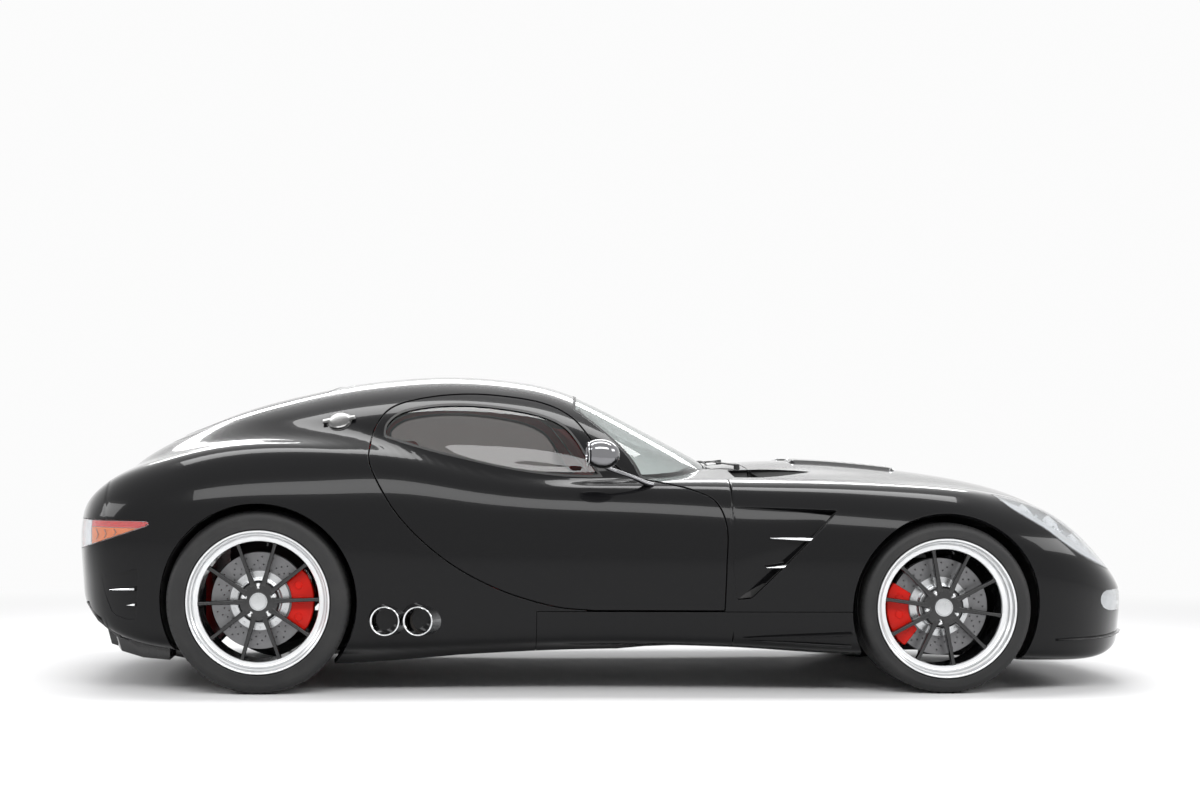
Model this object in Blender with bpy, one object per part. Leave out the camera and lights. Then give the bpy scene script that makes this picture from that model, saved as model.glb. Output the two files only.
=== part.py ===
"""A low two-seat fastback coupe with a long bonnet, as separate pieces at their real size.

X runs forward, Y to the left, Z up, all in metres. The origin lies on the floor, halfway along the
car. The body is two lofted forms: the hull, which is everything below the shoulder line, and the
canopy, which is the roof, the pillars and the fastback. The panels, doors and lids are cut from the
two, so that they meet as the real panels do. What lies on both sides is made for the left and
mirrored to the right.
"""

import math

import bmesh
import bpy
import numpy
from mathutils import Matrix, Vector

# ---------------------------------------------------------------------------- driving dimensions
WHEELBASE = 2.658
FRONT_AXLE_X = WHEELBASE / 2 - 0.046
REAR_AXLE_X = FRONT_AXLE_X - WHEELBASE

FRONT_TYRE = {"radius": 0.330, "width": 0.255, "rim": 0.270}
REAR_TYRE = {"radius": 0.355, "width": 0.300, "rim": 0.278}
TYRE_INSET = 0.034  # from the skin beside the axle in to the face of the tyre

SEAM = 0.0003  # between pieces that rest on each other
SEAT_GAP = 0.0006  # between a piece that rests on the skin and the skin
SHUT = 0.005  # round doors and lids
SKIN = 0.030  # bonnet and tailgate, outer face to inner face
DOOR_DEPTH = 0.090  # door below the window line
DOOR_INNER = 0.730  # half width between the doors low down
PILLAR_DEPTH = 0.035  # window frames, pillars and roof
GLASS = 0.006
GLASS_RECESS = 0.003

SILL_TOP = 0.316
FLOOR_TOP = 0.200
FLOOR_BOTTOM = 0.170
FLOOR_HALF_WIDTH = 0.60
BAY_HALF_WIDTH = 0.415  # engine bay
FIREWALL_X = 0.560
CABIN_REAR_X = -0.975
LOAD_FLOOR = 0.780
LOAD_REAR_X = -1.800

ARCH_GAP_FRONT = 0.036
ARCH_GAP_REAR = 0.026
STEER_LIMIT = math.radians(30)

DRAWN_FRONT_AXLE = 1.283
DRAWN_REAR_AXLE = -1.375

# Sections of the hull from tail to nose. Heights and half widths in metres:
# x, top (centre line), crest (shoulder of the wing), wide (widest point), low (turn of the sill),
# base (underside), dip (how far the hollow beside the bonnet lies under its neighbours)
HULL_SECTIONS = [
    # x      top    crest_y crest_z wide_y wide_z low_y  low_z  base   dip
    (-2.155, 0.585, 0.060, 0.575, 0.080, 0.530, 0.060, 0.490, 0.480, 0.0),
    (-2.145, 0.655, 0.220, 0.640, 0.270, 0.550, 0.220, 0.450, 0.430, 0.0),
    (-2.115, 0.735, 0.450, 0.715, 0.560, 0.560, 0.480, 0.410, 0.360, 0.0),
    (-2.060, 0.795, 0.600, 0.770, 0.745, 0.570, 0.660, 0.370, 0.280, 0.0),
    (-1.960, 0.865, 0.680, 0.840, 0.835, 0.580, 0.760, 0.340, 0.200, 0.0),
    (-1.800, 0.925, 0.735, 0.900, 0.890, 0.585, 0.830, 0.320, 0.150, 0.0),
    (-1.600, 0.945, 0.765, 0.955, 0.930, 0.580, 0.870, 0.310, 0.130, 0.0),
    (-1.375, 0.950, 0.780, 0.982, 0.950, 0.570, 0.895, 0.300, 0.125, 0.0),
    (-1.120, 0.940, 0.785, 0.978, 0.935, 0.550, 0.880, 0.300, 0.125, 0.0),
    (-0.850, 0.910, 0.790, 0.944, 0.900, 0.520, 0.850, 0.300, 0.130, 0.0),
    (-0.550, 0.855, 0.790, 0.872, 0.875, 0.500, 0.830, 0.290, 0.146, 0.0),
    (-0.250, 0.820, 0.790, 0.832, 0.867, 0.500, 0.825, 0.285, 0.160, 0.0),
    (0.050, 0.820, 0.790, 0.826, 0.873, 0.500, 0.832, 0.280, 0.165, 0.0),
    (0.350, 0.865, 0.785, 0.825, 0.884, 0.500, 0.842, 0.280, 0.160, 0.0),
    (0.600, 0.896, 0.775, 0.823, 0.893, 0.500, 0.848, 0.270, 0.148, 0.015),
    (0.900, 0.900, 0.760, 0.820, 0.902, 0.500, 0.852, 0.260, 0.128, 0.025),
    (1.283, 0.862, 0.735, 0.804, 0.908, 0.490, 0.852, 0.260, 0.112, 0.030),
    (1.500, 0.828, 0.705, 0.776, 0.888, 0.470, 0.832, 0.255, 0.104, 0.025),
    (1.700, 0.776, 0.655, 0.726, 0.838, 0.440, 0.792, 0.245, 0.098, 0.020),
    (1.860, 0.690, 0.590, 0.632, 0.762, 0.410, 0.722, 0.230, 0.096, 0.010),
    (1.980, 0.590, 0.505, 0.528, 0.660, 0.375, 0.622, 0.215, 0.110, 0.0),
    (2.070, 0.490, 0.395, 0.446, 0.525, 0.345, 0.482, 0.210, 0.150, 0.0),
    (2.125, 0.415, 0.265, 0.390, 0.355, 0.325, 0.322, 0.230, 0.198, 0.0),
    (2.150, 0.360, 0.110, 0.345, 0.160, 0.310, 0.142, 0.265, 0.250, 0.0),
    (2.155, 0.325, 0.040, 0.320, 0.060, 0.305, 0.052, 0.290, 0.285, 0.0),
]

# Sections of the canopy from tail to screen: roof height on the centre line and the half width
# at the height CANOPY_BASE, where its sides stand upright inside the hull.
CANOPY_SECTIONS = [
    # x      roof   half
    (-2.030, 0.800, 0.150),
    (-1.925, 0.900, 0.360),
    (-1.832, 0.962, 0.455),
    (-1.739, 1.010, 0.520),
    (-1.627, 1.062, 0.575),
    (-1.496, 1.112, 0.625),
    (-1.366, 1.151, 0.665),
    (-1.227, 1.184, 0.700),
    (-1.050, 1.220, 0.730),
    (-0.837, 1.246, 0.755),
    (-0.601, 1.257, 0.765),
    (-0.366, 1.240, 0.760),
    (-0.210, 1.212, 0.750),
    (-0.060, 1.156, 0.732),
    (0.154, 1.047, 0.680),
    (0.362, 0.938, 0.520),
    (0.456, 0.884, 0.360),
    (0.520, 0.840, 0.200),
]
CANOPY_BASE = 0.70
CANOPY_POWER = 2.8

# Outlines on the left side of the car, (x, z) in drawing order. A point marked True is a corner.
DOOR_OUTLINE = [
    (0.424, 0.322, True), (0.428, 0.500, False), (0.430, 0.640, False), (0.392, 0.740, False),
    (0.300, 0.787, False), (0.180, 0.815, False), (0.064, 0.836, True), (-0.051, 0.952, False),
    (-0.142, 1.069, False), (-0.250, 1.128, False), (-0.400, 1.157, False), (-0.560, 1.167, False),
    (-0.720, 1.153, False), (-0.850, 1.117, False), (-0.915, 1.052, False), (-0.943, 0.965, False),
    (-0.936, 0.868, False), (-0.829, 0.685, False), (-0.656, 0.522, False), (-0.454, 0.408, False),
    (-0.240, 0.340, False), (-0.080, 0.322, True),
]
WINDOW_OUTLINE = [
    (-0.032, 0.836, True), (-0.082, 0.900, False), (-0.128, 0.981, False), (-0.183, 1.044, False),
    (-0.280, 1.087, False), (-0.420, 1.114, False), (-0.568, 1.127, False), (-0.700, 1.122, False),
    (-0.820, 1.098, False), (-0.882, 1.050, False), (-0.894, 0.995, True), (-0.733, 0.945, False),
    (-0.591, 0.910, False), (-0.401, 0.868, False), (-0.212, 0.842, False),
]

# Outlines seen from above, left half from front to rear, (x, y); they close across the middle.
BONNET_HALF = [
    (1.905, 0.000, False), (1.880, 0.120, False), (1.800, 0.290, False), (1.620, 0.450, False),
    (1.300, 0.585, False), (0.900, 0.645, False), (0.620, 0.660, True), (0.585, 0.400, False),
    (0.580, 0.000, False),
]
TAILGATE_HALF = [
    (-1.010, 0.000, False), (-1.020, 0.250, False), (-1.080, 0.400, True), (-1.400, 0.400, False),
    (-1.630, 0.345, False), (-1.755, 0.250, False), (-1.800, 0.120, False), (-1.806, 0.000, False),
]
REAR_GLASS_HALF = [
    (-1.075, 0.000, False), (-1.085, 0.220, False), (-1.125, 0.350, True), (-1.400, 0.345, False),
    (-1.600, 0.292, False), (-1.705, 0.210, False), (-1.742, 0.105, False), (-1.748, 0.000, False),
]
SCREEN_HALF = [
    (0.510, 0.000, False), (0.485, 0.220, False), (0.415, 0.440, False), (0.290, 0.620, False),
    (0.175, 0.708, True), (0.000, 0.618, False), (-0.135, 0.530, True), (-0.112, 0.270, False),
    (-0.106, 0.000, False),
]

DOOR_HINGE = (0.442, 0.893)
BONNET_HINGE = (1.925, 0.640)
TAILGATE_HINGE_X = -1.004

DOOR_DRAFT = 0.25
LID_DRAFT = 0.80

SHELL_SPLIT_X = -0.300  # the seam between the front and rear of the body, under the doors
FIREWALL = 0.055
BAY_FRONT_X = 1.800
SPLITTER_X = 1.720
SPLITTER_TOP = 0.200
MOUTH_Z = 0.318
MOUTH_HALF_WIDTH = 0.360
MOUTH_HALF_HEIGHT = 0.075
AXLE_BAY_TOP = 0.600
LAMP_GAP = 0.0009
LAMP_DEPTH = 0.045

# Headlamp, seen from above, from its rear tip along the outer edge to the nose and back.
HEADLAMP_OUTLINE = [
    (1.500, 0.672, True), (1.600, 0.735, False), (1.720, 0.748, False), (1.830, 0.712, False),
    (1.930, 0.640, False), (2.005, 0.545, True), (1.960, 0.490, False), (1.850, 0.500, False),
    (1.720, 0.560, False), (1.600, 0.625, False),
]
TAIL_LAMP_OUTLINE = [(-1.790, 0.668), (-1.797, 0.650), (-2.090, 0.556), (-2.300, 0.548),
                     (-2.300, 0.672), (-2.090, 0.672)]
TAIL_LAMP_INNER = 0.470
DIFFUSER_OUTLINE = [(-2.128, 0.356), (-2.090, 0.420), (-1.740, 0.220), (-1.740, 0.112), (-1.930, 0.122),
                    (-2.015, 0.148), (-2.035, 0.215)]
DIFFUSER_HALF_WIDTH = 0.660
DIFFUSER_SWEEP = 0.085  # how much further forward the ends stand than the middle
DIFFUSER_PARTS = 8
# Recess behind each front wheel, seen from the side: (x, z, depth below the skin at three corners)
SIDE_VENT_OUTLINE = [(0.452, 0.720, True), (0.660, 0.716, False), (0.858, 0.706, True),
                     (0.690, 0.532, False), (0.530, 0.372, True), (0.474, 0.366, True)]
SIDE_VENT_CORNERS = [(0.452, 0.720, 0.008), (0.474, 0.366, 0.008), (0.858, 0.706, 0.045)]

MIRROR_HEAD = (-0.055, 0.925, 0.925)
MIRROR_HALF_SIZE = (0.045, 0.078, 0.052)
MIRROR_FOOT = (0.150, 0.760, 0.800)
FUEL_CAP = (-1.071, 1.058)

EXHAUST_TIPS = (-0.888, -0.761)
TIP_RADIUS = 0.057
TIP_Z = 0.283
TIP_FACE = 0.892
TIP_LEAN = 0.75
SILENCER = {"rear": -0.90, "front": -0.45, "outer": 0.740, "low": 0.215, "high": 0.352}
SILENCER_GAP = 0.035  # between a seat's side and the silencer beside it

TUNNEL_TOP = 0.380
RAIL_TOP = 0.255
RAIL_INNER = 0.345
CROSSMEMBER_BOTTOM = 0.128
CROSSMEMBER_TOP = 0.1717
ENGINE = {"rear": 0.690, "front": 1.420, "half_width": 0.280, "top": 0.760}
KINGPIN_INSET = 0.215
BALL_OFFSET = 0.140
ARM_RADIUS = 0.012
ARM_SPREAD = 0.110
ARM_WINDOW_TOP = 0.520
SPINDLE_RADIUS = 0.025
BEAD_DROP = 0.014
DISC_RADIUS = 0.190
DISC_FACE = -0.130
DISC_WIDTH = 0.030
CALIPER_WALL = 0.025
CALIPER_SPREAD = 38
SPOKES = 10
SPOKE_START = math.radians(2)
TYRE_SEGMENTS = 28
RIM_SEGMENTS = 28
HUB_SEGMENTS = 14
ARCH_SEGMENTS = 28

SEAT = {"x": -0.420, "y": 0.370, "half_width": 0.220, "top": 0.400, "front": 0.270, "rear": 0.260}
# Side view of a seat's back: distance from the seat's middle, height
SEAT_BACK = [(-0.17, 0.34), (-0.30, 0.32), (-0.44, 0.86), (-0.43, 0.98), (-0.35, 0.99), (-0.32, 0.88)]
SILENCER_INNER = SEAT["y"] + SEAT["half_width"] + SILENCER_GAP
STEERING = {"x": 0.010, "z": 0.720, "radius": 0.170, "lean": math.radians(20)}
DASH_OUTLINE = [(0.5597, 0.500), (0.5597, 0.790), (0.440, 0.830), (0.250, 0.800), (0.205, 0.740),
                (0.230, 0.660), (0.340, 0.580), (0.400, 0.500)]

COLUMN_RADIUS = 0.016
COLUMN_LENGTH = 0.250  # from the steering wheel into the dashboard
COLUMN_SEGMENTS = 12
DASH_GAP = 0.020  # between the dashboard and the doors and pillars

FLAT = math.radians(0.4)  # neighbouring faces within this are joined
HULL_STEP = 2  # stations per section of the table
HULL_POINTS = 12  # points down each side of a section
CANOPY_STEP = 1
CANOPY_POINTS = 8


# ---------------------------------------------------------------------------- curves and sections
class Curve:
    """A natural cubic spline through values at 0, 1, 2 and so on."""

    def __init__(self, values):
        self.values = numpy.array(values, dtype=float)
        count = len(values)
        matrix = numpy.eye(count)
        right = numpy.zeros(count)
        for i in range(1, count - 1):
            matrix[i, i - 1: i + 2] = (1.0, 4.0, 1.0)
            right[i] = 6.0 * (values[i + 1] - 2.0 * values[i] + values[i - 1])
        self.bend = numpy.linalg.solve(matrix, right)

    def __call__(self, t):
        i = int(min(max(math.floor(t), 0), len(self.values) - 2))
        b = t - i
        a = 1.0 - b
        cubic = (a ** 3 - a) * self.bend[i] + (b ** 3 - b) * self.bend[i + 1]
        return float(a * self.values[i] + b * self.values[i + 1] + cubic / 6.0)


def along(x):
    """A drawn station, moved with the axle it belongs to and stretched between the axles."""
    if x >= DRAWN_FRONT_AXLE:
        return x - DRAWN_FRONT_AXLE + FRONT_AXLE_X
    if x <= DRAWN_REAR_AXLE:
        return x - DRAWN_REAR_AXLE + REAR_AXLE_X
    share = (x - DRAWN_REAR_AXLE) / (DRAWN_FRONT_AXLE - DRAWN_REAR_AXLE)
    return REAR_AXLE_X + share * WHEELBASE


def spline_basis(controls, samples):
    """Weights of a clamped cubic B-spline of so many controls at evenly spaced samples."""
    degree = 3
    inner = controls - degree
    knots = [0.0] * degree + [float(i) for i in range(inner + 1)] + [float(inner)] * degree
    rows = []
    for k in range(samples):
        t = inner * k / (samples - 1)
        t = min(t, inner - 1e-9)
        weights = [1.0 if knots[i] <= t < knots[i + 1] else 0.0 for i in range(len(knots) - 1)]
        for d in range(1, degree + 1):
            raised = []
            for i in range(len(weights) - 1):
                left = knots[i + d] - knots[i]
                right = knots[i + d + 1] - knots[i + 1]
                value = 0.0
                if left > 0:
                    value += (t - knots[i]) / left * weights[i]
                if right > 0:
                    value += (knots[i + d + 1] - t) / right * weights[i + 1]
                raised.append(value)
            weights = raised
        rows.append(weights)
    return numpy.array(rows)


class Hull:
    """The body below the shoulder line."""

    def __init__(self):
        columns = list(zip(*HULL_SECTIONS))
        stations = [along(x) for x in columns[0]]
        self.curves = [Curve(column) for column in [stations, *columns[1:]]]
        self.last = len(HULL_SECTIONS) - 1
        fine = numpy.linspace(0, self.last, 600)
        self.fine_t = fine
        self.fine_x = numpy.array([self.curves[0](t) for t in fine])
        self.basis = {}

    def place(self, x):
        """The table position of a station x."""
        return float(numpy.interp(x, self.fine_x, self.fine_t))

    def section(self, t, inset, samples):
        """Half a section from the top centre down to the bottom centre, as (y, z) rows."""
        top, crest_y, crest_z, wide_y, wide_z, low_y, low_z, base, dip = (
            curve(t) for curve in self.curves[1:])
        hollow_z = 0.5 * (top + crest_z) - dip
        controls = numpy.array([
            (0.0, top),
            (0.35 * crest_y, top),
            (0.70 * crest_y, hollow_z),
            (0.93 * crest_y, crest_z),
            (crest_y + 0.30 * (wide_y - crest_y), crest_z - 0.08 * (crest_z - wide_z)),
            (crest_y + 0.92 * (wide_y - crest_y), wide_z + 0.52 * (crest_z - wide_z)),
            (wide_y, wide_z),
            (low_y + 0.25 * (wide_y - low_y), low_z + 0.20 * (wide_z - low_z)),
            (low_y, base + 0.30 * (low_z - base)),
            (0.95 * low_y, base),
            (0.0, base),
        ])
        controls[:, 0] = numpy.maximum(controls[:, 0] - inset, 0.0)
        controls[0, 0] = 0.0
        controls[:5, 1] -= inset
        controls[8:, 1] += inset
        if samples not in self.basis:
            self.basis[samples] = spline_basis(len(controls), samples)
        return self.basis[samples] @ controls

    def side_y(self, x, z):
        """Half width of the outer skin at (x, z), or 0 above or below it."""
        points = self.section(self.place(x), 0.0, 40)
        crown = int(numpy.argmax(points[:, 0] > 0.80 * points[:, 0].max()))
        side = points[crown:36][::-1]
        if z > side[:, 1].max() or z < side[:, 1].min():
            return 0.0
        order = numpy.argsort(side[:, 1])
        return float(numpy.interp(z, side[order, 1], side[order, 0]))

    def top_z(self, x, y):
        """Height of the upper skin at (x, y)."""
        points = self.section(self.place(x), 0.0, 40)
        widest = int(numpy.argmax(points[:, 0]))
        return float(numpy.interp(abs(y), points[:widest + 1, 0], points[:widest + 1, 1]))

    def rings(self, inset, step, samples, first=0.0, last=None):
        last = self.last if last is None else last
        count = int(round((last - first) * step)) + 1
        for k in range(count):
            t = first + (last - first) * k / (count - 1)
            half = self.section(t, inset, samples)
            x = self.curves[0](t)
            left = [(x, y, z) for y, z in half]
            right = [(x, -y, z) for y, z in half[-2:0:-1]]
            yield left + right


class Canopy:
    """The roof, pillars and fastback, down to inside the hull."""

    def __init__(self):
        columns = list(zip(*CANOPY_SECTIONS))
        stations = [along(x) for x in columns[0]]
        self.curves = [Curve(column) for column in [stations, *columns[1:]]]
        self.last = len(CANOPY_SECTIONS) - 1
        self.fine_t = numpy.linspace(0, self.last, 400)
        self.fine_x = numpy.array([self.curves[0](t) for t in self.fine_t])

    def place(self, x):
        """The table position of a station x."""
        return float(numpy.interp(x, self.fine_x, self.fine_t))

    def sizes(self, x):
        """Roof height and half width at a station."""
        t = self.place(x)
        return self.curves[1](t), self.curves[2](t)

    def side_y(self, x, z):
        """Half width of the outer skin at (x, z), or 0 above it."""
        if not self.fine_x[0] <= x <= self.fine_x[-1]:
            return 0.0
        roof, half = self.sizes(x)
        share = (z - CANOPY_BASE) / (roof - CANOPY_BASE)
        if share >= 1.0:
            return 0.0
        return half * (1.0 - max(share, 0.0) ** CANOPY_POWER) ** (1.0 / CANOPY_POWER)

    def top_z(self, x, y):
        """Height of the skin at (x, y)."""
        roof, half = self.sizes(x)
        share = min(abs(y) / half, 1.0)
        rise = (1.0 - share ** CANOPY_POWER) ** (1.0 / CANOPY_POWER)
        return CANOPY_BASE + (roof - CANOPY_BASE) * rise

    def rings(self, inset, step, samples):
        count = self.last * step + 1
        for k in range(count):
            t = self.last * k / (count - 1)
            x = self.curves[0](t)
            roof = self.curves[1](t) - inset
            half = max(self.curves[2](t) - inset, 0.02)
            arch = []
            for j in range(-samples, samples + 1):
                turn = 0.5 * math.pi * j / samples
                across = abs(math.sin(turn)) ** (2 / CANOPY_POWER)
                rise = abs(math.cos(turn)) ** (2 / CANOPY_POWER) if abs(j) < samples else 0.0
                y = math.copysign(half * across, j) if j else 0.0
                arch.append((x, y, CANOPY_BASE + (roof - CANOPY_BASE) * rise))
            yield arch


HULL = Hull()
CANOPY = Canopy()


def skin_y(x, z):
    """Half width of the car's outer skin at (x, z)."""
    return max(HULL.side_y(x, z), CANOPY.side_y(x, z))


def smooth_outline(points, closed=True, per_span=2):
    """Points along a curve through the given ones, straight only into and out of corners.

    Between corners it is a Catmull-Rom curve; a corner's tangent points at its neighbour.
    """
    count = len(points)
    places = [Vector((along(p[0]), p[1])) for p in points]
    spans = count if closed else count - 1
    outline = []
    for i in range(spans):
        j = (i + 1) % count
        before = places[i - 1] if closed or i > 0 else places[i]
        after = places[(i + 2) % count] if closed or i + 2 < count else places[j]
        run = places[j] - places[i]
        start = run if points[i][2] else (places[j] - before) * 0.5
        end = run if points[j][2] else (after - places[i]) * 0.5
        for k in range(per_span):
            s = k / per_span
            outline.append(
                places[i] * (2 * s ** 3 - 3 * s ** 2 + 1) + start * (s ** 3 - 2 * s ** 2 + s)
                + places[j] * (3 * s ** 2 - 2 * s ** 3) + end * (s ** 3 - s ** 2))
    if not closed:
        outline.append(places[-1])
    return outline


def both_halves(points, per_span=2):
    """A closed outline from a half that starts and ends on the centre line."""
    mirrored = [(x, -y, corner) for x, y, corner in points[-2:0:-1]]
    return smooth_outline(points + mirrored, True, per_span)


def normals_of(outline):
    """Outward steps that move every edge of a closed outline out by one unit."""
    area = sum(a.x * b.y - b.x * a.y for a, b in zip(outline, outline[1:] + outline[:1]))
    turn = 1.0 if area > 0 else -1.0
    steps = []
    for i, point in enumerate(outline):
        before = (point - outline[i - 1]).normalized()
        after = (outline[(i + 1) % len(outline)] - point).normalized()
        one, two = Vector((before.y, -before.x)), Vector((after.y, -after.x))
        steps.append((one + two) / max(1.0 + one.dot(two), 0.5) * turn)
    return steps


# ---------------------------------------------------------------------------- modelling helpers
def clear_scene():
    for thing in list(bpy.data.objects):
        bpy.data.objects.remove(thing, do_unlink=True)


def material(name, colour, roughness, metallic=0.0):
    """A Principled material, made once and then found by its name."""
    found = bpy.data.materials.get(name)
    if found:
        return found
    made = bpy.data.materials.new(name)
    made.use_nodes = True
    shader = made.node_tree.nodes["Principled BSDF"]
    shader.inputs["Base Color"].default_value = (*colour, 1.0)
    shader.inputs["Roughness"].default_value = roughness
    shader.inputs["Metallic"].default_value = metallic
    made.diffuse_color = (*colour, 1.0)
    return made


FINISHES = {
    "paint": ((0.012, 0.012, 0.013), 0.08, 0.0),
    "trim": ((0.02, 0.02, 0.02), 0.45, 0.0),
    "glass": ((0.05, 0.06, 0.06), 0.03, 0.0),
    "rubber": ((0.02, 0.02, 0.02), 0.8, 0.0),
    "wheel": ((0.015, 0.015, 0.015), 0.25, 0.4),
    "disc": ((0.25, 0.25, 0.26), 0.4, 0.9),
    "caliper": ((0.75, 0.02, 0.01), 0.25, 0.0),
    "chrome": ((0.8, 0.8, 0.8), 0.08, 1.0),
    "alloy": ((0.45, 0.45, 0.46), 0.4, 0.9),
    "iron": ((0.08, 0.08, 0.08), 0.6, 0.5),
    "lamp": ((0.7, 0.72, 0.74), 0.05, 0.1),
    "tail_lamp": ((0.7, 0.05, 0.02), 0.1, 0.0),
    "leather": ((0.5, 0.02, 0.015), 0.5, 0.0),
}


def place(name, mesh):
    """A new object of a mesh, linked to the scene."""
    thing = bpy.data.objects.new(name, mesh)
    bpy.context.scene.collection.objects.link(thing)
    return thing


def solid_of(name, vertices, faces):
    """A closed object from vertices and faces, with its faces turned outward."""
    form = bmesh.new()
    made = [form.verts.new(v) for v in vertices]
    for face in faces:
        form.faces.new([made[i] for i in face])
    bmesh.ops.remove_doubles(form, verts=form.verts, dist=1e-6)
    bmesh.ops.recalc_face_normals(form, faces=form.faces)
    mesh = bpy.data.meshes.new(name)
    form.to_mesh(mesh)
    form.free()
    return place(name, mesh)


def loft(name, rings):
    """A closed object through rings of equally many points, with flat ends."""
    rings = [list(ring) for ring in rings]
    size = len(rings[0])
    vertices = [v for ring in rings for v in ring]
    faces = []
    for i in range(len(rings) - 1):
        for j in range(size):
            k = (j + 1) % size
            faces.append((i * size + j, i * size + k, (i + 1) * size + k, (i + 1) * size + j))
    faces.append(tuple(range(size)))
    faces.append(tuple(range((len(rings) - 1) * size, len(rings) * size)))
    return solid_of(name, vertices, faces)


def block(name, low, high, bevel=0.0):
    """A box between two corners, with bevelled edges if asked."""
    form = bmesh.new()
    bmesh.ops.create_cube(form, size=1.0)
    middle = [(a + b) / 2 for a, b in zip(low, high)]
    size = [b - a for a, b in zip(low, high)]
    bmesh.ops.scale(form, vec=size, verts=form.verts)
    bmesh.ops.translate(form, vec=middle, verts=form.verts)
    if bevel:
        bmesh.ops.bevel(form, geom=form.edges, offset=bevel, segments=1, affect="EDGES")
    mesh = bpy.data.meshes.new(name)
    form.to_mesh(mesh)
    form.free()
    return place(name, mesh)


def prism(name, outline, low, high, axis):
    """A straight prism of a closed outline, between two heights on the axis Y or Z."""
    rings = []
    for height in (low, high):
        if axis == "Y":
            rings.append([(p.x, height, p.y) for p in outline])
        else:
            rings.append([(p.x, p.y, height) for p in outline])
    return loft(name, rings)


def turned(name, profile, segments, centre):
    """A ring or disc about a Y axis: a closed profile of (radius, y) points, spun round."""
    rings = []
    for k in range(segments):
        turn = 2 * math.pi * k / segments
        rings.append([(centre[0] + r * math.cos(turn), centre[1] + y, centre[2] + r * math.sin(turn))
                      for r, y in profile])
    size = len(profile)
    vertices = [v for ring in rings for v in ring]
    faces = []
    for i in range(segments):
        n = (i + 1) % segments
        for j in range(size):
            k = (j + 1) % size
            if profile[j][0] < 1e-9 and profile[k][0] < 1e-9:
                continue
            if profile[j][0] < 1e-9:
                faces.append((i * size + j, n * size + k, i * size + k))
            elif profile[k][0] < 1e-9:
                faces.append((i * size + j, n * size + j, i * size + k))
            else:
                faces.append((i * size + j, n * size + j, n * size + k, i * size + k))
    return solid_of(name, vertices, faces)


def rod(name, start, end, radius, segments=12):
    """A round bar between two points."""
    start, end = Vector(start), Vector(end)
    form = bmesh.new()
    bmesh.ops.create_cone(form, cap_ends=True, segments=segments, radius1=radius, radius2=radius,
                          depth=(end - start).length)
    turn = (end - start).to_track_quat("Z", "Y").to_matrix().to_4x4()
    bmesh.ops.transform(form, matrix=Matrix.Translation((start + end) / 2) @ turn, verts=form.verts)
    mesh = bpy.data.meshes.new(name)
    form.to_mesh(mesh)
    form.free()
    return place(name, mesh)


def carve(target, tool, operation="DIFFERENCE", keep=False):
    """Cut, join or intersect an object with another one, which is then removed."""
    change = target.modifiers.new("carve", "BOOLEAN")
    change.operation = operation
    change.solver = "EXACT"
    change.object = tool
    bpy.context.view_layer.update()
    graph = bpy.context.evaluated_depsgraph_get()
    mesh = bpy.data.meshes.new_from_object(target.evaluated_get(graph))
    target.modifiers.clear()
    old = target.data
    target.data = mesh
    bpy.data.meshes.remove(old)
    if not keep:
        remove(tool)
    return target


def remove(thing):
    mesh = thing.data
    bpy.data.objects.remove(thing, do_unlink=True)
    if mesh.users == 0:
        bpy.data.meshes.remove(mesh)


def copy_of(thing, name):
    """A copy of an object with its own mesh."""
    return place(name, thing.data.copy())


def mirrored(thing, name):
    """The same object on the other side of the car."""
    twin = copy_of(thing, name)
    twin.data.transform(Matrix.Diagonal((1, -1, 1, 1)))
    twin.data.flip_normals()
    return twin


def shifted(thing, step):
    thing.data.transform(Matrix.Translation(step))
    return thing


def join(first, *others):
    """One solid out of several that run into each other."""
    for other in others:
        carve(first, other, "UNION")
    return first


def finish(thing, name, finish_name, body, smooth=35):
    """Name a finished piece, tidy its mesh, give it its material and note its body."""
    for reach in (1e-4, 2e-5, 5e-6, 1e-6, 1e-7):
        form = bmesh.new()
        form.from_mesh(thing.data)
        bmesh.ops.remove_doubles(form, verts=form.verts, dist=reach)
        bmesh.ops.dissolve_degenerate(form, edges=form.edges, dist=reach)
        bmesh.ops.dissolve_limit(form, angle_limit=FLAT, verts=form.verts, edges=form.edges)
        bmesh.ops.triangulate(form, faces=form.faces)
        closed = all(len(edge.link_faces) == 2 for edge in form.edges)
        if closed:
            form.to_mesh(thing.data)
        form.free()
        if closed:
            break
    thing.name = name
    thing.data.name = name
    thing.data.materials.clear()
    thing.data.materials.append(material(finish_name, *FINISHES[finish_name]))
    thing.data.shade_smooth()
    thing.data.set_sharp_from_angle(angle=math.radians(smooth))
    thing["body"] = body
    return thing


def drafted_side(name, outline, gap, draft, depth, inner=0.25):
    """A plug through the left side, whose walls pass through the outline on the skin.

    It is straight outside the skin, tapers inward over the depth, and ends at half width inner.
    """
    rings = [[], [], [], []]
    for point, normal in zip(outline, normals_of(outline)):
        y = skin_y(point.x, point.y)
        edge = point + normal * gap
        sunk = edge - normal * draft * depth
        rings[0].append((edge.x, 1.25, edge.y))
        rings[1].append((edge.x, y, edge.y))
        rings[2].append((sunk.x, y - depth, sunk.y))
        rings[3].append((sunk.x, inner, sunk.y))
    return loft(name, rings)


def drafted_top(name, outline, gap, draft, depth, surface, floor=0.45):
    """A plug through a top surface, whose walls pass through the outline on the skin."""
    rings = [[], [], [], []]
    for point, normal in zip(outline, normals_of(outline)):
        z = surface(point.x, point.y)
        edge = point + normal * gap
        sunk = edge - normal * draft * depth
        rings[0].append((edge.x, edge.y, 1.6))
        rings[1].append((edge.x, edge.y, z))
        rings[2].append((sunk.x, sunk.y, z - depth))
        rings[3].append((sunk.x, sunk.y, floor))
    return loft(name, rings)


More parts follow.
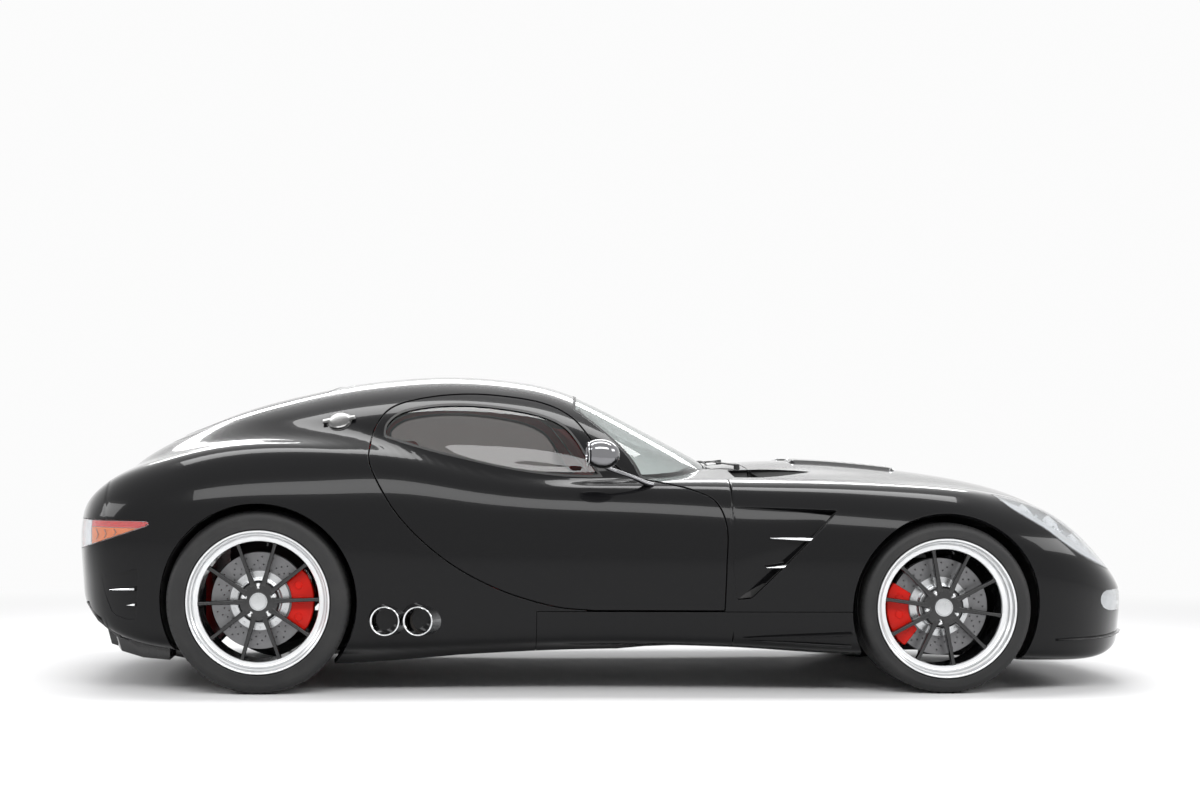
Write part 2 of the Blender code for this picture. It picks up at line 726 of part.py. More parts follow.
# ---------------------------------------------------------------------------- body panels
def hull_solid(inset=0.0, first=0.0, last=None):
    return loft("hull", HULL.rings(inset, HULL_STEP, HULL_POINTS, first, last))


def hull_lining(inset):
    """The hull's inner face: coarser, and short of the ends, where it would turn inside out."""
    return loft("lining", HULL.rings(inset, 1, 13, 3, 21))


def canopy_solid(inset=0.0):
    return loft("canopy", CANOPY.rings(inset, CANOPY_STEP, CANOPY_POINTS))


def cabin_hollow():
    """The space for people and luggage."""
    cabin = hull_lining(DOOR_DEPTH)
    carve(cabin, block("b", (along(CABIN_REAR_X), -1, FLOOR_TOP), (along(FIREWALL_X), 1, 1)),
          "INTERSECT")
    join(cabin, block("b", (along(CABIN_REAR_X), -DOOR_INNER, SILL_TOP + SEAM),
                      (along(FIREWALL_X) - SEAM, DOOR_INNER, 0.700)))
    upper = canopy_solid(PILLAR_DEPTH)
    low_part = block("b", (along(-2.2), -1, 0.5), (along(CABIN_REAR_X), 1, LOAD_FLOOR))
    carve(upper, low_part)
    carve(upper, block("b", (along(-2.2), -1, 0.5), (along(LOAD_REAR_X), 1, 1.5)))
    return join(cabin, upper)


def wheel_face(axle_x, tyre):
    """Half width at the outer face of a tyre."""
    return HULL.side_y(axle_x, tyre["radius"] + 0.15) - TYRE_INSET


def arch_cutter(axle_x, tyre, gap, steered):
    """The left wheel's space: round over the tyre, and wider low down where it turns."""
    face = wheel_face(axle_x, tyre)
    inner = face - tyre["width"] - (0.185 if steered else 0.020)
    centre = (axle_x, 0.0, tyre["radius"])
    radius = tyre["radius"] + gap
    space = turned("arch", [(0.0, inner), (radius, inner), (radius, 1.2), (0.0, 1.2)], ARCH_SEGMENTS, centre)
    if steered:
        wide = radius + gap
        sweep = turned("sweep", [(0.0, inner - 0.002), (wide, inner - 0.002), (wide, face - 0.04),
                                 (0.0, face - 0.04)], ARCH_SEGMENTS, centre)
        top = tyre["radius"] + 0.31
        carve(sweep, block("b", (axle_x - 1, 0, top), (axle_x + 1, 2, 2)))
        return [space, sweep]
    return [space]


def even(thing):
    """Replace the right half with the mirror of the left."""
    form = bmesh.new()
    form.from_mesh(thing.data)
    bmesh.ops.symmetrize(form, input=form.verts[:] + form.edges[:] + form.faces[:], direction="Y",
                         dist=1e-5)
    loose = [edge for edge in form.edges if not edge.link_faces]
    bmesh.ops.delete(form, geom=loose, context="EDGES")
    form.to_mesh(thing.data)
    form.free()
    return thing


class Body:
    """Every panel cut from the hull and the canopy."""

    def __init__(self):
        self.hull = hull_solid()
        self.canopy = canopy_solid()
        self.hollow = cabin_hollow()
        self.door_outline = smooth_outline(DOOR_OUTLINE)
        self.window_outline = smooth_outline(WINDOW_OUTLINE)
        self.bonnet_outline = both_halves(BONNET_HALF)
        self.tailgate_outline = both_halves(TAILGATE_HALF)
        self.rear_glass_outline = both_halves(REAR_GLASS_HALF)
        self.screen_outline = both_halves(SCREEN_HALF)
        self.front_arch = arch_cutter(FRONT_AXLE_X, FRONT_TYRE, ARCH_GAP_FRONT, True)
        self.rear_arch = arch_cutter(REAR_AXLE_X, REAR_TYRE, ARCH_GAP_REAR, False)
        self.opening = drafted_side("opening", self.door_outline, SHUT, DOOR_DRAFT, 0.18)

    def fresh(self, thing):
        return copy_of(thing, "blank")

    def cut_all(self, thing, tools):
        for tool in tools:
            carve(thing, tool, keep=True)
        return thing

    def doors(self):
        blank = self.fresh(self.hull)
        join(blank, self.fresh(self.canopy))
        carve(blank, drafted_side("plug", self.door_outline, 0.0, DOOR_DRAFT, 0.18), "INTERSECT")
        carve(blank, self.hollow, keep=True)
        carve(blank, drafted_side("window", self.window_outline, 0.0, 0.0, 0.12))
        left = finish(blank, "door_left", "paint", "door_left")
        finish(mirrored(left, "door_right"), "door_right", "paint", "door_right")

    def door_glass(self):
        pane = canopy_solid(GLASS_RECESS)
        carve(pane, drafted_side("plug", self.window_outline, -SEAM, 0.0, 0.12), "INTERSECT")
        carve(pane, canopy_solid(GLASS_RECESS + GLASS))
        left = finish(pane, "door_glass_left", "glass", "door_left")
        finish(mirrored(left, "door_glass_right"), "door_glass_right", "glass", "door_right")

    def roof(self):
        """Roof panel, screen pillars and the sides of the fastback, down onto the hull."""
        shell = self.fresh(self.canopy)
        carve(shell, canopy_solid(PILLAR_DEPTH))
        carve(shell, shifted(hull_solid(-SEAT_GAP), (0, 0, SEAT_GAP)))
        carve(shell, self.opening, keep=True)
        carve(shell, drafted_top("screen", self.screen_outline, 0.0, 0.0, 0.15, CANOPY.top_z))
        carve(shell, drafted_top("lid", self.tailgate_outline, SHUT, LID_DRAFT, 0.06, CANOPY.top_z))
        finish(even(shell), "roof", "paint", "root")

    def screen(self):
        pane = canopy_solid(GLASS_RECESS)
        carve(pane, drafted_top("plug", self.screen_outline, -SEAM, 0.0, 0.15, CANOPY.top_z),
              "INTERSECT")
        carve(pane, canopy_solid(GLASS_RECESS + GLASS))
        carve(pane, shifted(hull_solid(-SEAT_GAP), (0, 0, 3 * SEAT_GAP)))
        carve(pane, self.opening, keep=True)
        finish(even(pane), "windscreen", "glass", "root")

    def tailgate(self):
        lid = self.fresh(self.canopy)
        carve(lid, drafted_top("plug", self.tailgate_outline, 0.0, LID_DRAFT, 0.06, CANOPY.top_z),
              "INTERSECT")
        carve(lid, canopy_solid(SKIN))
        carve(lid, drafted_top("pane", self.rear_glass_outline, 0.0, 0.0, 0.05, CANOPY.top_z))
        finish(even(lid), "tailgate", "paint", "tailgate")
        pane = canopy_solid(GLASS_RECESS)
        carve(pane, drafted_top("plug", self.rear_glass_outline, -SEAM, 0.0, 0.05, CANOPY.top_z),
              "INTERSECT")
        carve(pane, canopy_solid(GLASS_RECESS + GLASS))
        finish(even(pane), "tailgate_glass", "glass", "tailgate")

    def bonnet(self):
        lid = self.fresh(self.hull)
        carve(lid, drafted_top("plug", self.bonnet_outline, 0.0, LID_DRAFT, 0.06, HULL.top_z),
              "INTERSECT")
        carve(lid, hull_lining(SKIN))
        finish(even(lid), "bonnet", "paint", "bonnet")

    def lower_shells(self):
        """Nose with both front wings, tail with both haunches, and the sills between them."""
        reach = 1.3
        split = along(SHELL_SPLIT_X)
        sill_front = FRONT_AXLE_X
        front = self.fresh(self.hull)
        carve(front, block("b", (split + SEAM / 2, -reach, -0.2), (3, reach, 2)), "INTERSECT")
        carve(front, block("b", (split - 1, -reach, -0.2), (sill_front, reach, SILL_TOP + SEAM)))
        carve(front, self.hollow, keep=True)
        bay = block("b", (along(FIREWALL_X) + FIREWALL, -BAY_HALF_WIDTH, -0.2),
                    (along(BAY_FRONT_X), BAY_HALF_WIDTH, 2))
        carve(bay, hull_lining(SKIN), "INTERSECT")
        below = block("b", (along(FIREWALL_X) + FIREWALL, -BAY_HALF_WIDTH, -0.2),
                      (along(BAY_FRONT_X), BAY_HALF_WIDTH, 0.4))
        carve(front, join(bay, below))
        self.cut_all(front, self.front_arch + [self.opening])
        pocket = drafted_top("pocket", self.bonnet_outline, SHUT, LID_DRAFT, 0.06, HULL.top_z)
        carve(pocket, hull_lining(SKIN + SHUT))
        carve(front, pocket)
        carve(front, block("b", (FRONT_AXLE_X - ARM_SPREAD - 0.03, BAY_HALF_WIDTH - 0.02, CROSSMEMBER_BOTTOM - 0.03),
                           (FRONT_AXLE_X + ARM_SPREAD + 0.03, BAY_HALF_WIDTH + 0.05, ARM_WINDOW_TOP)))
        carve(front, block("b", (along(SPLITTER_X), -reach, -0.2), (3, reach, SPLITTER_TOP + SEAM)))
        duct = loft("mouth", [[(x, MOUTH_HALF_WIDTH * math.cos(a), MOUTH_Z + MOUTH_HALF_HEIGHT
                                * math.sin(a)) for a in circle(20)]
                              for x in (along(BAY_FRONT_X) - 0.02, along(2.3))])
        carve(front, duct)
        carve(front, self.side_vent())
        lamp = drafted_top("lamp", smooth_outline(HEADLAMP_OUTLINE), LAMP_GAP, 0.0, 0.05, HULL.top_z, 0.41)
        carve(front, carve(lamp, hull_lining(LAMP_DEPTH + 0.003)))
        finish(even(front), "front_shell", "paint", "root")

        rear = self.fresh(self.hull)
        carve(rear, block("b", (-3, -reach, -0.2), (split - SEAM / 2, reach, 2)), "INTERSECT")
        carve(rear, self.hollow, keep=True)
        carve(rear, block("b", (along(CABIN_REAR_X) + 0.0, -FLOOR_HALF_WIDTH - SEAM, -0.2),
                          (split + 1, FLOOR_HALF_WIDTH + SEAM, SILL_TOP + SEAM)))
        wells = block("b", (REAR_AXLE_X - 0.23, -0.63, -0.2), (REAR_AXLE_X + 0.23, 0.63, AXLE_BAY_TOP))
        join(wells, copy_of(self.rear_arch[0], "arch"))
        self.cut_all(rear, [wells, self.opening])
        remove(wells)
        lamp = self.tail_lamp_plug(LAMP_GAP)
        carve(rear, carve(lamp, hull_lining(LAMP_DEPTH + 0.003)))
        room = 0.010
        carve(rear, block("b", (along(SILENCER["rear"]) - room, SILENCER_INNER - room, SILENCER["low"] - room),
                          (along(SILENCER["front"]) + room, SILENCER["outer"] + room, SILENCER["high"] + SEAM)))
        for x in EXHAUST_TIPS:
            carve(rear, tip_tube(along(x), 1, TIP_RADIUS + 0.006, 0.12))
        finish(even(rear), "rear_shell", "paint", "root")

        sill = self.fresh(self.hull)
        carve(sill, block("b", (split + SEAM / 2, FLOOR_HALF_WIDTH + SEAM, -0.2),
                          (sill_front, reach, SILL_TOP)), "INTERSECT")
        self.cut_all(sill, self.front_arch)
        left = finish(sill, "sill_left", "paint", "root")
        finish(mirrored(left, "sill_right"), "sill_right", "paint", "root")

    def side_vent(self):
        """The left recess behind the front wheel: a plug with a flat floor that slopes in."""
        corners = []
        for x, z, depth in SIDE_VENT_CORNERS:
            corners.append(Vector((along(x), HULL.side_y(along(x), z) - depth, z)))
        across = (corners[1] - corners[0]).cross(corners[2] - corners[0])
        rings = [[], []]
        for point in smooth_outline(SIDE_VENT_OUTLINE):
            gap = Vector((point.x, 0.0, point.y)) - corners[0]
            y = corners[0].y - (across.x * gap.x + across.z * gap.z) / across.y
            rings[0].append((point.x, 1.25, point.y))
            rings[1].append((point.x, y, point.y))
        return loft("vent", rings)

    def splitter(self):
        lip = self.fresh(self.hull)
        carve(lip, block("b", (along(SPLITTER_X) + SEAM, -1.3, -0.2), (3, 1.3, SPLITTER_TOP)),
              "INTERSECT")
        self.cut_all(lip, self.front_arch)
        finish(even(lip), "front_splitter", "trim", "root")

    def tail_lamp_plug(self, gap):
        outline = [Vector((along(x), z)) for x, z in TAIL_LAMP_OUTLINE]
        grown = [p + n * gap for p, n in zip(outline, normals_of(outline))]
        return prism("lamp", grown, TAIL_LAMP_INNER - gap, 1.2, "Y")

    def lamps(self):
        lens = self.fresh(self.hull)
        carve(lens, drafted_top("lamp", smooth_outline(HEADLAMP_OUTLINE), 0.0, 0.0, 0.05,
                                HULL.top_z, 0.41), "INTERSECT")
        carve(lens, hull_lining(LAMP_DEPTH))
        left = finish(lens, "headlamp_left", "lamp", "root")
        finish(mirrored(left, "headlamp_right"), "headlamp_right", "lamp", "root")
        lens = self.fresh(self.hull)
        carve(lens, self.tail_lamp_plug(0.0), "INTERSECT")
        carve(lens, hull_lining(LAMP_DEPTH))
        left = finish(lens, "tail_lamp_left", "tail_lamp", "root")
        finish(mirrored(left, "tail_lamp_right"), "tail_lamp_right", "tail_lamp", "root")

    def diffuser(self):
        rings = []
        for k in range(DIFFUSER_PARTS + 1):
            share = 2 * k / DIFFUSER_PARTS - 1
            sweep = DIFFUSER_SWEEP * share ** 2
            rings.append([(along(x + sweep if x < -1.8 else x), share * DIFFUSER_HALF_WIDTH, z)
                          for x, z in DIFFUSER_OUTLINE])
        tray = loft("tray", rings)
        carve(tray, shifted(hull_solid(-SEAT_GAP), (-2 * SEAT_GAP, 0, -SEAT_GAP)))
        finish(tray, "rear_diffuser", "trim", "root")

    def mirrors(self):
        head = bpy.data.meshes.new("head")
        form = bmesh.new()
        bmesh.ops.create_icosphere(form, subdivisions=2, radius=1.0)
        bmesh.ops.scale(form, vec=MIRROR_HALF_SIZE, verts=form.verts)
        bmesh.ops.translate(form, vec=(along(MIRROR_HEAD[0]), MIRROR_HEAD[1], MIRROR_HEAD[2]),
                            verts=form.verts)
        form.to_mesh(head)
        form.free()
        mirror = place("mirror", head)
        foot = Vector((along(MIRROR_FOOT[0]), MIRROR_FOOT[1], MIRROR_FOOT[2]))
        top = Vector((along(MIRROR_HEAD[0]) + 0.02, MIRROR_HEAD[1], MIRROR_HEAD[2] - 0.03))
        join(mirror, rod("arm", foot, top, 0.014, 8))
        carve(mirror, hull_solid(-SEAT_GAP))
        left = finish(mirror, "mirror_left", "trim", "door_left")
        finish(mirrored(left, "mirror_right"), "mirror_right", "trim", "door_right")

    def fuel_cap(self):
        x, z = along(FUEL_CAP[0]), FUEL_CAP[1]
        y = CANOPY.side_y(x, z)
        step = 0.01
        rise = CANOPY.side_y(x, z + step) - y
        lean = math.atan2(-rise, step)
        cap = turned("cap", [(0.0, -0.02), (0.050, -0.02), (0.050, 0.010), (0.040, 0.016), (0.0, 0.016)],
                     16, (0, 0, 0))
        cap.data.transform(Matrix.Translation((x, y, z)) @ Matrix.Rotation(lean, 4, "X"))
        carve(cap, canopy_solid(-SEAT_GAP))
        right = mirrored(cap, "fuel_cap")
        remove(cap)
        finish(right, "fuel_cap", "chrome", "root")


def circle(count):
    return [2 * math.pi * k / count for k in range(count)]


def tip_tube(x, side, radius, reach, start=None):
    """An exhaust tip: round as seen from the side, slanting out towards the rear."""
    inner = SILENCER["outer"] - 0.02 if start is None else start
    outer = TIP_FACE if reach is None else TIP_FACE + reach
    lean = TIP_LEAN
    rings = []
    for y in (inner, outer):
        rings.append([(x + (TIP_FACE - y) * lean + radius * math.cos(a), side * y,
                       TIP_Z + radius * math.sin(a)) for a in circle(16)])
    return loft("tip", rings)


def exhausts():
    for side, name in ((1, "exhaust_left"), (-1, "exhaust_right")):
        ends = sorted((side * SILENCER_INNER, side * SILENCER["outer"]))
        box = block("box", (along(SILENCER["rear"]), ends[0], SILENCER["low"]),
                    (along(SILENCER["front"]), ends[1], SILENCER["high"]), 0.02)
        for x in EXHAUST_TIPS:
            join(box, tip_tube(along(x), side, TIP_RADIUS, None))
        for x in EXHAUST_TIPS:
            carve(box, tip_tube(along(x), side, TIP_RADIUS - 0.004, 0.05, SILENCER["outer"] + 0.004))
        finish(box, name, "chrome", "root")


# ---------------------------------------------------------------------------- chassis and wheels
def chassis():
    """The floor with its tunnel, the toe board and the two rails that carry the engine."""
    rear, front = along(CABIN_REAR_X) + SEAM, along(FIREWALL_X) + FIREWALL
    floor = block("floor", (rear, -FLOOR_HALF_WIDTH, FLOOR_BOTTOM), (front, FLOOR_HALF_WIDTH, FLOOR_TOP))
    join(floor, block("tunnel", (rear + 0.02, -0.12, FLOOR_BOTTOM + 0.005),
                      (front - FIREWALL - SEAM, 0.12, TUNNEL_TOP), 0.02))
    join(floor, block("toe", (front - FIREWALL, -FLOOR_HALF_WIDTH + 0.01, FLOOR_BOTTOM + 0.005),
                      (front - 0.001, FLOOR_HALF_WIDTH - 0.01, SILL_TOP)))
    for side in (-1, 1):
        ends = sorted((side * RAIL_INNER, side * (BAY_HALF_WIDTH - SEAM)))
        join(floor, block("rail", (front - 0.05, ends[0], FLOOR_BOTTOM + 0.002),
                          (along(SPLITTER_X) - SEAM, ends[1], RAIL_TOP)))
        join(floor, block("horn", (along(SPLITTER_X) - 0.05, ends[0] + 0.001, SPLITTER_TOP + SEAM),
                          (along(BAY_FRONT_X) - SEAM, ends[1] - 0.001, RAIL_TOP - 0.001)))
    finish(floor, "floor_pan", "iron", "root")
    engine = block("engine", (along(ENGINE["rear"]), -ENGINE["half_width"], CROSSMEMBER_TOP + SEAM),
                   (along(ENGINE["front"]), ENGINE["half_width"], ENGINE["top"]), 0.07)
    finish(engine, "engine", "alloy", "root")


def arc_piece(name, profile, centre, start, end, segments):
    """A profile of (radius, y) points swept about a Y axis through part of a turn."""
    rings = []
    for k in range(segments + 1):
        turn = start + (end - start) * k / segments
        rings.append([(centre[0] + r * math.cos(turn), centre[1] + y, centre[2] + r * math.sin(turn))
                      for r, y in profile])
    return loft(name, rings)


class Corner:
    """One wheel with its tyre, disc, caliper and upright, on the left side."""

    def __init__(self, name, axle_x, tyre, caliper_turn):
        self.name = name
        self.x = axle_x
        self.tyre = tyre
        self.turn = caliper_turn
        self.face = wheel_face(axle_x, tyre)
        self.centre = (axle_x, self.face, tyre["radius"])
        self.steer_y = self.face - KINGPIN_INSET
        self.seat = tyre["rim"] - BEAD_DROP

    def rubber(self):
        radius, width, rim = self.tyre["radius"], self.tyre["width"], self.tyre["rim"]
        half = [(self.seat, -0.012), (rim + 0.001, -0.012), ((radius + rim) / 2, 0.0),
                (radius - 0.016, -0.008), (radius, -0.036)]
        profile = half + [(r, -width - y) for r, y in reversed(half)]
        return turned("tyre", profile, TYRE_SEGMENTS, self.centre)

    def rim(self):
        width, rim = self.tyre["width"], self.tyre["rim"]
        seat, well = self.seat - SEAM, rim - 0.040
        bead = -0.012 + SEAM
        profile = [(rim - 0.002, bead), (rim - 0.008, -0.002), (rim - 0.022, -0.006),
                   (rim - 0.034, -0.034), (well, -0.060), (well, 0.035 - width),
                   (rim - 0.020, 0.006 - width), (rim - 0.008, 0.002 - width),
                   (rim - 0.002, -width - bead), (seat, -width - bead), (seat, bead)]
        barrel = turned("barrel", profile, RIM_SEGMENTS, self.centre)
        bore = SPINDLE_RADIUS / math.cos(math.pi / HUB_SEGMENTS) + SEAT_GAP
        hub_profile = [(0.0, -0.058), (0.035, -0.060), (0.076, -0.072), (0.084, -0.108),
                       (0.096, DISC_FACE), (DISC_RADIUS, DISC_FACE), (DISC_RADIUS, DISC_FACE - DISC_WIDTH),
                       (bore, DISC_FACE - DISC_WIDTH), (bore, -0.080), (0.0, -0.080)]
        hub = turned("hub", hub_profile, HUB_SEGMENTS, self.centre)
        for k in range(SPOKES):
            turn = SPOKE_START + 2 * math.pi * k / SPOKES
            join(hub, self.spoke(turn, well + 0.008))
        return join(barrel, hub)

    def spoke(self, turn, reach):
        """A slim bar from the hub to the barrel, tapering outward."""
        out = Vector((math.cos(turn), 0, math.sin(turn)))
        side = Vector((-math.sin(turn), 0, math.cos(turn)))
        rings = []
        for radius, half, front, back in ((0.064, 0.014, -0.069, -0.098), (reach, 0.0085, -0.056, -0.084)):
            middle = Vector(self.centre) + out * radius
            rings.append([middle - side * half + Vector((0, back, 0)),
                          middle + side * half + Vector((0, back, 0)),
                          middle + side * half * 0.7 + Vector((0, front, 0)),
                          middle - side * half * 0.7 + Vector((0, front, 0))])
        return loft("spoke", rings)

    def caliper(self):
        front, back = DISC_FACE + CALIPER_WALL, DISC_FACE - DISC_WIDTH - CALIPER_WALL
        slot_front, slot_back = DISC_FACE + 0.006, DISC_FACE - DISC_WIDTH - 0.006
        profile = [(0.128, front), (0.216, front), (0.216, back), (0.128, back), (0.128, slot_back),
                   (DISC_RADIUS + 0.006, slot_back), (DISC_RADIUS + 0.006, slot_front),
                   (0.128, slot_front)]
        spread = math.radians(CALIPER_SPREAD)
        return arc_piece("caliper", profile, self.centre, self.turn - spread, self.turn + spread, 5)

    def upright(self, post):
        """The bearing housing with its spindle, the kingpin post and the caliper's bracket."""
        x, y, z = self.centre
        housing = turned("housing", [(0.0, -0.235), (0.055, -0.235), (0.055, -0.185), (0.040, -0.176),
                                     (0.040, -0.172), (SPINDLE_RADIUS, -0.172), (SPINDLE_RADIUS, -0.0806),
                                     (0.0, -0.0806)], HUB_SEGMENTS, self.centre)
        join(housing, block("post", (x - 0.022, self.steer_y - 0.018, z - post),
                            (x + 0.022, self.steer_y + 0.012, z + post), 0.004))
        out = math.copysign(1.0, math.cos(self.turn))
        ends = sorted((x + out * 0.03, x + out * 0.17))
        seat = y + DISC_FACE - DISC_WIDTH - CALIPER_WALL - SEAM
        join(housing, block("bracket", (ends[0], y - 0.222, z - 0.02), (ends[1], seat, z + 0.02)))
        return housing


def wheels():
    front = Corner("front", FRONT_AXLE_X, FRONT_TYRE, math.pi)
    rear = Corner("rear", REAR_AXLE_X, REAR_TYRE, 0.0)
    for corner in (front, rear):
        rubber, rim, caliper = corner.rubber(), corner.rim(), corner.caliper()
        for side, make in (("left", copy_of), ("right", mirrored)):
            body = f"wheel_{corner.name}_{side}"
            hold = f"knuckle_{side}" if corner is front else "root"
            finish(make(rubber, "t"), f"tyre_{corner.name}_{side}", "rubber", body)
            finish(make(rim, "r"), body, "wheel", body)
            finish(make(caliper, "c"), f"caliper_{corner.name}_{side}", "caliper", hold)
        for thing in (rubber, rim, caliper):
            remove(thing)
    post = BALL_OFFSET - ARM_RADIUS - 2 * SEAM
    left = finish(front.upright(post), "knuckle_left", "iron", "knuckle_left")
    finish(mirrored(left, "knuckle_right"), "knuckle_right", "iron", "knuckle_right")
    front_axle(front)
    rear_axle(rear)


def front_axle(corner):
    """The crossmember with its towers and the upper and lower arms out to the kingpins."""
    x, y, z = corner.centre
    tower = RAIL_INNER - SEAM
    beam = block("beam", (x - ARM_SPREAD, -BAY_HALF_WIDTH + 0.02, CROSSMEMBER_BOTTOM),
                 (x + ARM_SPREAD, BAY_HALF_WIDTH - 0.02, CROSSMEMBER_TOP))
    for side in (-1, 1):
        ends = sorted((side * (tower - 0.035), side * tower))
        join(beam, block("tower", (x - ARM_SPREAD + 0.002, ends[0], CROSSMEMBER_BOTTOM + 0.002),
                         (x + ARM_SPREAD - 0.002, ends[1], z + BALL_OFFSET + 0.03)))
        for height, root_y, root_z in ((z + BALL_OFFSET, tower - 0.02, z + BALL_OFFSET),
                                       (z - BALL_OFFSET, BAY_HALF_WIDTH - 0.032, CROSSMEMBER_BOTTOM + 0.0235)):
            for lean in (-1, 1):
                join(beam, rod("arm", (x + lean * (ARM_SPREAD - 0.02), side * root_y, root_z),
                               (x + lean * 0.008, side * corner.steer_y, height), ARM_RADIUS, 8))
            ends = sorted((side * (corner.steer_y - 0.02), side * (corner.steer_y + 0.014)))
            thick = ARM_RADIUS + SEAM
            join(beam, block("eye", (x - 0.021, ends[0], height - thick), (x + 0.021, ends[1], height + thick)))
    finish(beam, "front_axle", "iron", "root")


def rear_axle(corner):
    """The subframe, the final drive, the driveshafts and the uprights with their arms."""
    x, y, z = corner.centre
    low = FLOOR_BOTTOM + 0.02
    frame = block("frame", (x - 0.20, -0.30, low), (x + 0.20, 0.30, low + 0.05))
    join(frame, block("drive", (x - 0.12, -0.14, low + 0.03), (x + 0.12, 0.14, z + 0.11), 0.03))
    for side in (-1, 1):
        ends = sorted((side * 0.24, side * 0.29))
        join(frame, block("post", (x - 0.16, ends[0], low + 0.03), (x + 0.16, ends[1], AXLE_BAY_TOP - SEAM)))
        join(frame, rod("shaft", (x, side * 0.12, z), (x, side * (y - 0.23), z), 0.022, 10))
        hold = corner.upright(BALL_OFFSET)
        if side < 0:
            left = hold
            hold = mirrored(left, "hold")
            remove(left)
        join(frame, hold)
        for lean in (-1, 1):
            join(frame, rod("arm", (x + lean * 0.14, side * 0.27, low + 0.03),
                            (x + lean * 0.01, side * (corner.steer_y - 0.004), z - BALL_OFFSET + 0.02),
                            ARM_RADIUS, 8))
    finish(frame, "rear_axle", "iron", "root")


# ---------------------------------------------------------------------------- cabin
def seats():
    x = along(SEAT["x"])
    for side, name in ((1, "seat_left"), (-1, "seat_right")):
        y = side * SEAT["y"]
        half = SEAT["half_width"]
        cushion = block("cushion", (x - SEAT["rear"], y - half, FLOOR_TOP + SEAM),
                        (x + SEAT["front"], y + half, SEAT["top"]), 0.04)
        back_outline = [Vector((x + step, z)) for step, z in SEAT_BACK]
        back = prism("back", back_outline, y - half + 0.012, y + half - 0.012, "Y")
        join(cushion, back)
        finish(cushion, name, "leather", "root")


def dashboard():
    outline = [Vector((along(px), z)) for px, z in DASH_OUTLINE]
    dash = prism("dash", outline, -0.9, 0.9, "Y")
    room = hull_lining(DOOR_DEPTH + DASH_GAP)
    top = canopy_solid(PILLAR_DEPTH + DASH_GAP)
    join(room, top)
    carve(dash, room, "INTERSECT")
    centre, towards = steering_axis()
    bore = COLUMN_RADIUS / math.cos(math.pi / COLUMN_SEGMENTS) + SEAT_GAP
    carve(dash, rod("bore", centre - towards * 0.10, centre - towards * (COLUMN_LENGTH + 0.002), bore,
                    COLUMN_SEGMENTS))
    finish(dash, "dashboard", "leather", "root")


def steering_wheel():
    ring = turned("ring", [(STEERING["radius"] + 0.014 * math.cos(a), 0.014 * math.sin(a)) for a in circle(6)],
                  18, (0, 0, 0))
    join(ring, turned("boss", [(0.0, -0.02), (0.045, -0.02), (0.045, 0.012), (0.0, 0.012)], 16, (0, 0, 0)))
    for a in (0.0, math.pi, -math.pi / 2):
        out = Vector((math.cos(a), 0, math.sin(a)))
        join(ring, rod("spoke", out * 0.03, out * STEERING["radius"], 0.009, 8))
    join(ring, rod("column", (0, 0.0, 0), (0, COLUMN_LENGTH, 0), COLUMN_RADIUS, COLUMN_SEGMENTS))
    turn = Matrix.Rotation(-math.pi / 2, 4, "Z")
    lean = Matrix.Rotation(STEERING["lean"], 4, "Y")
    ring.data.transform(Matrix.Translation(steering_axis()[0]) @ lean @ turn)
    finish(ring, "steering_wheel", "leather", "steering_wheel")


def steering_axis():
    """A point on the steering column and its direction towards the driver."""
    centre = Vector((along(STEERING["x"]), SEAT["y"], STEERING["z"]))
    return centre, Matrix.Rotation(STEERING["lean"], 4, "Y") @ Vector((-1, 0, 0))


def pivots():
    """Each moving body: what carries it, and a point on its joint's axis."""
    front = Corner("front", FRONT_AXLE_X, FRONT_TYRE, math.pi)
    rear = Corner("rear", REAR_AXLE_X, REAR_TYRE, 0.0)
    bonnet_x, bonnet_z = BONNET_HINGE
    table = {
        "bonnet": (None, Vector((along(bonnet_x), 0, bonnet_z))),
        "tailgate": (None, Vector((along(TAILGATE_HINGE_X), 0, CANOPY.top_z(along(TAILGATE_HINGE_X), 0)))),
        "steering_wheel": (None, steering_axis()[0]),
    }
    for side, name in ((1, "left"), (-1, "right")):
        hinge_x, hinge_y = DOOR_HINGE
        table[f"door_{name}"] = (None, Vector((along(hinge_x), side * hinge_y, 0.55)))
        table[f"knuckle_{name}"] = (None, Vector((front.x, side * front.steer_y, front.centre[2])))
        for corner, carrier in ((front, f"knuckle_{name}"), (rear, None)):
            table[f"wheel_{corner.name}_{name}"] = (
                carrier, Vector((corner.x, side * corner.face, corner.centre[2])))
    return table


def hang_moving_pieces():
    """Put each moving piece's origin on its joint's axis, under an empty that turns it."""
    empties = {}
    table = pivots()
    for body, (carrier, point) in table.items():
        empty = bpy.data.objects.new(f"{body}_axis", None)
        bpy.context.collection.objects.link(empty)
        empty.location = point
        if carrier:
            empty.parent = empties[carrier]
            empty.location = point - table[carrier][1]
        empties[body] = empty
    for thing in bpy.data.objects:
        if thing.get("body") in empties:
            thing.data.transform(Matrix.Translation(-table[thing["body"]][1]))
            thing.parent = empties[thing["body"]]


def main():
    clear_scene()
    body = Body()
    body.doors()
    body.door_glass()
    body.roof()
    body.screen()
    body.tailgate()
    body.bonnet()
    body.lower_shells()
    body.splitter()
    body.lamps()
    body.diffuser()
    body.mirrors()
    body.fuel_cap()
    exhausts()
    chassis()
    wheels()
    seats()
    dashboard()
    steering_wheel()
    for thing in list(bpy.data.objects):
        if "body" not in thing:
            remove(thing)
    hang_moving_pieces()


main()
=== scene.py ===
"""The looks of a low two-seat fastback coupe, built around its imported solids.

X runs forward, Y to the left and Z up, in metres, as in the solids. The bodywork is one smooth
skin, the blend of a hull and a canopy that are lofted through short tables of sections. The
panels, lids and panes are trimmed from that skin along the solids' own shut lines, and every
other piece is shaped on its own and put where the solids hold its place.
"""

from __future__ import annotations

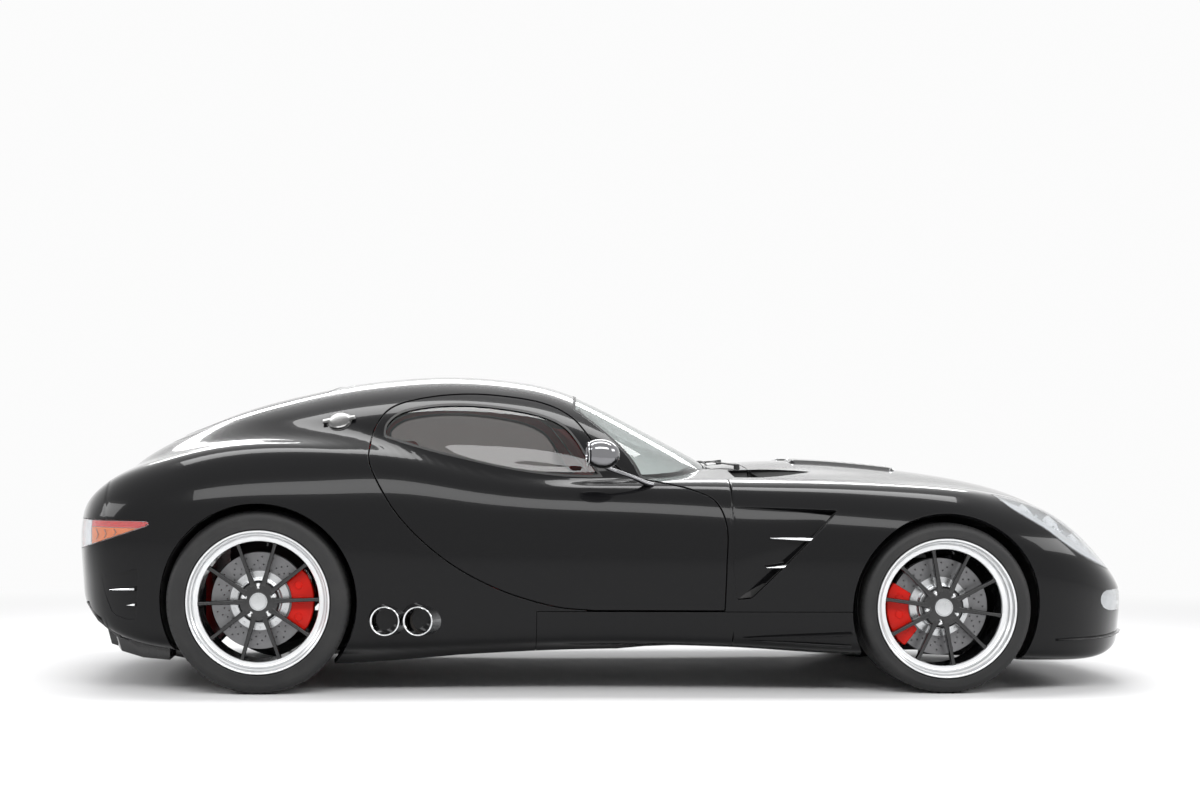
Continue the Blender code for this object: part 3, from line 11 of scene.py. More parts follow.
import logging
import math
from dataclasses import dataclass, field
from enum import Enum
from typing import Callable, Iterable, NamedTuple, Sequence

import bmesh
import bpy
import numpy as np
from mathutils import Matrix, Vector


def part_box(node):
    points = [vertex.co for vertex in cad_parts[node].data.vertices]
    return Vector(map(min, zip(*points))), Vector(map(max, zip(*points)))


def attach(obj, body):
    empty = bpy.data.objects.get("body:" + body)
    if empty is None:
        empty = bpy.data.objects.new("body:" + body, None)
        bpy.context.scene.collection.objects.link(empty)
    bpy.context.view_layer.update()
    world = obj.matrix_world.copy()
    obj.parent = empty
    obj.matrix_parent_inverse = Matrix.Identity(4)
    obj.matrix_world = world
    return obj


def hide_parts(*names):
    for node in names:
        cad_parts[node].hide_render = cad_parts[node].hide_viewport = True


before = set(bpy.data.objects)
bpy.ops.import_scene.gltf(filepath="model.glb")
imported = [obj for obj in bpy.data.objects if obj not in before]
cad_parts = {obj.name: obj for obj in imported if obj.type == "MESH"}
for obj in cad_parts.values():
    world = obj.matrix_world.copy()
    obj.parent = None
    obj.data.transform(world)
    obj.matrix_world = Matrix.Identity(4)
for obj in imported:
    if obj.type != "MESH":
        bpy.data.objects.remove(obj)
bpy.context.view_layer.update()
UPPER_POINTS, LOWER_POINTS = 64, 150
LEAST_AREA = 1e-12
log = logging.getLogger("coupe")

Point = Sequence[float]
Field = Callable[[np.ndarray], np.ndarray]


# ------------------------------------------------------------------------------ tables of the body
class HullSection(NamedTuple):
    """One cross-section of the hull; heights on the centre line and half widths, in metres."""

    x: float
    top: float
    crest_y: float
    crest_z: float
    wide_y: float
    wide_z: float
    low_y: float
    low_z: float
    base: float
    dip: float


class CanopySection(NamedTuple):
    """One cross-section of the canopy: roof height and the half width at its foot."""

    x: float
    roof: float
    half: float


HULL_TABLE = tuple(HullSection(*row) for row in (
    (-2.155, 0.585, 0.060, 0.575, 0.080, 0.530, 0.060, 0.490, 0.480, 0.0),
    (-2.145, 0.655, 0.220, 0.640, 0.270, 0.550, 0.220, 0.450, 0.430, 0.0),
    (-2.115, 0.735, 0.450, 0.715, 0.560, 0.560, 0.480, 0.410, 0.360, 0.0),
    (-2.060, 0.795, 0.600, 0.770, 0.745, 0.570, 0.660, 0.370, 0.280, 0.0),
    (-1.960, 0.865, 0.680, 0.840, 0.835, 0.580, 0.760, 0.340, 0.200, 0.0),
    (-1.800, 0.925, 0.735, 0.900, 0.890, 0.585, 0.830, 0.320, 0.150, 0.0),
    (-1.600, 0.945, 0.765, 0.955, 0.930, 0.580, 0.870, 0.310, 0.130, 0.0),
    (-1.375, 0.950, 0.780, 0.982, 0.950, 0.570, 0.895, 0.300, 0.125, 0.0),
    (-1.120, 0.940, 0.785, 0.978, 0.935, 0.550, 0.880, 0.300, 0.125, 0.0),
    (-0.850, 0.910, 0.790, 0.944, 0.900, 0.520, 0.850, 0.300, 0.130, 0.0),
    (-0.550, 0.855, 0.790, 0.872, 0.875, 0.500, 0.830, 0.290, 0.146, 0.0),
    (-0.250, 0.820, 0.790, 0.832, 0.867, 0.500, 0.825, 0.285, 0.160, 0.0),
    (0.050, 0.820, 0.790, 0.826, 0.873, 0.500, 0.832, 0.280, 0.165, 0.0),
    (0.350, 0.865, 0.785, 0.825, 0.884, 0.500, 0.842, 0.280, 0.160, 0.0),
    (0.600, 0.896, 0.775, 0.823, 0.893, 0.500, 0.848, 0.270, 0.148, 0.015),
    (0.900, 0.900, 0.760, 0.820, 0.902, 0.500, 0.852, 0.260, 0.128, 0.025),
    (1.283, 0.862, 0.735, 0.804, 0.908, 0.490, 0.852, 0.260, 0.112, 0.030),
    (1.500, 0.828, 0.705, 0.776, 0.888, 0.470, 0.832, 0.255, 0.104, 0.025),
    (1.700, 0.776, 0.655, 0.726, 0.838, 0.440, 0.792, 0.245, 0.098, 0.020),
    (1.860, 0.690, 0.590, 0.632, 0.762, 0.410, 0.722, 0.230, 0.096, 0.010),
    (1.980, 0.590, 0.505, 0.528, 0.660, 0.375, 0.622, 0.215, 0.110, 0.0),
    (2.070, 0.490, 0.395, 0.446, 0.525, 0.345, 0.482, 0.210, 0.150, 0.0),
    (2.125, 0.415, 0.265, 0.390, 0.355, 0.325, 0.322, 0.230, 0.198, 0.0),
    (2.150, 0.360, 0.110, 0.345, 0.160, 0.310, 0.142, 0.265, 0.250, 0.0),
    (2.155, 0.325, 0.040, 0.320, 0.060, 0.305, 0.052, 0.290, 0.285, 0.0),
))
CANOPY_TABLE = tuple(CanopySection(*row) for row in (
    (-2.030, 0.800, 0.150), (-1.925, 0.900, 0.360), (-1.832, 0.962, 0.455), (-1.739, 1.010, 0.520),
    (-1.627, 1.062, 0.575), (-1.496, 1.112, 0.625), (-1.366, 1.151, 0.665), (-1.227, 1.184, 0.700),
    (-1.050, 1.220, 0.730), (-0.837, 1.246, 0.755), (-0.601, 1.257, 0.765), (-0.366, 1.240, 0.760),
    (-0.210, 1.212, 0.750), (-0.060, 1.156, 0.732), (0.154, 1.047, 0.680), (0.362, 0.938, 0.520),
    (0.456, 0.884, 0.360), (0.520, 0.840, 0.200),
))
CANOPY_FOOT = 0.70
CANOPY_POWER = 2.8

# Outlines on the left side: a point with True is a corner. Side views are (x, z), plans (x, y).
DOOR_LINE = (
    (0.424, 0.322, True), (0.428, 0.500, False), (0.430, 0.640, False), (0.392, 0.740, False), (0.300, 0.787, False),
    (0.180, 0.815, False), (0.064, 0.836, True), (-0.051, 0.952, False), (-0.142, 1.069, False),
    (-0.250, 1.128, False), (-0.400, 1.157, False), (-0.560, 1.167, False), (-0.720, 1.153, False),
    (-0.850, 1.117, False), (-0.915, 1.052, False), (-0.943, 0.965, False), (-0.936, 0.868, False),
    (-0.829, 0.685, False), (-0.656, 0.522, False), (-0.454, 0.408, False), (-0.240, 0.340, False),
    (-0.080, 0.322, True),
)
WINDOW_LINE = (
    (-0.032, 0.836, True), (-0.082, 0.900, False), (-0.128, 0.981, False), (-0.183, 1.044, False),
    (-0.280, 1.087, False), (-0.420, 1.114, False), (-0.568, 1.127, False), (-0.700, 1.122, False),
    (-0.820, 1.098, False), (-0.882, 1.050, False), (-0.894, 0.995, True), (-0.733, 0.945, False),
    (-0.591, 0.910, False), (-0.401, 0.868, False), (-0.212, 0.842, False),
)
BONNET_LINE = (
    (1.905, 0.000, False), (1.880, 0.120, False), (1.800, 0.290, False), (1.620, 0.450, False), (1.300, 0.585, False),
    (0.900, 0.645, False), (0.620, 0.660, True), (0.585, 0.400, False), (0.580, 0.000, False),
)
TAILGATE_LINE = (
    (-1.010, 0.000, False), (-1.020, 0.250, False), (-1.080, 0.400, True), (-1.400, 0.400, False),
    (-1.630, 0.345, False), (-1.755, 0.250, False), (-1.800, 0.120, False), (-1.806, 0.000, False),
)
REAR_PANE_LINE = (
    (-1.075, 0.000, False), (-1.085, 0.220, False), (-1.125, 0.350, True), (-1.400, 0.345, False),
    (-1.600, 0.292, False), (-1.705, 0.210, False), (-1.742, 0.105, False), (-1.748, 0.000, False),
)
SCREEN_LINE = (
    (0.510, 0.000, False), (0.485, 0.220, False), (0.415, 0.440, False), (0.290, 0.620, False), (0.175, 0.708, True),
    (0.000, 0.618, False), (-0.135, 0.530, True), (-0.112, 0.270, False), (-0.106, 0.000, False),
)
HEADLAMP_LINE = (
    (1.500, 0.672, True), (1.600, 0.735, False), (1.720, 0.748, False), (1.830, 0.712, False), (1.930, 0.640, False),
    (2.005, 0.545, True), (1.960, 0.490, False), (1.850, 0.500, False), (1.720, 0.560, False), (1.600, 0.625, False),
)
HEADLAMP_INNER = (
    (1.400, 0.700), (1.500, 0.668), (1.600, 0.622), (1.720, 0.560), (1.850, 0.500), (1.960, 0.462), (2.060, 0.430),
    (2.200, 0.400),
)
HEADLAMP_OUTER = (
    (1.400, 0.800), (1.510, 0.765), (1.543, 0.727), (1.619, 0.674), (1.695, 0.627), (1.758, 0.580), (1.827, 0.537),
    (1.952, 0.485), (2.016, 0.466), (2.100, 0.448), (2.200, 0.430),
)
TAIL_LAMP_LINE = (
    (-1.790, 0.668, True), (-1.797, 0.650, True), (-2.090, 0.556, True), (-2.300, 0.548, True), (-2.300, 0.672, True),
    (-2.090, 0.672, True),
)
SIDE_VENT_LINE = (
    (0.447, 0.722, True), (0.660, 0.716, False), (0.862, 0.708, True), (0.690, 0.530, False), (0.528, 0.368, True),
    (0.470, 0.362, True), (0.452, 0.540, False),
)
GILL_LINE = (
    (-1.992, 0.452, True), (-1.915, 0.463, False), (-1.838, 0.487, True), (-1.846, 0.385, False),
    (-1.853, 0.283, True), (-1.900, 0.287, False), (-1.948, 0.303, True), (-1.975, 0.370, False),
)
INDICATOR_LINE = (
    (2.300, 0.390, True), (1.965, 0.388, True), (1.940, 0.376, False), (1.932, 0.352, False), (1.946, 0.325, False),
    (1.985, 0.308, False), (2.050, 0.303, False), (2.300, 0.302, True),
)
OUTLET_LINE = (
    (0.500, 0.440, True), (0.500, 0.640, True), (0.640, 0.615, False), (0.835, 0.475, True), (0.660, 0.440, False),
)
SILL_TOP = 0.316
BODY_SPLIT_X = -0.300
SHUT = 0.0044


# ------------------------------------------------------------------------------ curves and outlines
def natural_spline(values: Sequence[float], places: np.ndarray) -> np.ndarray:
    """A natural cubic spline through values that stand at 0, 1, 2 and so on.

    Args:
        values: The values that the curve passes through.
        places: Where the curve is wanted, as positions in the list of values.

    Returns:
        The value at each place.
    """
    values = np.asarray(values, float)
    count = len(values)
    matrix = np.eye(count)
    right = np.zeros(count)
    for i in range(1, count - 1):
        matrix[i, i - 1:i + 2] = (1.0, 4.0, 1.0)
        right[i] = 6.0 * (values[i + 1] - 2.0 * values[i] + values[i - 1])
    bend = np.linalg.solve(matrix, right)
    i = np.clip(np.floor(places).astype(int), 0, count - 2)
    b = places - i
    a = 1.0 - b
    return a * values[i] + b * values[i + 1] + ((a**3 - a) * bend[i] + (b**3 - b) * bend[i + 1]) / 6.0


def smooth_curve(table: Sequence[Point], places: np.ndarray) -> np.ndarray:
    """A smooth curve through (place, value) pairs, straight beyond its ends.

    Args:
        table: The pairs, in rising order of place.
        places: Where the curve is wanted.

    Returns:
        The value at each place.
    """
    at, value = np.array(table, float).T
    slope = np.gradient(value, at)
    i = np.clip(np.searchsorted(at, places) - 1, 0, len(at) - 2)
    step = at[i + 1] - at[i]
    t = np.clip((places - at[i]) / step, 0.0, 1.0)
    return (value[i] * (1 + 2 * t) * (1 - t) ** 2 + slope[i] * step * t * (1 - t) ** 2
            + value[i + 1] * t * t * (3 - 2 * t) + slope[i + 1] * step * t * t * (t - 1))


def spline_weights(controls: int, samples: int) -> np.ndarray:
    """Weights of a clamped cubic B-spline.

    Args:
        controls: How many control points the curve has.
        samples: How many evenly spaced points are wanted on it.

    Returns:
        One row of weights for each sample.
    """
    inner = controls - 3
    knots = [0.0] * 3 + [float(i) for i in range(inner + 1)] + [float(inner)] * 3
    rows = []
    for k in range(samples):
        t = min(inner * k / (samples - 1), inner - 1e-9)
        weights = [1.0 if knots[i] <= t < knots[i + 1] else 0.0 for i in range(len(knots) - 1)]
        for d in range(1, 4):
            raised = []
            for i in range(len(weights) - 1):
                left, right = knots[i + d] - knots[i], knots[i + d + 1] - knots[i + 1]
                value = (t - knots[i]) / left * weights[i] if left > 0 else 0.0
                if right > 0:
                    value += (knots[i + d + 1] - t) / right * weights[i + 1]
                raised.append(value)
            weights = raised
        rows.append(weights)
    return np.array(rows)


def faired(values: np.ndarray, step: float, spread: float) -> np.ndarray:
    """Evenly spaced values with their small ripples taken out.

    Args:
        values: The values, one column for each curve.
        step: Distance between neighbouring rows.
        spread: How far the smoothing reaches.

    Returns:
        The smoothed values; the two ends keep theirs.
    """
    reach = int(3 * spread / step)
    weights = np.exp(-0.5 * (np.arange(-reach, reach + 1) * step / spread) ** 2)
    weights /= weights.sum()
    count = len(values)
    padded = np.concatenate([2 * values[0] - values[reach:0:-1], values, 2 * values[-1] - values[-2:-reach - 2:-1]])
    smooth = np.stack([np.convolve(column, weights, "valid") for column in padded.T], 1)
    place = np.arange(count) * step
    ends = np.clip(np.minimum(place, place[-1] - place) / (4 * spread), 0.0, 1.0)[:, None]
    return values * (1 - ends) + smooth * ends


def drawn_line(points: Sequence[tuple[float, float, bool]], closed: bool = True, spans: int = 12) -> np.ndarray:
    """A smooth line through drawn points, straight only into and out of corners.

    Args:
        points: The points, each with whether it is a corner.
        closed: Whether the line returns to its start.
        spans: How many pieces each stretch between two points is cut into.

    Returns:
        The line's points, one row each.
    """
    places = np.array([p[:2] for p in points])
    count = len(points)
    line = []
    for i in range(count if closed else count - 1):
        j = (i + 1) % count
        before = places[i - 1] if closed or i else places[i]
        after = places[(i + 2) % count] if closed or i + 2 < count else places[j]
        run = places[j] - places[i]
        start = run if points[i][2] else (places[j] - before) * 0.5
        end = run if points[j][2] else (after - places[i]) * 0.5
        for k in range(spans):
            s = k / spans
            line.append(places[i] * (2 * s**3 - 3 * s**2 + 1) + start * (s**3 - 2 * s**2 + s)
                        + places[j] * (3 * s**2 - 2 * s**3) + end * (s**3 - s**2))
    if not closed:
        line.append(places[-1])
    return np.array(line)


def both_halves(points: Sequence[tuple[float, float, bool]]) -> np.ndarray:
    """A closed plan from its left half, which starts and ends on the centre line."""
    return drawn_line([*points, *((x, -y, c) for x, y, c in points[-2:0:-1])])


class Outline:
    """A closed line in a side view or a plan, which trims the skin."""

    def __init__(self, line: np.ndarray, axes: tuple[int, int]) -> None:
        """Keeps the line and the two axes in which it is drawn.

        Args:
            line: The line's points.
            axes: The axes of the car that the line's two columns stand for.
        """
        self.line = line
        self.axes = axes

    def distance(self, points: np.ndarray) -> np.ndarray:
        """Signed distance from each point to the line, negative inside it."""
        flat = points[:, self.axes]
        low, high = self.line.min(0) - 0.15, self.line.max(0) + 0.15
        near = np.all((flat > low) & (flat < high), 1)
        result = np.full(len(flat), 0.15)
        start = self.line
        run = np.roll(start, -1, 0) - start
        length = np.maximum((run**2).sum(1), 1e-12)
        indices = np.nonzero(near)[0]
        for chunk in np.array_split(indices, max(1, len(indices) // 4000)):
            p = flat[chunk][:, None, :] - start[None]
            share = np.clip((p * run).sum(2) / length, 0.0, 1.0)
            gap = np.sqrt(((p - share[..., None] * run) ** 2).sum(2).min(1))
            ahead = start[:, 1] > flat[chunk][:, None, 1]
            ahead_next = np.roll(start[:, 1], -1) > flat[chunk][:, None, 1]
            with np.errstate(divide="ignore", invalid="ignore"):
                cross = start[:, 0] + (flat[chunk][:, None, 1] - start[:, 1]) * run[:, 0] / run[:, 1]
            hits = (ahead != ahead_next) & (flat[chunk][:, None, 0] < cross)
            result[chunk] = np.where(hits.sum(1) % 2 == 1, -gap, gap)
        return result


# ------------------------------------------------------------------------------ the skin
class Hull:
    """The body below the shoulder line, as sections and as a distance."""

    step = 0.005

    def __init__(self) -> None:
        """Fairs the table and works out the hull's radius round its middle at every station."""
        columns = np.array(HULL_TABLE).T
        places = np.linspace(0, len(HULL_TABLE) - 1, 4000)
        dense = [natural_spline(column, places) for column in columns]
        self.first, self.last = columns[0][0], columns[0][-1]
        self.x = np.arange(self.first, self.last + 1e-9, self.step)
        self.rows = faired(np.stack([np.interp(self.x, dense[0], c) for c in dense[1:]], 1), self.step, 0.035)
        self.weights = spline_weights(11, 161)
        self.middle = 0.5 * (self.rows[:, 0] + self.rows[:, 7])
        sections = self.sections(self.x)
        self.turns = np.linspace(-math.pi / 2, math.pi / 2, 241)
        table = []
        for section, middle in zip(sections, self.middle):
            turn = np.arctan2(section[:, 1] - middle, section[:, 0])
            table.append(np.interp(self.turns, turn[::-1], np.hypot(section[:, 0], section[:, 1] - middle)[::-1]))
        self.radius = np.array(table)

    def sections(self, stations: np.ndarray) -> np.ndarray:
        """Left half sections at the stations, from the top centre to the bottom centre."""
        top, crest_y, crest_z, wide_y, wide_z, low_y, low_z, base, dip = (
            np.interp(stations, self.x, c) for c in self.rows.T)
        zero = np.zeros_like(top)
        controls = np.stack([
            np.stack([zero, top], 1),
            np.stack([0.35 * crest_y, top], 1),
            np.stack([0.70 * crest_y, 0.5 * (top + crest_z) - dip], 1),
            np.stack([0.93 * crest_y, crest_z], 1),
            np.stack([crest_y + 0.30 * (wide_y - crest_y), crest_z - 0.08 * (crest_z - wide_z)], 1),
            np.stack([crest_y + 0.92 * (wide_y - crest_y), wide_z + 0.52 * (crest_z - wide_z)], 1),
            np.stack([wide_y, wide_z], 1),
            np.stack([low_y + 0.25 * (wide_y - low_y), low_z + 0.20 * (wide_z - low_z)], 1),
            np.stack([low_y, base + 0.30 * (low_z - base)], 1),
            np.stack([0.95 * low_y, base], 1),
            np.stack([zero, base], 1),
        ], 1)
        return self.weights @ controls

    def measure(self, points: np.ndarray) -> np.ndarray:
        """How far each point lies beyond the hull's radius, negative inside."""
        x = np.clip((points[:, 0] - self.first) / self.step, 0, len(self.x) - 1.001)
        i = x.astype(int)
        s = x - i
        middle = self.middle[i] * (1 - s) + self.middle[i + 1] * s
        y, z = np.abs(points[:, 1]), points[:, 2] - middle
        turn = (np.arctan2(z, y) + math.pi / 2) / math.pi * 240
        j = np.clip(turn.astype(int), 0, 239)
        t = turn - j
        r = self.radius
        edge = ((r[i, j] * (1 - t) + r[i, j + 1] * t) * (1 - s)
                + (r[i + 1, j] * (1 - t) + r[i + 1, j + 1] * t) * s)
        return np.hypot(y, z) - edge


class Canopy:
    """The roof, pillars and fastback, as sections and as a distance."""

    step = 0.005

    def __init__(self) -> None:
        """Fairs the table of roof heights and half widths."""
        columns = np.array(CANOPY_TABLE).T
        places = np.linspace(0, len(CANOPY_TABLE) - 1, 3000)
        dense = [natural_spline(column, places) for column in columns]
        self.x = np.arange(columns[0][0], columns[0][-1] + 1e-9, self.step)
        self.rows = faired(np.stack([np.interp(self.x, dense[0], c) for c in dense[1:]], 1), self.step, 0.04)

    def sections(self, stations: np.ndarray, samples: int = 121) -> np.ndarray:
        """Left half sections at the stations, from the roof down to the foot."""
        roof, half = (np.interp(stations, self.x, c)[:, None] for c in self.rows.T)
        turn = np.linspace(0, math.pi / 2, samples)[None]
        across = np.sin(turn) ** (2 / CANOPY_POWER)
        rise = np.clip(np.cos(turn), 0, 1) ** (2 / CANOPY_POWER)
        return np.stack([half * across, CANOPY_FOOT + (roof - CANOPY_FOOT) * rise], 2)

    def measure(self, points: np.ndarray) -> np.ndarray:
        """How far each point lies beyond the canopy, negative inside."""
        roof, half = (np.interp(points[:, 0], self.x, c) for c in self.rows.T)
        across = np.abs(points[:, 1]) / half
        rise = np.maximum(points[:, 2] - CANOPY_FOOT, 0.0) / (roof - CANOPY_FOOT)
        share = (across**CANOPY_POWER + rise**CANOPY_POWER) ** (1 / CANOPY_POWER)
        return (share - 1.0) * half


def grid_faces(points: np.ndarray, columns: int) -> np.ndarray:
    """The triangles between rows of points, without those that have no area.

    Args:
        points: The points, row after row.
        columns: How many points a row has.

    Returns:
        The three points of each triangle, by number.
    """
    index = np.arange(len(points)).reshape(-1, columns)
    a, b, c, d = index[:-1, :-1].ravel(), index[1:, :-1].ravel(), index[1:, 1:].ravel(), index[:-1, 1:].ravel()
    faces = np.vstack([np.stack([a, b, c], 1), np.stack([a, c, d], 1)])
    corners = points[faces]
    size = np.linalg.norm(np.cross(corners[:, 1] - corners[:, 0], corners[:, 2] - corners[:, 0]), axis=1)
    return faces[size > LEAST_AREA]


class Skin:
    """The whole outer surface: hull and canopy, with a soft valley between them."""

    def __init__(self) -> None:
        """Makes the two forms and the left half of the skin."""
        self.hull = Hull()
        self.canopy = Canopy()
        self.upper, self.lower = self.halves()

    @staticmethod
    def valley(x: np.ndarray) -> np.ndarray:
        """Reach of the soft valley between the two forms at each station."""
        return np.interp(x, (-2.02, -1.90, -1.60, -1.00, -0.60, 0.02, 0.14, 0.30),
                         (0.004, 0.05, 0.110, 0.100, 0.060, 0.045, 0.012, 0.004))

    def distance(self, points: np.ndarray) -> tuple[np.ndarray, np.ndarray]:
        """Signed distance to the skin and the direction straight out of it.

        Args:
            points: Where it is wanted, one row each.

        Returns:
            The distances and the unit directions.
        """
        parts = []
        for form in (self.hull, self.canopy):
            here = form.measure(points)
            slope = np.stack([(form.measure(points + step) - form.measure(points - step)) / 0.002
                              for step in np.eye(3) * 0.001], 1)
            size = np.maximum(np.linalg.norm(slope, axis=1), 1e-6)
            parts.append((here / size, slope / size[:, None]))
        (hull, hull_out), (canopy, canopy_out) = parts
        outside = (points[:, 0] < self.canopy.x[0] + 0.02) | (points[:, 0] > self.canopy.x[-1] - 0.02)
        canopy = np.where(outside, 1.0, canopy)
        reach = self.valley(points[:, 0])
        share = np.clip(0.5 + 0.5 * (canopy - hull) / reach, 0.0, 1.0)
        mixed = canopy * (1 - share) + hull * share - reach * share * (1 - share)
        out = canopy_out * (1 - share[:, None]) + hull_out * share[:, None]
        return mixed, out / np.maximum(np.linalg.norm(out, axis=1), 1e-9)[:, None]

    def stations(self) -> np.ndarray:
        """Stations of the skin's rows, closer where it turns quickly."""
        density = lambda x: np.interp(x, (-2.155, -2.14, -2.08, -1.95, -1.7, 0.1, 0.30, 0.42, 0.52, 1.75, 1.95, 2.1,
                                          2.15, 2.155),
                                      (900, 500, 160, 100, 75, 75, 90, 260, 80, 75, 110, 200, 600, 900))
        fine = np.linspace(self.hull.first, self.hull.last, 20000)
        count = np.concatenate([[0], np.cumsum(density(fine[:-1]) * np.diff(fine))])
        return np.interp(np.linspace(0, count[-1], int(count[-1])), count, fine)

    def halves(self) -> tuple[Sheet, Sheet]:
        """The left half of the skin, above and below the line where canopy meets hull."""
        stations = self.stations()
        hull, canopy = self.hull.sections(stations), self.canopy.sections(stations)
        upper, lower, upper_rows = [], [], []
        for k, x in enumerate(stations):
            low, high = hull[k], canopy[k]
            start = 0
            if self.canopy.x[0] + 0.03 < x < self.canopy.x[-1] - 0.03:
                widest = int(np.argmax(low[:, 0]))
                over = high[:, 1] - np.interp(high[:, 0], low[:widest, 0], low[:widest, 1])
                if over[0] > 0 and np.any(over < 0):
                    i = int(np.argmax(over < 0))
                    s = over[i - 1] / (over[i - 1] - over[i])
                    meet = high[i - 1] * (1 - s) + high[i] * s
                    upper.append(self.spaced(np.vstack([high[:i], meet]), UPPER_POINTS, x))
                    upper_rows.append(k)
                    start = int(np.searchsorted(low[:widest, 0], meet[0]))
                    low = np.vstack([meet, low[start:]])
            lower.append(self.spaced(low, LOWER_POINTS, x))
        for end, k in ((len(upper), upper_rows[-1] + 1), (0, upper_rows[0] - 1)):
            tip = np.array([stations[k], 0.0, hull[k][0, 1]])
            upper.insert(end, np.tile(tip, (UPPER_POINTS, 1)))
        return self.settled(np.array(upper)), self.capped(self.settled(np.array(lower)))

    @staticmethod
    def capped(sheet: Sheet, rings: int = 6, count: int = LOWER_POINTS) -> Sheet:
        """The lower half with the small flat at its rear end closed by rings of points.

        Args:
            sheet: The lower half.
            rings: How many rings are added inside its first row.
            count: Points in a row.

        Returns:
            The closed half.
        """
        edge = sheet.points[:count]
        middle = np.array([edge[0, 0], 0.0, (edge[:, 2].min() + edge[:, 2].max()) / 2])
        extra = np.vstack([middle + (edge - middle) * share for share in np.linspace(0, 1, rings, endpoint=False)])
        points = np.vstack([extra, sheet.points])
        normals = np.vstack([np.tile((-1.0, 0.0, 0.0), (len(extra), 1)), sheet.normals])
        return Sheet(points, normals, grid_faces(points, count)).turned_out()

    @staticmethod
    def spaced(line: np.ndarray, count: int, x: float) -> np.ndarray:
        """Evenly spaced points along a section, as points of the car."""
        run = np.concatenate([[0], np.cumsum(np.linalg.norm(np.diff(line, axis=0), axis=1))])
        places = np.linspace(0, run[-1], count)
        return np.stack([np.full(count, x), np.interp(places, run, line[:, 0]), np.interp(places, run, line[:, 1])],
                        1)

    def settled(self, rows: np.ndarray) -> Sheet:
        """A sheet of rows of points, brought onto the skin.

        Args:
            rows: The points, by row and by place in the row.

        Returns:
            The sheet, its faces turned outward.
        """
        points = rows.reshape(-1, 3).copy()
        middle = np.abs(points[:, 1]) < 1e-7
        for _ in range(6):
            gap, out = self.distance(points)
            out[middle, 1] = 0.0
            points -= np.clip(gap, -0.03, 0.03)[:, None] * out
            points[:, 0] = np.clip(points[:, 0], self.hull.first, self.hull.last)
        return Sheet(points, self.distance(points)[1], grid_faces(points, rows.shape[1])).turned_out()


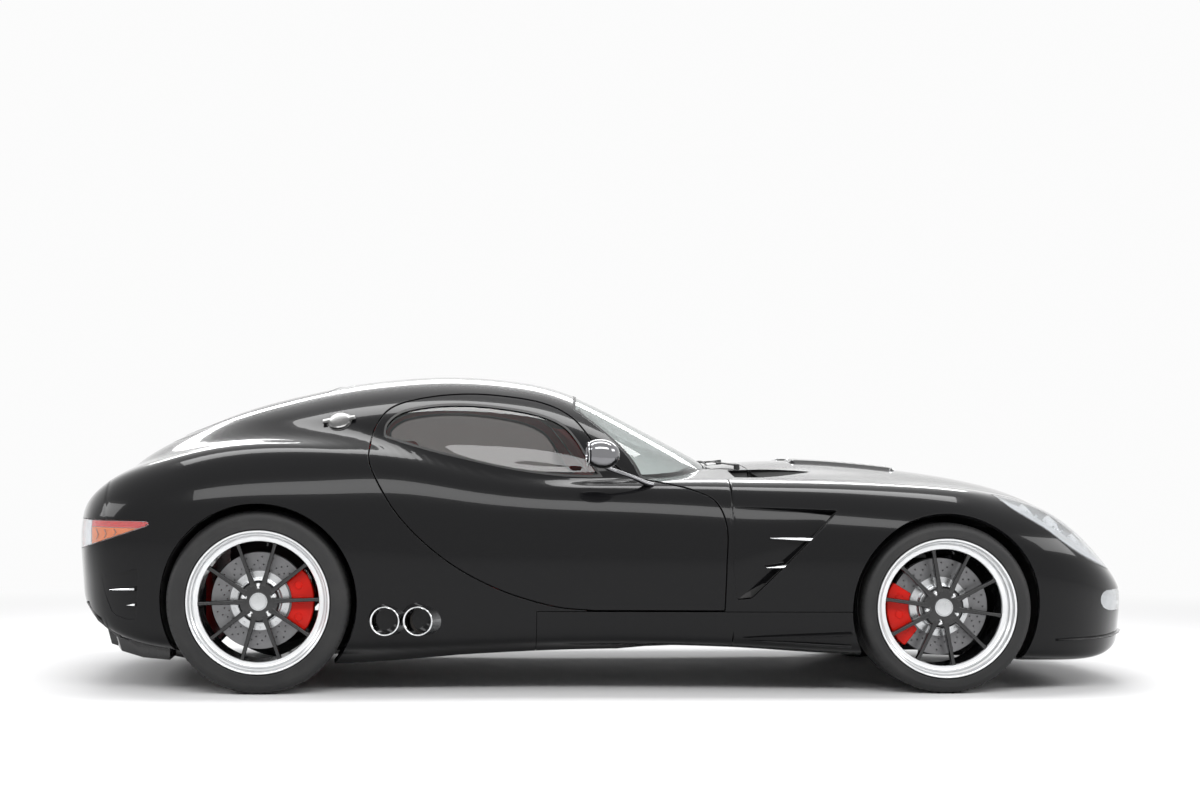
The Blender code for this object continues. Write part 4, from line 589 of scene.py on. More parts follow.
@dataclass
class Sheet:
    """A surface of triangles with a smooth direction at every point."""

    points: np.ndarray
    normals: np.ndarray
    faces: np.ndarray

    def turned_out(self) -> Sheet:
        """The same sheet with its faces turned the way its directions point, and those worked out anew."""
        corners = self.points[self.faces]
        flat = np.cross(corners[:, 1] - corners[:, 0], corners[:, 2] - corners[:, 0])
        wrong = (flat * self.normals[self.faces[:, 0]]).sum(1) < 0
        self.faces[wrong] = self.faces[wrong][:, ::-1]
        flat[wrong] *= -1
        sums = np.zeros_like(self.points)
        for corner in range(3):
            np.add.at(sums, self.faces[:, corner], flat)
        size = np.linalg.norm(sums, axis=1)
        fine = size > 1e-14
        middle = np.abs(self.points[:, 1]) < 1e-6
        sums[middle, 1] = 0.0
        size = np.maximum(np.linalg.norm(sums, axis=1), 1e-15)
        self.normals = np.where(fine[:, None], sums / size[:, None], self.normals)
        return self

    def kept(self, values: np.ndarray) -> Sheet:
        """The part of the sheet where the values are negative, cut exactly where they are 0."""
        inside = values < 0
        count = inside[self.faces].sum(1)
        faces = [self.faces[count == 3]]
        points, normals = [self.points], [self.normals]
        total = len(self.points)
        cuts: dict[tuple[int, int], int] = {}
        new_points, new_normals, new_faces = [], [], []

        def cut(i: int, j: int) -> int:
            """The point where the edge between two points is cut."""
            key = (i, j) if i < j else (j, i)
            if key not in cuts:
                share = values[key[0]] / (values[key[0]] - values[key[1]])
                share = min(max(share, 0.0), 1.0)
                cuts[key] = total + len(new_points)
                new_points.append(self.points[key[0]] * (1 - share) + self.points[key[1]] * share)
                new_normals.append(self.normals[key[0]] * (1 - share) + self.normals[key[1]] * share)
            return cuts[key]

        for face in self.faces[(count == 1) | (count == 2)]:
            face = [int(i) for i in face]
            shape = []
            for i, j in zip(face, face[1:] + face[:1]):
                if inside[i]:
                    shape.append(i)
                if inside[i] != inside[j]:
                    shape.append(cut(i, j))
            for k in range(1, len(shape) - 1):
                new_faces.append((shape[0], shape[k], shape[k + 1]))
        if new_faces:
            faces.append(np.array(new_faces))
            points.append(np.array(new_points))
            normals.append(np.array(new_normals))
        return Sheet(np.vstack(points), np.vstack(normals), np.vstack(faces)).compact()

    def compact(self) -> Sheet:
        """The sheet without the points that no face uses."""
        used, places = np.unique(self.faces, return_inverse=True)
        size = np.maximum(np.linalg.norm(self.normals[used], axis=1), 1e-12)[:, None]
        return Sheet(self.points[used], self.normals[used] / size, places.reshape(-1, 3))

    def sunk(self, depth: float | np.ndarray) -> Sheet:
        """The sheet moved straight in by a depth."""
        return Sheet(self.points - self.normals * np.reshape(depth, (-1, 1)), self.normals.copy(), self.faces.copy())

    def lipped(self, radius: float = 0.002, wall: float = 0.012, where: Field | None = None) -> Sheet:
        """The sheet with its cut edges rolled over and turned in.

        Args:
            radius: Radius of the rolled edge, which stands outside the cut.
            wall: Depth of the turned-in flange.
            where: Which points of the edge get a lip; all but the centre line without it.

        Returns:
            The sheet with its lip.
        """
        edges = np.vstack([self.faces[:, (0, 1)], self.faces[:, (1, 2)], self.faces[:, (2, 0)]])
        keys = np.sort(edges, 1)
        _, first, counts = np.unique(keys, axis=0, return_index=True, return_counts=True)
        border = edges[first[counts == 1]]
        keep = np.abs(self.points[:, 1]) > 1e-6
        if where is not None:
            keep &= where(self.points)
        border = border[keep[border[:, 0]] | keep[border[:, 1]]]
        border = border[(np.abs(self.points[border][:, :, 1]) > 1e-6).any(1)]
        if where is not None:
            border = border[keep[border].all(1)]
        run = self.points[border[:, 1]] - self.points[border[:, 0]]
        side = np.cross(run, self.normals[border].sum(1))
        out = np.zeros_like(self.points)
        np.add.at(out, border[:, 0], side)
        np.add.at(out, border[:, 1], side)
        used = np.unique(border)
        middle = np.abs(self.points[used][:, 1]) < 1e-6
        here = self.normals[used]
        step = out[used] - here * (out[used] * here).sum(1)[:, None]
        step[middle, 1] = 0.0
        step /= np.maximum(np.linalg.norm(step, axis=1), 1e-12)[:, None]
        rings = [used]
        points, normals = [self.points], [self.normals]
        total = len(self.points)
        for turn, drop in ((30, 0.0), (60, 0.0), (90, 0.0), (90, wall)):
            a = math.radians(turn)
            points.append(self.points[used] + step * radius * math.sin(a) - here
                          * (radius * (1 - math.cos(a)) + drop))
            normals.append(here * math.cos(a) + step * math.sin(a))
            rings.append(np.arange(total, total + len(used)))
            total += len(used)
        faces = [self.faces]
        place = np.searchsorted(used, border)
        for inner, outer in zip(rings, rings[1:]):
            a, b = inner[place[:, 0]], inner[place[:, 1]]
            c, d = outer[place[:, 0]], outer[place[:, 1]]
            faces += [np.stack([b, a, c], 1), np.stack([b, c, d], 1)]
        return Sheet(np.vstack(points), np.vstack(normals), np.vstack(faces))

    def thick(self, depth: float) -> Sheet:
        """A closed sheet of that thickness below this one, with square edges."""
        inner = Sheet(self.points - self.normals * depth, -self.normals, self.faces[:, ::-1] + len(self.points))
        edges = np.vstack([self.faces[:, (0, 1)], self.faces[:, (1, 2)], self.faces[:, (2, 0)]])
        _, first, counts = np.unique(np.sort(edges, 1), axis=0, return_index=True, return_counts=True)
        border = edges[first[counts == 1]]
        a, b = border[:, 0], border[:, 1]
        c, d = a + len(self.points), b + len(self.points)
        return Sheet(np.vstack([self.points, inner.points]), np.vstack([self.normals, inner.normals]),
                     np.vstack([self.faces, inner.faces, np.stack([b, a, c], 1), np.stack([b, c, d], 1)]))

    def mirrored(self) -> Sheet:
        """The sheet on the other side of the car."""
        flip = np.array((1.0, -1.0, 1.0))
        return Sheet(self.points * flip, self.normals * flip, self.faces[:, ::-1].copy())

    def both(self) -> Sheet:
        """The sheet and its mirror image, joined along the centre line."""
        other = self.mirrored()
        middle = np.abs(self.points[:, 1]) < 1e-6
        index = np.arange(len(self.points)) + len(self.points)
        index[middle] = np.nonzero(middle)[0]
        self.normals[middle, 1] = 0.0
        return Sheet(np.vstack([self.points, other.points]), np.vstack([self.normals, other.normals]),
                     np.vstack([self.faces, index[other.faces]])).compact()

    def joined(self, *others: Sheet) -> Sheet:
        """This sheet and others as one."""
        points, normals, faces = [self.points], [self.normals], [self.faces]
        total = len(self.points)
        for other in others:
            points.append(other.points)
            normals.append(other.normals)
            faces.append(other.faces + total)
            total += len(other.points)
        return Sheet(np.vstack(points), np.vstack(normals), np.vstack(faces))

    def piece(self, name: str, finish: bpy.types.Material) -> bpy.types.Object:
        """An object of the sheet with a material."""
        mesh = bpy.data.meshes.new(name)
        mesh.from_pydata(self.points.tolist(), [], self.faces.tolist())
        mesh.shade_smooth()
        mesh.normals_split_custom_set_from_vertices(self.normals.tolist())
        mesh.materials.append(finish)
        made = bpy.data.objects.new(name, mesh)
        bpy.context.scene.collection.objects.link(made)
        return made


# ------------------------------------------------------------------------------ shader expressions
class Term:
    """A shader value that takes part in Python expressions, each adding its Math node."""

    def __init__(self, shader: Shader, socket: bpy.types.NodeSocket) -> None:
        """Wraps a socket of a shader's tree."""
        self.shader = shader
        self.socket = socket

    def math(self, operation: str, *others: Term | float, flip: bool = False) -> Term:
        """The result of a Math node on this value and others."""
        values = [*others, self] if flip else [self, *others]
        return self.shader.node("ShaderNodeMath", {"operation": operation}, dict(enumerate(values)))

    def __add__(self, other: Term | float) -> Term:
        """The sum."""
        return self.math("ADD", other)

    __radd__ = __add__

    def __mul__(self, other: Term | float) -> Term:
        """The product."""
        return self.math("MULTIPLY", other)

    __rmul__ = __mul__

    def __sub__(self, other: Term | float) -> Term:
        """The difference."""
        return self.math("SUBTRACT", other)

    def __rsub__(self, other: Term | float) -> Term:
        """The difference the other way round."""
        return self.math("SUBTRACT", other, flip=True)

    def __truediv__(self, other: Term | float) -> Term:
        """The quotient."""
        return self.math("DIVIDE", other)

    def __pow__(self, other: Term | float) -> Term:
        """The power."""
        return self.math("POWER", other)

    def above(self, level: float, soft: float) -> Term:
        """0 below a level and 1 above it, with a soft step between."""
        return self.shader.node("ShaderNodeMapRange", {"interpolation_type": "SMOOTHSTEP"},
                                {0: self, 1: level - soft, 2: level + soft})


class Shader:
    """The node tree of one material, built from expressions."""

    def __init__(self, name: str) -> None:
        """Starts a material with its Principled shader."""
        self.material = bpy.data.materials.new(name)
        self.material.use_nodes = True
        self.tree = self.material.node_tree
        self.surface = self.tree.nodes["Principled BSDF"]
        self.place = self.node("ShaderNodeTexCoord", {}, {}, "Object")

    def node(self, kind: str, settings: dict, inputs: dict, output: int | str = 0) -> Term:
        """Adds a node.

        Args:
            kind: The node's type.
            settings: Its own settings, or the stops of its ramp under "ramp".
            inputs: A value or a term for each input, by number or name.
            output: Which output the term stands for.

        Returns:
            The term of that output.
        """
        made = self.tree.nodes.new(kind)
        for key, value in settings.items():
            if key == "ramp":
                while len(made.color_ramp.elements) < len(value):
                    made.color_ramp.elements.new(0.5)
                for stop, (where, colour) in zip(made.color_ramp.elements, value):
                    stop.position, stop.color = where, (*colour, 1.0)
            else:
                setattr(made, key, value)
        for key, value in inputs.items():
            if isinstance(value, Term):
                self.tree.links.new(value.socket, made.inputs[key])
            else:
                made.inputs[key].default_value = value
        return Term(self, made.outputs[output])

    def parts(self, vector: Term) -> tuple[Term, Term, Term]:
        """The three parts of a vector."""
        split = self.node("ShaderNodeSeparateXYZ", {}, {0: vector}).socket.node
        return tuple(Term(self, split.outputs[k]) for k in range(3))

    def noise(self, scale: float, detail: float = 3.0, place: Term | None = None) -> Term:
        """Soft noise from 0 to 1."""
        return self.node("ShaderNodeTexNoise", {}, {"Vector": place or self.place, "Scale": scale, "Detail": detail})

    def cells(self, scale: float, feature: str = "F1", place: Term | None = None) -> Term:
        """Distance within a pattern of cells."""
        return self.node("ShaderNodeTexVoronoi", {"feature": feature},
                         {"Vector": place or self.place, "Scale": scale},
                         "Distance")

    def mix(self, share: Term | float, first: Term | Point, second: Term | Point) -> Term:
        """A colour between two others."""
        inputs = {0: share}
        for key, value in ((6, first), (7, second)):
            inputs[key] = value if isinstance(value, Term) else (*value, 1.0)
        return self.node("ShaderNodeMix", {"data_type": "RGBA"}, inputs, 2)

    def bump(self, height: Term, distance: float, strength: float = 1.0, under: Term | None = None) -> Term:
        """A normal from a height, over another bump if one is given."""
        inputs = {"Strength": strength, "Distance": distance, "Height": height}
        if under is not None:
            inputs["Normal"] = under
        return self.node("ShaderNodeBump", {}, inputs, "Normal")

    def set(self, **inputs: Term | float | Point) -> Shader:
        """Sets the surface's inputs, with underscores for the spaces in their names."""
        for key, value in inputs.items():
            socket = self.surface.inputs[key.replace("_", " ")]
            if isinstance(value, Term):
                self.tree.links.new(value.socket, socket)
            else:
                socket.default_value = (*value, 1.0) if isinstance(value, tuple) else value
        return self

    def radius_from(self, centre: Point) -> Term:
        """Distance from a Y axis through a centre."""
        x, _, z = self.parts(self.place)
        return ((x - centre[0]) ** 2.0 + (z - centre[2]) ** 2.0) ** 0.5


# ------------------------------------------------------------------------------ finishes
@dataclass(frozen=True)
class Enamel:
    """Glossy paint under clear coat, with the faintest orange peel and dust."""

    name: str
    colour: tuple[float, float, float]
    roughness: float = 0.22
    coat: float = 1.0
    flake: float = 0.0

    def material(self) -> bpy.types.Material:
        """The paint as a material."""
        s = Shader(self.name)
        fleck = s.cells(900.0)
        grime = s.noise(7.0, 5.0)
        colour = s.mix(fleck.above(0.45, 0.2) * self.flake, self.colour,
                       tuple(min(1.0, c * 1.6 + 0.01) for c in self.colour))
        s.set(Base_Color=colour, Roughness=grime * 0.06 + (self.roughness - 0.03), Coat_Weight=self.coat,
              Coat_Roughness=0.012, Coat_IOR=1.24, Specular_IOR_Level=0.06,
              Normal=s.bump(s.noise(120.0, 1.0), 0.00001, 0.04))
        return s.material


@dataclass(frozen=True)
class Metal:
    """Bare or plated metal, with fine scratches or turned rings."""

    name: str
    colour: tuple[float, float, float]
    roughness: float
    grain: float = 0.0
    metallic: float = 1.0

    def material(self, centre: Point | None = None) -> bpy.types.Material:
        """The metal as a material.

        Args:
            centre: Where the turned rings are centred, or None for a plain polish.

        Returns:
            The material.
        """
        s = Shader(self.name)
        cloud = s.noise(30.0, 4.0)
        tint = s.mix(cloud, self.colour, tuple(c * 0.86 for c in self.colour))
        rough = cloud * 0.08 + (self.roughness - 0.04)
        if centre is None:
            height = s.noise(420.0, 2.0)
        else:
            rings = s.radius_from(centre)
            fine = s.node("ShaderNodeTexNoise", {"noise_dimensions": "1D"},
                          {"W": rings * 1400.0, "Scale": 1.0, "Detail": 2.0})
            height = fine
            rough = rough + fine * 0.10
        s.set(Base_Color=tint, Roughness=rough, Metallic=self.metallic, Normal=s.bump(height, 0.0001, self.grain))
        return s.material


@dataclass(frozen=True)
class Satin:
    """Moulded plastic or satin enamel with a fine grain."""

    name: str
    colour: tuple[float, float, float]
    roughness: float
    grain_scale: float = 900.0
    grain: float = 0.15
    metallic: float = 0.0
    coat: float = 0.0

    def material(self) -> bpy.types.Material:
        """The plastic as a material."""
        s = Shader(self.name)
        pebble = s.cells(self.grain_scale)
        wear = s.noise(18.0, 5.0)
        s.set(Base_Color=s.mix(wear, self.colour, tuple(c * 1.35 + 0.004 for c in self.colour)),
              Roughness=wear * 0.12 + (self.roughness - 0.06), Metallic=self.metallic, Coat_Weight=self.coat,
              Coat_Roughness=0.05, Normal=s.bump(pebble, 0.0002, self.grain))
        return s.material


@dataclass(frozen=True)
class Rubber:
    """Tyre rubber: dusty shoulders, dark grooves, moulding ripples on the wall."""

    name: str
    centre: tuple[float, float, float]
    wall: tuple[float, float]

    def material(self) -> bpy.types.Material:
        """The rubber as a material."""
        s = Shader(self.name)
        radius = s.radius_from(self.centre)
        dust = s.noise(11.0, 5.0)
        share = (radius - self.wall[0]) / (self.wall[1] - self.wall[0])
        rings = s.node("ShaderNodeMath", {"operation": "SINE"}, {0: radius * 2600.0})
        ribs = rings.above(0.3, 0.5) * share.above(0.12, 0.05) * (1.0 - share.above(0.32, 0.05))
        s.set(Base_Color=s.mix(dust.above(0.6, 0.25) * 0.6, (0.0115, 0.0115, 0.012), (0.028, 0.027, 0.026)),
              Roughness=dust * 0.22 + 0.46, Specular_IOR_Level=0.42,
              Normal=s.bump(s.noise(700.0, 2.0), 0.0002, 0.25, s.bump(ribs, 0.0005, 0.6)))
        return s.material


@dataclass(frozen=True)
class Hide:
    """Leather: creased grain, soft colour changes, polish where it is touched."""

    name: str
    colour: tuple[float, float, float]
    grain_scale: float = 520.0
    roughness: float = 0.46

    def material(self) -> bpy.types.Material:
        """The leather as a material."""
        s = Shader(self.name)
        warp = s.node("ShaderNodeVectorMath", {"operation": "ADD"},
                      {0: s.place, 1: s.node("ShaderNodeVectorMath", {"operation": "SCALE"},
                                             {0: s.node("ShaderNodeTexNoise", {}, {"Vector": s.place, "Scale": 60.0},
                                                        "Color"),
                                              3: 0.004})})
        grain = s.cells(self.grain_scale, "DISTANCE_TO_EDGE", warp)
        crease = grain.above(0.09, 0.08)
        tone = s.noise(9.0, 4.0)
        dark = tuple(c * 0.62 for c in self.colour)
        # The grain's creases are mixed darker: painted shade in the creases; the tone noise is random colour change.
        s.set(Base_Color=s.mix(tone * 0.55 + (1.0 - crease) * 0.45, self.colour, dark),
              Roughness=tone * 0.14 + (self.roughness - 0.07) + (1.0 - crease) * 0.12, Specular_IOR_Level=0.45,
              Normal=s.bump(crease, 0.00035, 0.55, s.bump(tone, 0.003, 0.25)))
        return s.material


@dataclass(frozen=True)
class Pile:
    """Carpet: short dense loops."""

    name: str
    colour: tuple[float, float, float]

    def material(self) -> bpy.types.Material:
        """The carpet as a material."""
        s = Shader(self.name)
        loops = s.cells(420.0)
        wear = s.noise(14.0, 4.0)
        # Darker away from each loop's middle: painted shade between the loops; the wear noise is random tone.
        s.set(Base_Color=s.mix(loops * 0.7 + wear * 0.3, self.colour, tuple(c * 0.35 for c in self.colour)),
              Roughness=loops * 0.1 + 0.88, Specular_IOR_Level=0.15,
              Normal=s.bump(loops, 0.0016, 0.8))
        return s.material


@dataclass(frozen=True)
class Glazing:
    """Window or lamp glass, tinted in its body."""

    name: str
    colour: tuple[float, float, float]
    roughness: float = 0.0
    ior: float = 1.45
    share: float = 1.0

    def material(self) -> bpy.types.Material:
        """The glass as a material, with the faintest film of dust."""
        s = Shader(self.name)
        film = s.noise(22.0, 4.0)
        s.surface.inputs["Transmission Weight"].default_value = self.share
        s.surface.inputs["IOR"].default_value = self.ior
        s.set(Base_Color=s.mix(film * 0.25, self.colour, tuple(c * 0.9 for c in self.colour)),
              Roughness=film * 0.01 + self.roughness)
        return s.material


@dataclass(frozen=True)
class Lens:
    """Coloured moulded lamp glass with fine prisms behind its face."""

    name: str
    colour: tuple[float, float, float]
    pitch: float = 0.006

    def material(self) -> bpy.types.Material:
        """The lens as a material."""
        s = Shader(self.name)
        _, y, z = s.parts(s.place)
        waves = s.node("ShaderNodeMath", {"operation": "SINE"}, {0: y * (6.2832 / self.pitch)})
        across = s.node("ShaderNodeMath", {"operation": "SINE"}, {0: z * (6.2832 / self.pitch)})
        prism = waves * across
        s.set(Base_Color=s.mix(prism.above(0.2, 0.4) * 0.4, self.colour, tuple(c * 0.55 for c in self.colour)),
              Roughness=prism * 0.05 + 0.14, Coat_Weight=1.0, Coat_Roughness=0.01, Specular_IOR_Level=0.6,
              Emission_Color=self.colour, Emission_Strength=0.12, Normal=s.bump(prism, 0.0006, 0.35))
        return s.material


class Palette:
    """Every finish of the car, each made once."""

    def __init__(self) -> None:
        """Makes the materials that are shared by many pieces."""
        self.paint = Enamel("paint_black", (0.0038, 0.0038, 0.0043), 0.20, 1.0, 0.10).material()
        self.inner_paint = Enamel("paint_inner", (0.010, 0.010, 0.011), 0.32, 0.5).material()
        self.dark = Satin("dark_plastic", (0.012, 0.012, 0.013), 0.55).material()
        self.satin_black = Satin("satin_black", (0.0045, 0.0045, 0.005), 0.26, 1200.0, 0.04, 0.0, 0.35).material()
        # Near-black matte: the real black of the bay and arch liners, and painted shade in the louvre bed, the outlets'
        # hollows and the tread's cuts.
        self.void = Satin("dark_cavity", (0.004, 0.004, 0.004), 0.8, 300.0, 0.4).material()
        self.seal = Satin("rubber_seal", (0.010, 0.010, 0.010), 0.6, 1200.0, 0.2).material()
        self.chrome = Metal("chrome", (0.86, 0.87, 0.88), 0.055, 0.01).material()
        self.dark_chrome = Metal("dark_chrome", (0.24, 0.24, 0.25), 0.10, 0.02).material()
        self.worn_chrome = Metal("worn_chrome", (0.17, 0.17, 0.168), 0.20, 0.05).material()
        self.mirror = Metal("mirror_glass", (0.88, 0.90, 0.91), 0.035, 0.004).material()
        self.plate = Satin("plate_blank", (0.72, 0.72, 0.70), 0.35, 1500.0, 0.05).material()
        self.indicator = Lens("indicator_lens", (0.50, 0.51, 0.52), 0.008).material()
        self.brushed = Metal("brushed_alloy", (0.62, 0.63, 0.64), 0.26, 0.10).material()
        self.cast = Metal("cast_alloy", (0.42, 0.42, 0.43), 0.46, 0.35).material()
        self.iron = Metal("painted_iron", (0.045, 0.045, 0.048), 0.55, 0.30, 0.4).material()
        self.soot = Metal("exhaust_bore", (0.05, 0.045, 0.042), 0.6, 0.5, 0.6).material()
        self.caliper = Enamel("caliper_red", (0.62, 0.012, 0.006), 0.24, 0.8).material()
        self.red_hide = Hide("red_leather", (0.60, 0.012, 0.011)).material()
        self.dark_hide = Hide("dark_leather", (0.016, 0.015, 0.015)).material()
        self.red_carpet = Pile("red_carpet", (0.20, 0.008, 0.008)).material()
        self.headlining = Pile("headlining", (0.05, 0.048, 0.046)).material()
        self.screen_glass = Glazing("screen_glass", (0.70, 0.74, 0.73)).material()
        self.side_glass = Glazing("side_glass", (0.36, 0.35, 0.345)).material()
        self.rear_glass = Glazing("rear_glass", (0.24, 0.245, 0.25)).material()
        self.lamp_glass = Glazing("lamp_glass", (0.97, 0.985, 1.0)).material()
        # Under half metallic: the diffuse share of its pale colour is a painted reflection that makes the bowl read
        # bright silver.
        self.reflector = Metal("lamp_reflector", (0.88, 0.89, 0.90), 0.38, 0.05, 0.45).material()
        self.bulb_lens = Lens("projector_lens", (0.55, 0.60, 0.66), 0.02).material()
        self.red_lens = Lens("red_lens", (0.78, 0.012, 0.010)).material()
        self.amber_lens = Lens("amber_lens", (0.95, 0.20, 0.012)).material()
        self.clear_lens = Lens("clear_lens", (0.86, 0.88, 0.90)).material()
        self.thread = Satin("thread", (0.72, 0.04, 0.03), 0.7, 2500.0, 0.5).material()
        self.dial = Satin("dial_face", (0.55, 0.55, 0.53), 0.4, 900.0, 0.05).material()


# ------------------------------------------------------------------------------ bodywork
class Side(Enum):
    """The two sides of the car."""

    LEFT = 1
    RIGHT = -1

    @property
    def label(self) -> str:
        """The side's name as in the solids."""
        return self.name.lower()

    def turn(self, sheet: Sheet) -> Sheet:
        """A left-hand sheet on this side."""
        return sheet if self is Side.LEFT else sheet.mirrored()


def box_field(points: np.ndarray, low: Point, high: Point) -> np.ndarray:
    """Signed distance to an upright box, negative inside; None leaves a side open."""
    gaps = []
    for axis in range(3):
        if low[axis] is not None:
            gaps.append(low[axis] - points[:, axis])
        if high[axis] is not None:
            gaps.append(points[:, axis] - high[axis])
    return np.max(gaps, axis=0)


def wheel_field(points: np.ndarray, axle: Point, radius: float, inner: float) -> np.ndarray:
    """Signed distance to a wheel's round space, negative inside."""
    return np.maximum(np.hypot(points[:, 0] - axle[0], points[:, 2] - axle[2]) - radius, inner - np.abs(points[:, 1]))


@dataclass
class Bodywork:
    """All painted panels and every pane, trimmed from the one skin."""

    skin: Skin
    palette: Palette
    lip: float = 0.002
    flange: float = 0.014
    front_arch: float = 0.366
    rear_arch: float = 0.381
    front_axle: tuple[float, float, float] = (1.283, 0.0, 0.330)
    rear_axle: tuple[float, float, float] = (-1.375, 0.0, 0.355)
    lines: dict[str, Outline] = field(default_factory=dict)

    def __post_init__(self) -> None:
        """Draws the shut lines."""
        self.lines = {
            "door": Outline(drawn_line(DOOR_LINE), (0, 2)),
            "window": Outline(drawn_line(WINDOW_LINE), (0, 2)),
            "vent": Outline(drawn_line(SIDE_VENT_LINE), (0, 2)),
            "tail_lamp": Outline(drawn_line(TAIL_LAMP_LINE), (0, 2)),
            "bonnet": Outline(both_halves(BONNET_LINE), (0, 1)),
            "tailgate": Outline(both_halves(TAILGATE_LINE), (0, 1)),
            "pane": Outline(both_halves(REAR_PANE_LINE), (0, 1)),
            "screen": Outline(both_halves(SCREEN_LINE), (0, 1)),
            "headlamp": Outline(drawn_line(HEADLAMP_LINE), (0, 1)),
            "gill": Outline(drawn_line(GILL_LINE), (0, 2)),
            "indicator": Outline(drawn_line(INDICATOR_LINE), (0, 2)),
            "outlet": Outline(drawn_line(OUTLET_LINE), (0, 1)),
        }

    def reach(self, places: np.ndarray, axis: int, near: float, far: float) -> tuple[np.ndarray, np.ndarray]:
        """Where lines along an axis meet the skin.

        Args:
            places: Points whose coordinate along the axis is to be found.
            axis: 0 for X, 1 for Y, 2 for Z.
            near: A coordinate inside the body.
            far: A coordinate outside it.

        Returns:
            The points on the skin and the skin's outward directions.
        """
        low, high = np.full(len(places), near), np.full(len(places), far)
        for _ in range(28):
            places[:, axis] = (low + high) / 2
            inside = self.skin.distance(places)[0] < 0
            low, high = np.where(inside, places[:, axis], low), np.where(inside, high, places[:, axis])
        return places, self.skin.distance(places)[1]

    def flank(self, spots: Sequence[Point], out: float | None = None) -> list[Vector]:
        """Points (x, z) on the left flank: [point] moved outwards if out is given, else [point, direction]."""
        places = np.array([(x, 0.0, z) for x, z in spots], float)
        places, normals = self.reach(places, 1, 0.02, 1.3)
        if out is None:
            return [Vector(places[0]), Vector(normals[0])]
        return [Vector(p + n * out) for p, n in zip(places, normals)]

    def top(self, spots: Sequence[Point]) -> list[Vector]:
        """The point above a place (x, y) of the plan, and the skin's direction there."""
        places, normals = self.reach(np.array([(x, y, 0.0) for x, y in spots], float), 2, 0.45, 1.5)
        return [Vector(places[0]), Vector(normals[0])]

    def front_edge(self, spots: Sequence[Point], out: float) -> list[Vector]:
        """Points (y, z) on the nose, moved outwards."""
        places, normals = self.reach(np.array([(0.0, y, z) for y, z in spots], float), 0, 1.5, 2.4)
        return [Vector(p + n * out) for p, n in zip(places, normals)]

    def trimmed(self, sheet: Sheet, *fields: Field) -> Sheet:
        """The part of a sheet where every field is negative."""
        for here in fields:
            values = here(sheet.points)
            if (values >= 0).any():
                sheet = sheet.kept(values)
        return sheet

    def inside(self, name: str, gap: float = 0.0, least_y: float = -1.0) -> Field:
        """A field that keeps what lies inside a shut line, less a gap."""
        return lambda p: np.maximum(self.lines[name].distance(p) + gap, least_y - p[:, 1])

    def outside(self, name: str, gap: float = 0.0, least_y: float = -1.0, least_z: float = -1.0) -> Field:
        """A field that keeps what lies outside a shut line, plus a gap."""
        return lambda p: -np.maximum(np.maximum(self.lines[name].distance(p) - gap, least_y - p[:, 1]),
                                     least_z - p[:, 2])

    def off_arches(self, gap: float = 0.0) -> list[Field]:
        """Fields that keep what lies outside the wheels' spaces."""
        lock = self.front_arch + 0.038

        def full_lock(p: np.ndarray) -> np.ndarray:
            """Signed distance to the room under the body that a tyre sweeps at full lock."""
            ahead = np.abs(p[:, 0] - self.front_axle[0])
            reach = np.abs(p[:, 1]) - 0.700 - 0.42 * np.maximum(0.390 - ahead, 0)
            return np.max([wheel_field(p, self.front_axle, lock + gap, 0.425), reach, p[:, 2] - 0.33], axis=0)

        return [lambda p: -wheel_field(p, self.front_axle, self.front_arch + gap, 0.425),
                lambda p: -full_lock(p),
                lambda p: -wheel_field(p, self.rear_axle, self.rear_arch + gap, 0.581)]

    def off_box(self, low: Point, high: Point) -> Field:
        """A field that keeps what lies outside a box."""
        return lambda p: -box_field(p, low, high)

    def show(self, sheet: Sheet, name: str, finish: bpy.types.Material, body: str, slot: str,
             *nodes: str) -> bpy.types.Object:
        """Makes a piece of a sheet and hangs it on its body.

        Args:
            sheet: The surface.
            name: The piece's name.
            finish: Its material.
            body: The body that it rides on.
            slot: Not used.
            nodes: The solids that it stands for.

        Returns:
            The piece.
        """
        made = sheet.piece(name, finish)
        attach(made, body)
        if nodes:
            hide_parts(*nodes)
        log.info("%s: %d triangles", name, len(sheet.faces))
        return made

    def lining(self, node: str, body: str, finish: bpy.types.Material, other: bpy.types.Material,
               rule: Callable[[Vector, Vector], bool]) -> None:
        """The inner faces of a solid, without its outer skin, set a little deeper.

        Args:
            node: The solid.
            body: The body that the lining rides on.
            finish: Its material.
            other: The material of some of its faces.
            rule: Tells those faces by their middle and their normal.
        """
        form = bmesh.new()
        form.from_mesh(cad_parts[node].data)
        bmesh.ops.remove_doubles(form, verts=form.verts, dist=1e-6)
        bmesh.ops.recalc_face_normals(form, faces=form.faces)
        form.faces.ensure_lookup_table()
        middles = np.array([f.calc_center_median() for f in form.faces])
        flat = np.array([f.normal for f in form.faces])
        gap, out = self.skin.distance(middles)
        outer = (gap > -0.012) & ((flat * out).sum(1) > 0.55)
        bmesh.ops.delete(form, geom=[form.faces[int(i)] for i in np.nonzero(outer)[0]], context="FACES")
        form.verts.ensure_lookup_table()
        places = np.array([v.co for v in form.verts])
        gap, out = self.skin.distance(places)
        near = gap > -0.008
        places[near] -= out[near] * (gap[near] + 0.008)[:, None]
        for vertex, place in zip(form.verts, places):
            vertex.co = place
        mesh = bpy.data.meshes.new(f"{node}_inner")
        form.to_mesh(mesh)
        form.free()
        mesh.shade_smooth()
        mesh.set_sharp_from_angle(angle=math.radians(30))
        mesh.materials.append(finish)
        mesh.materials.append(other)
        for face in mesh.polygons:
            face.material_index = int(rule(face.center, face.normal))
        made = bpy.data.objects.new(mesh.name, mesh)
        bpy.context.scene.collection.objects.link(made)
        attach(made, body)
        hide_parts(node)

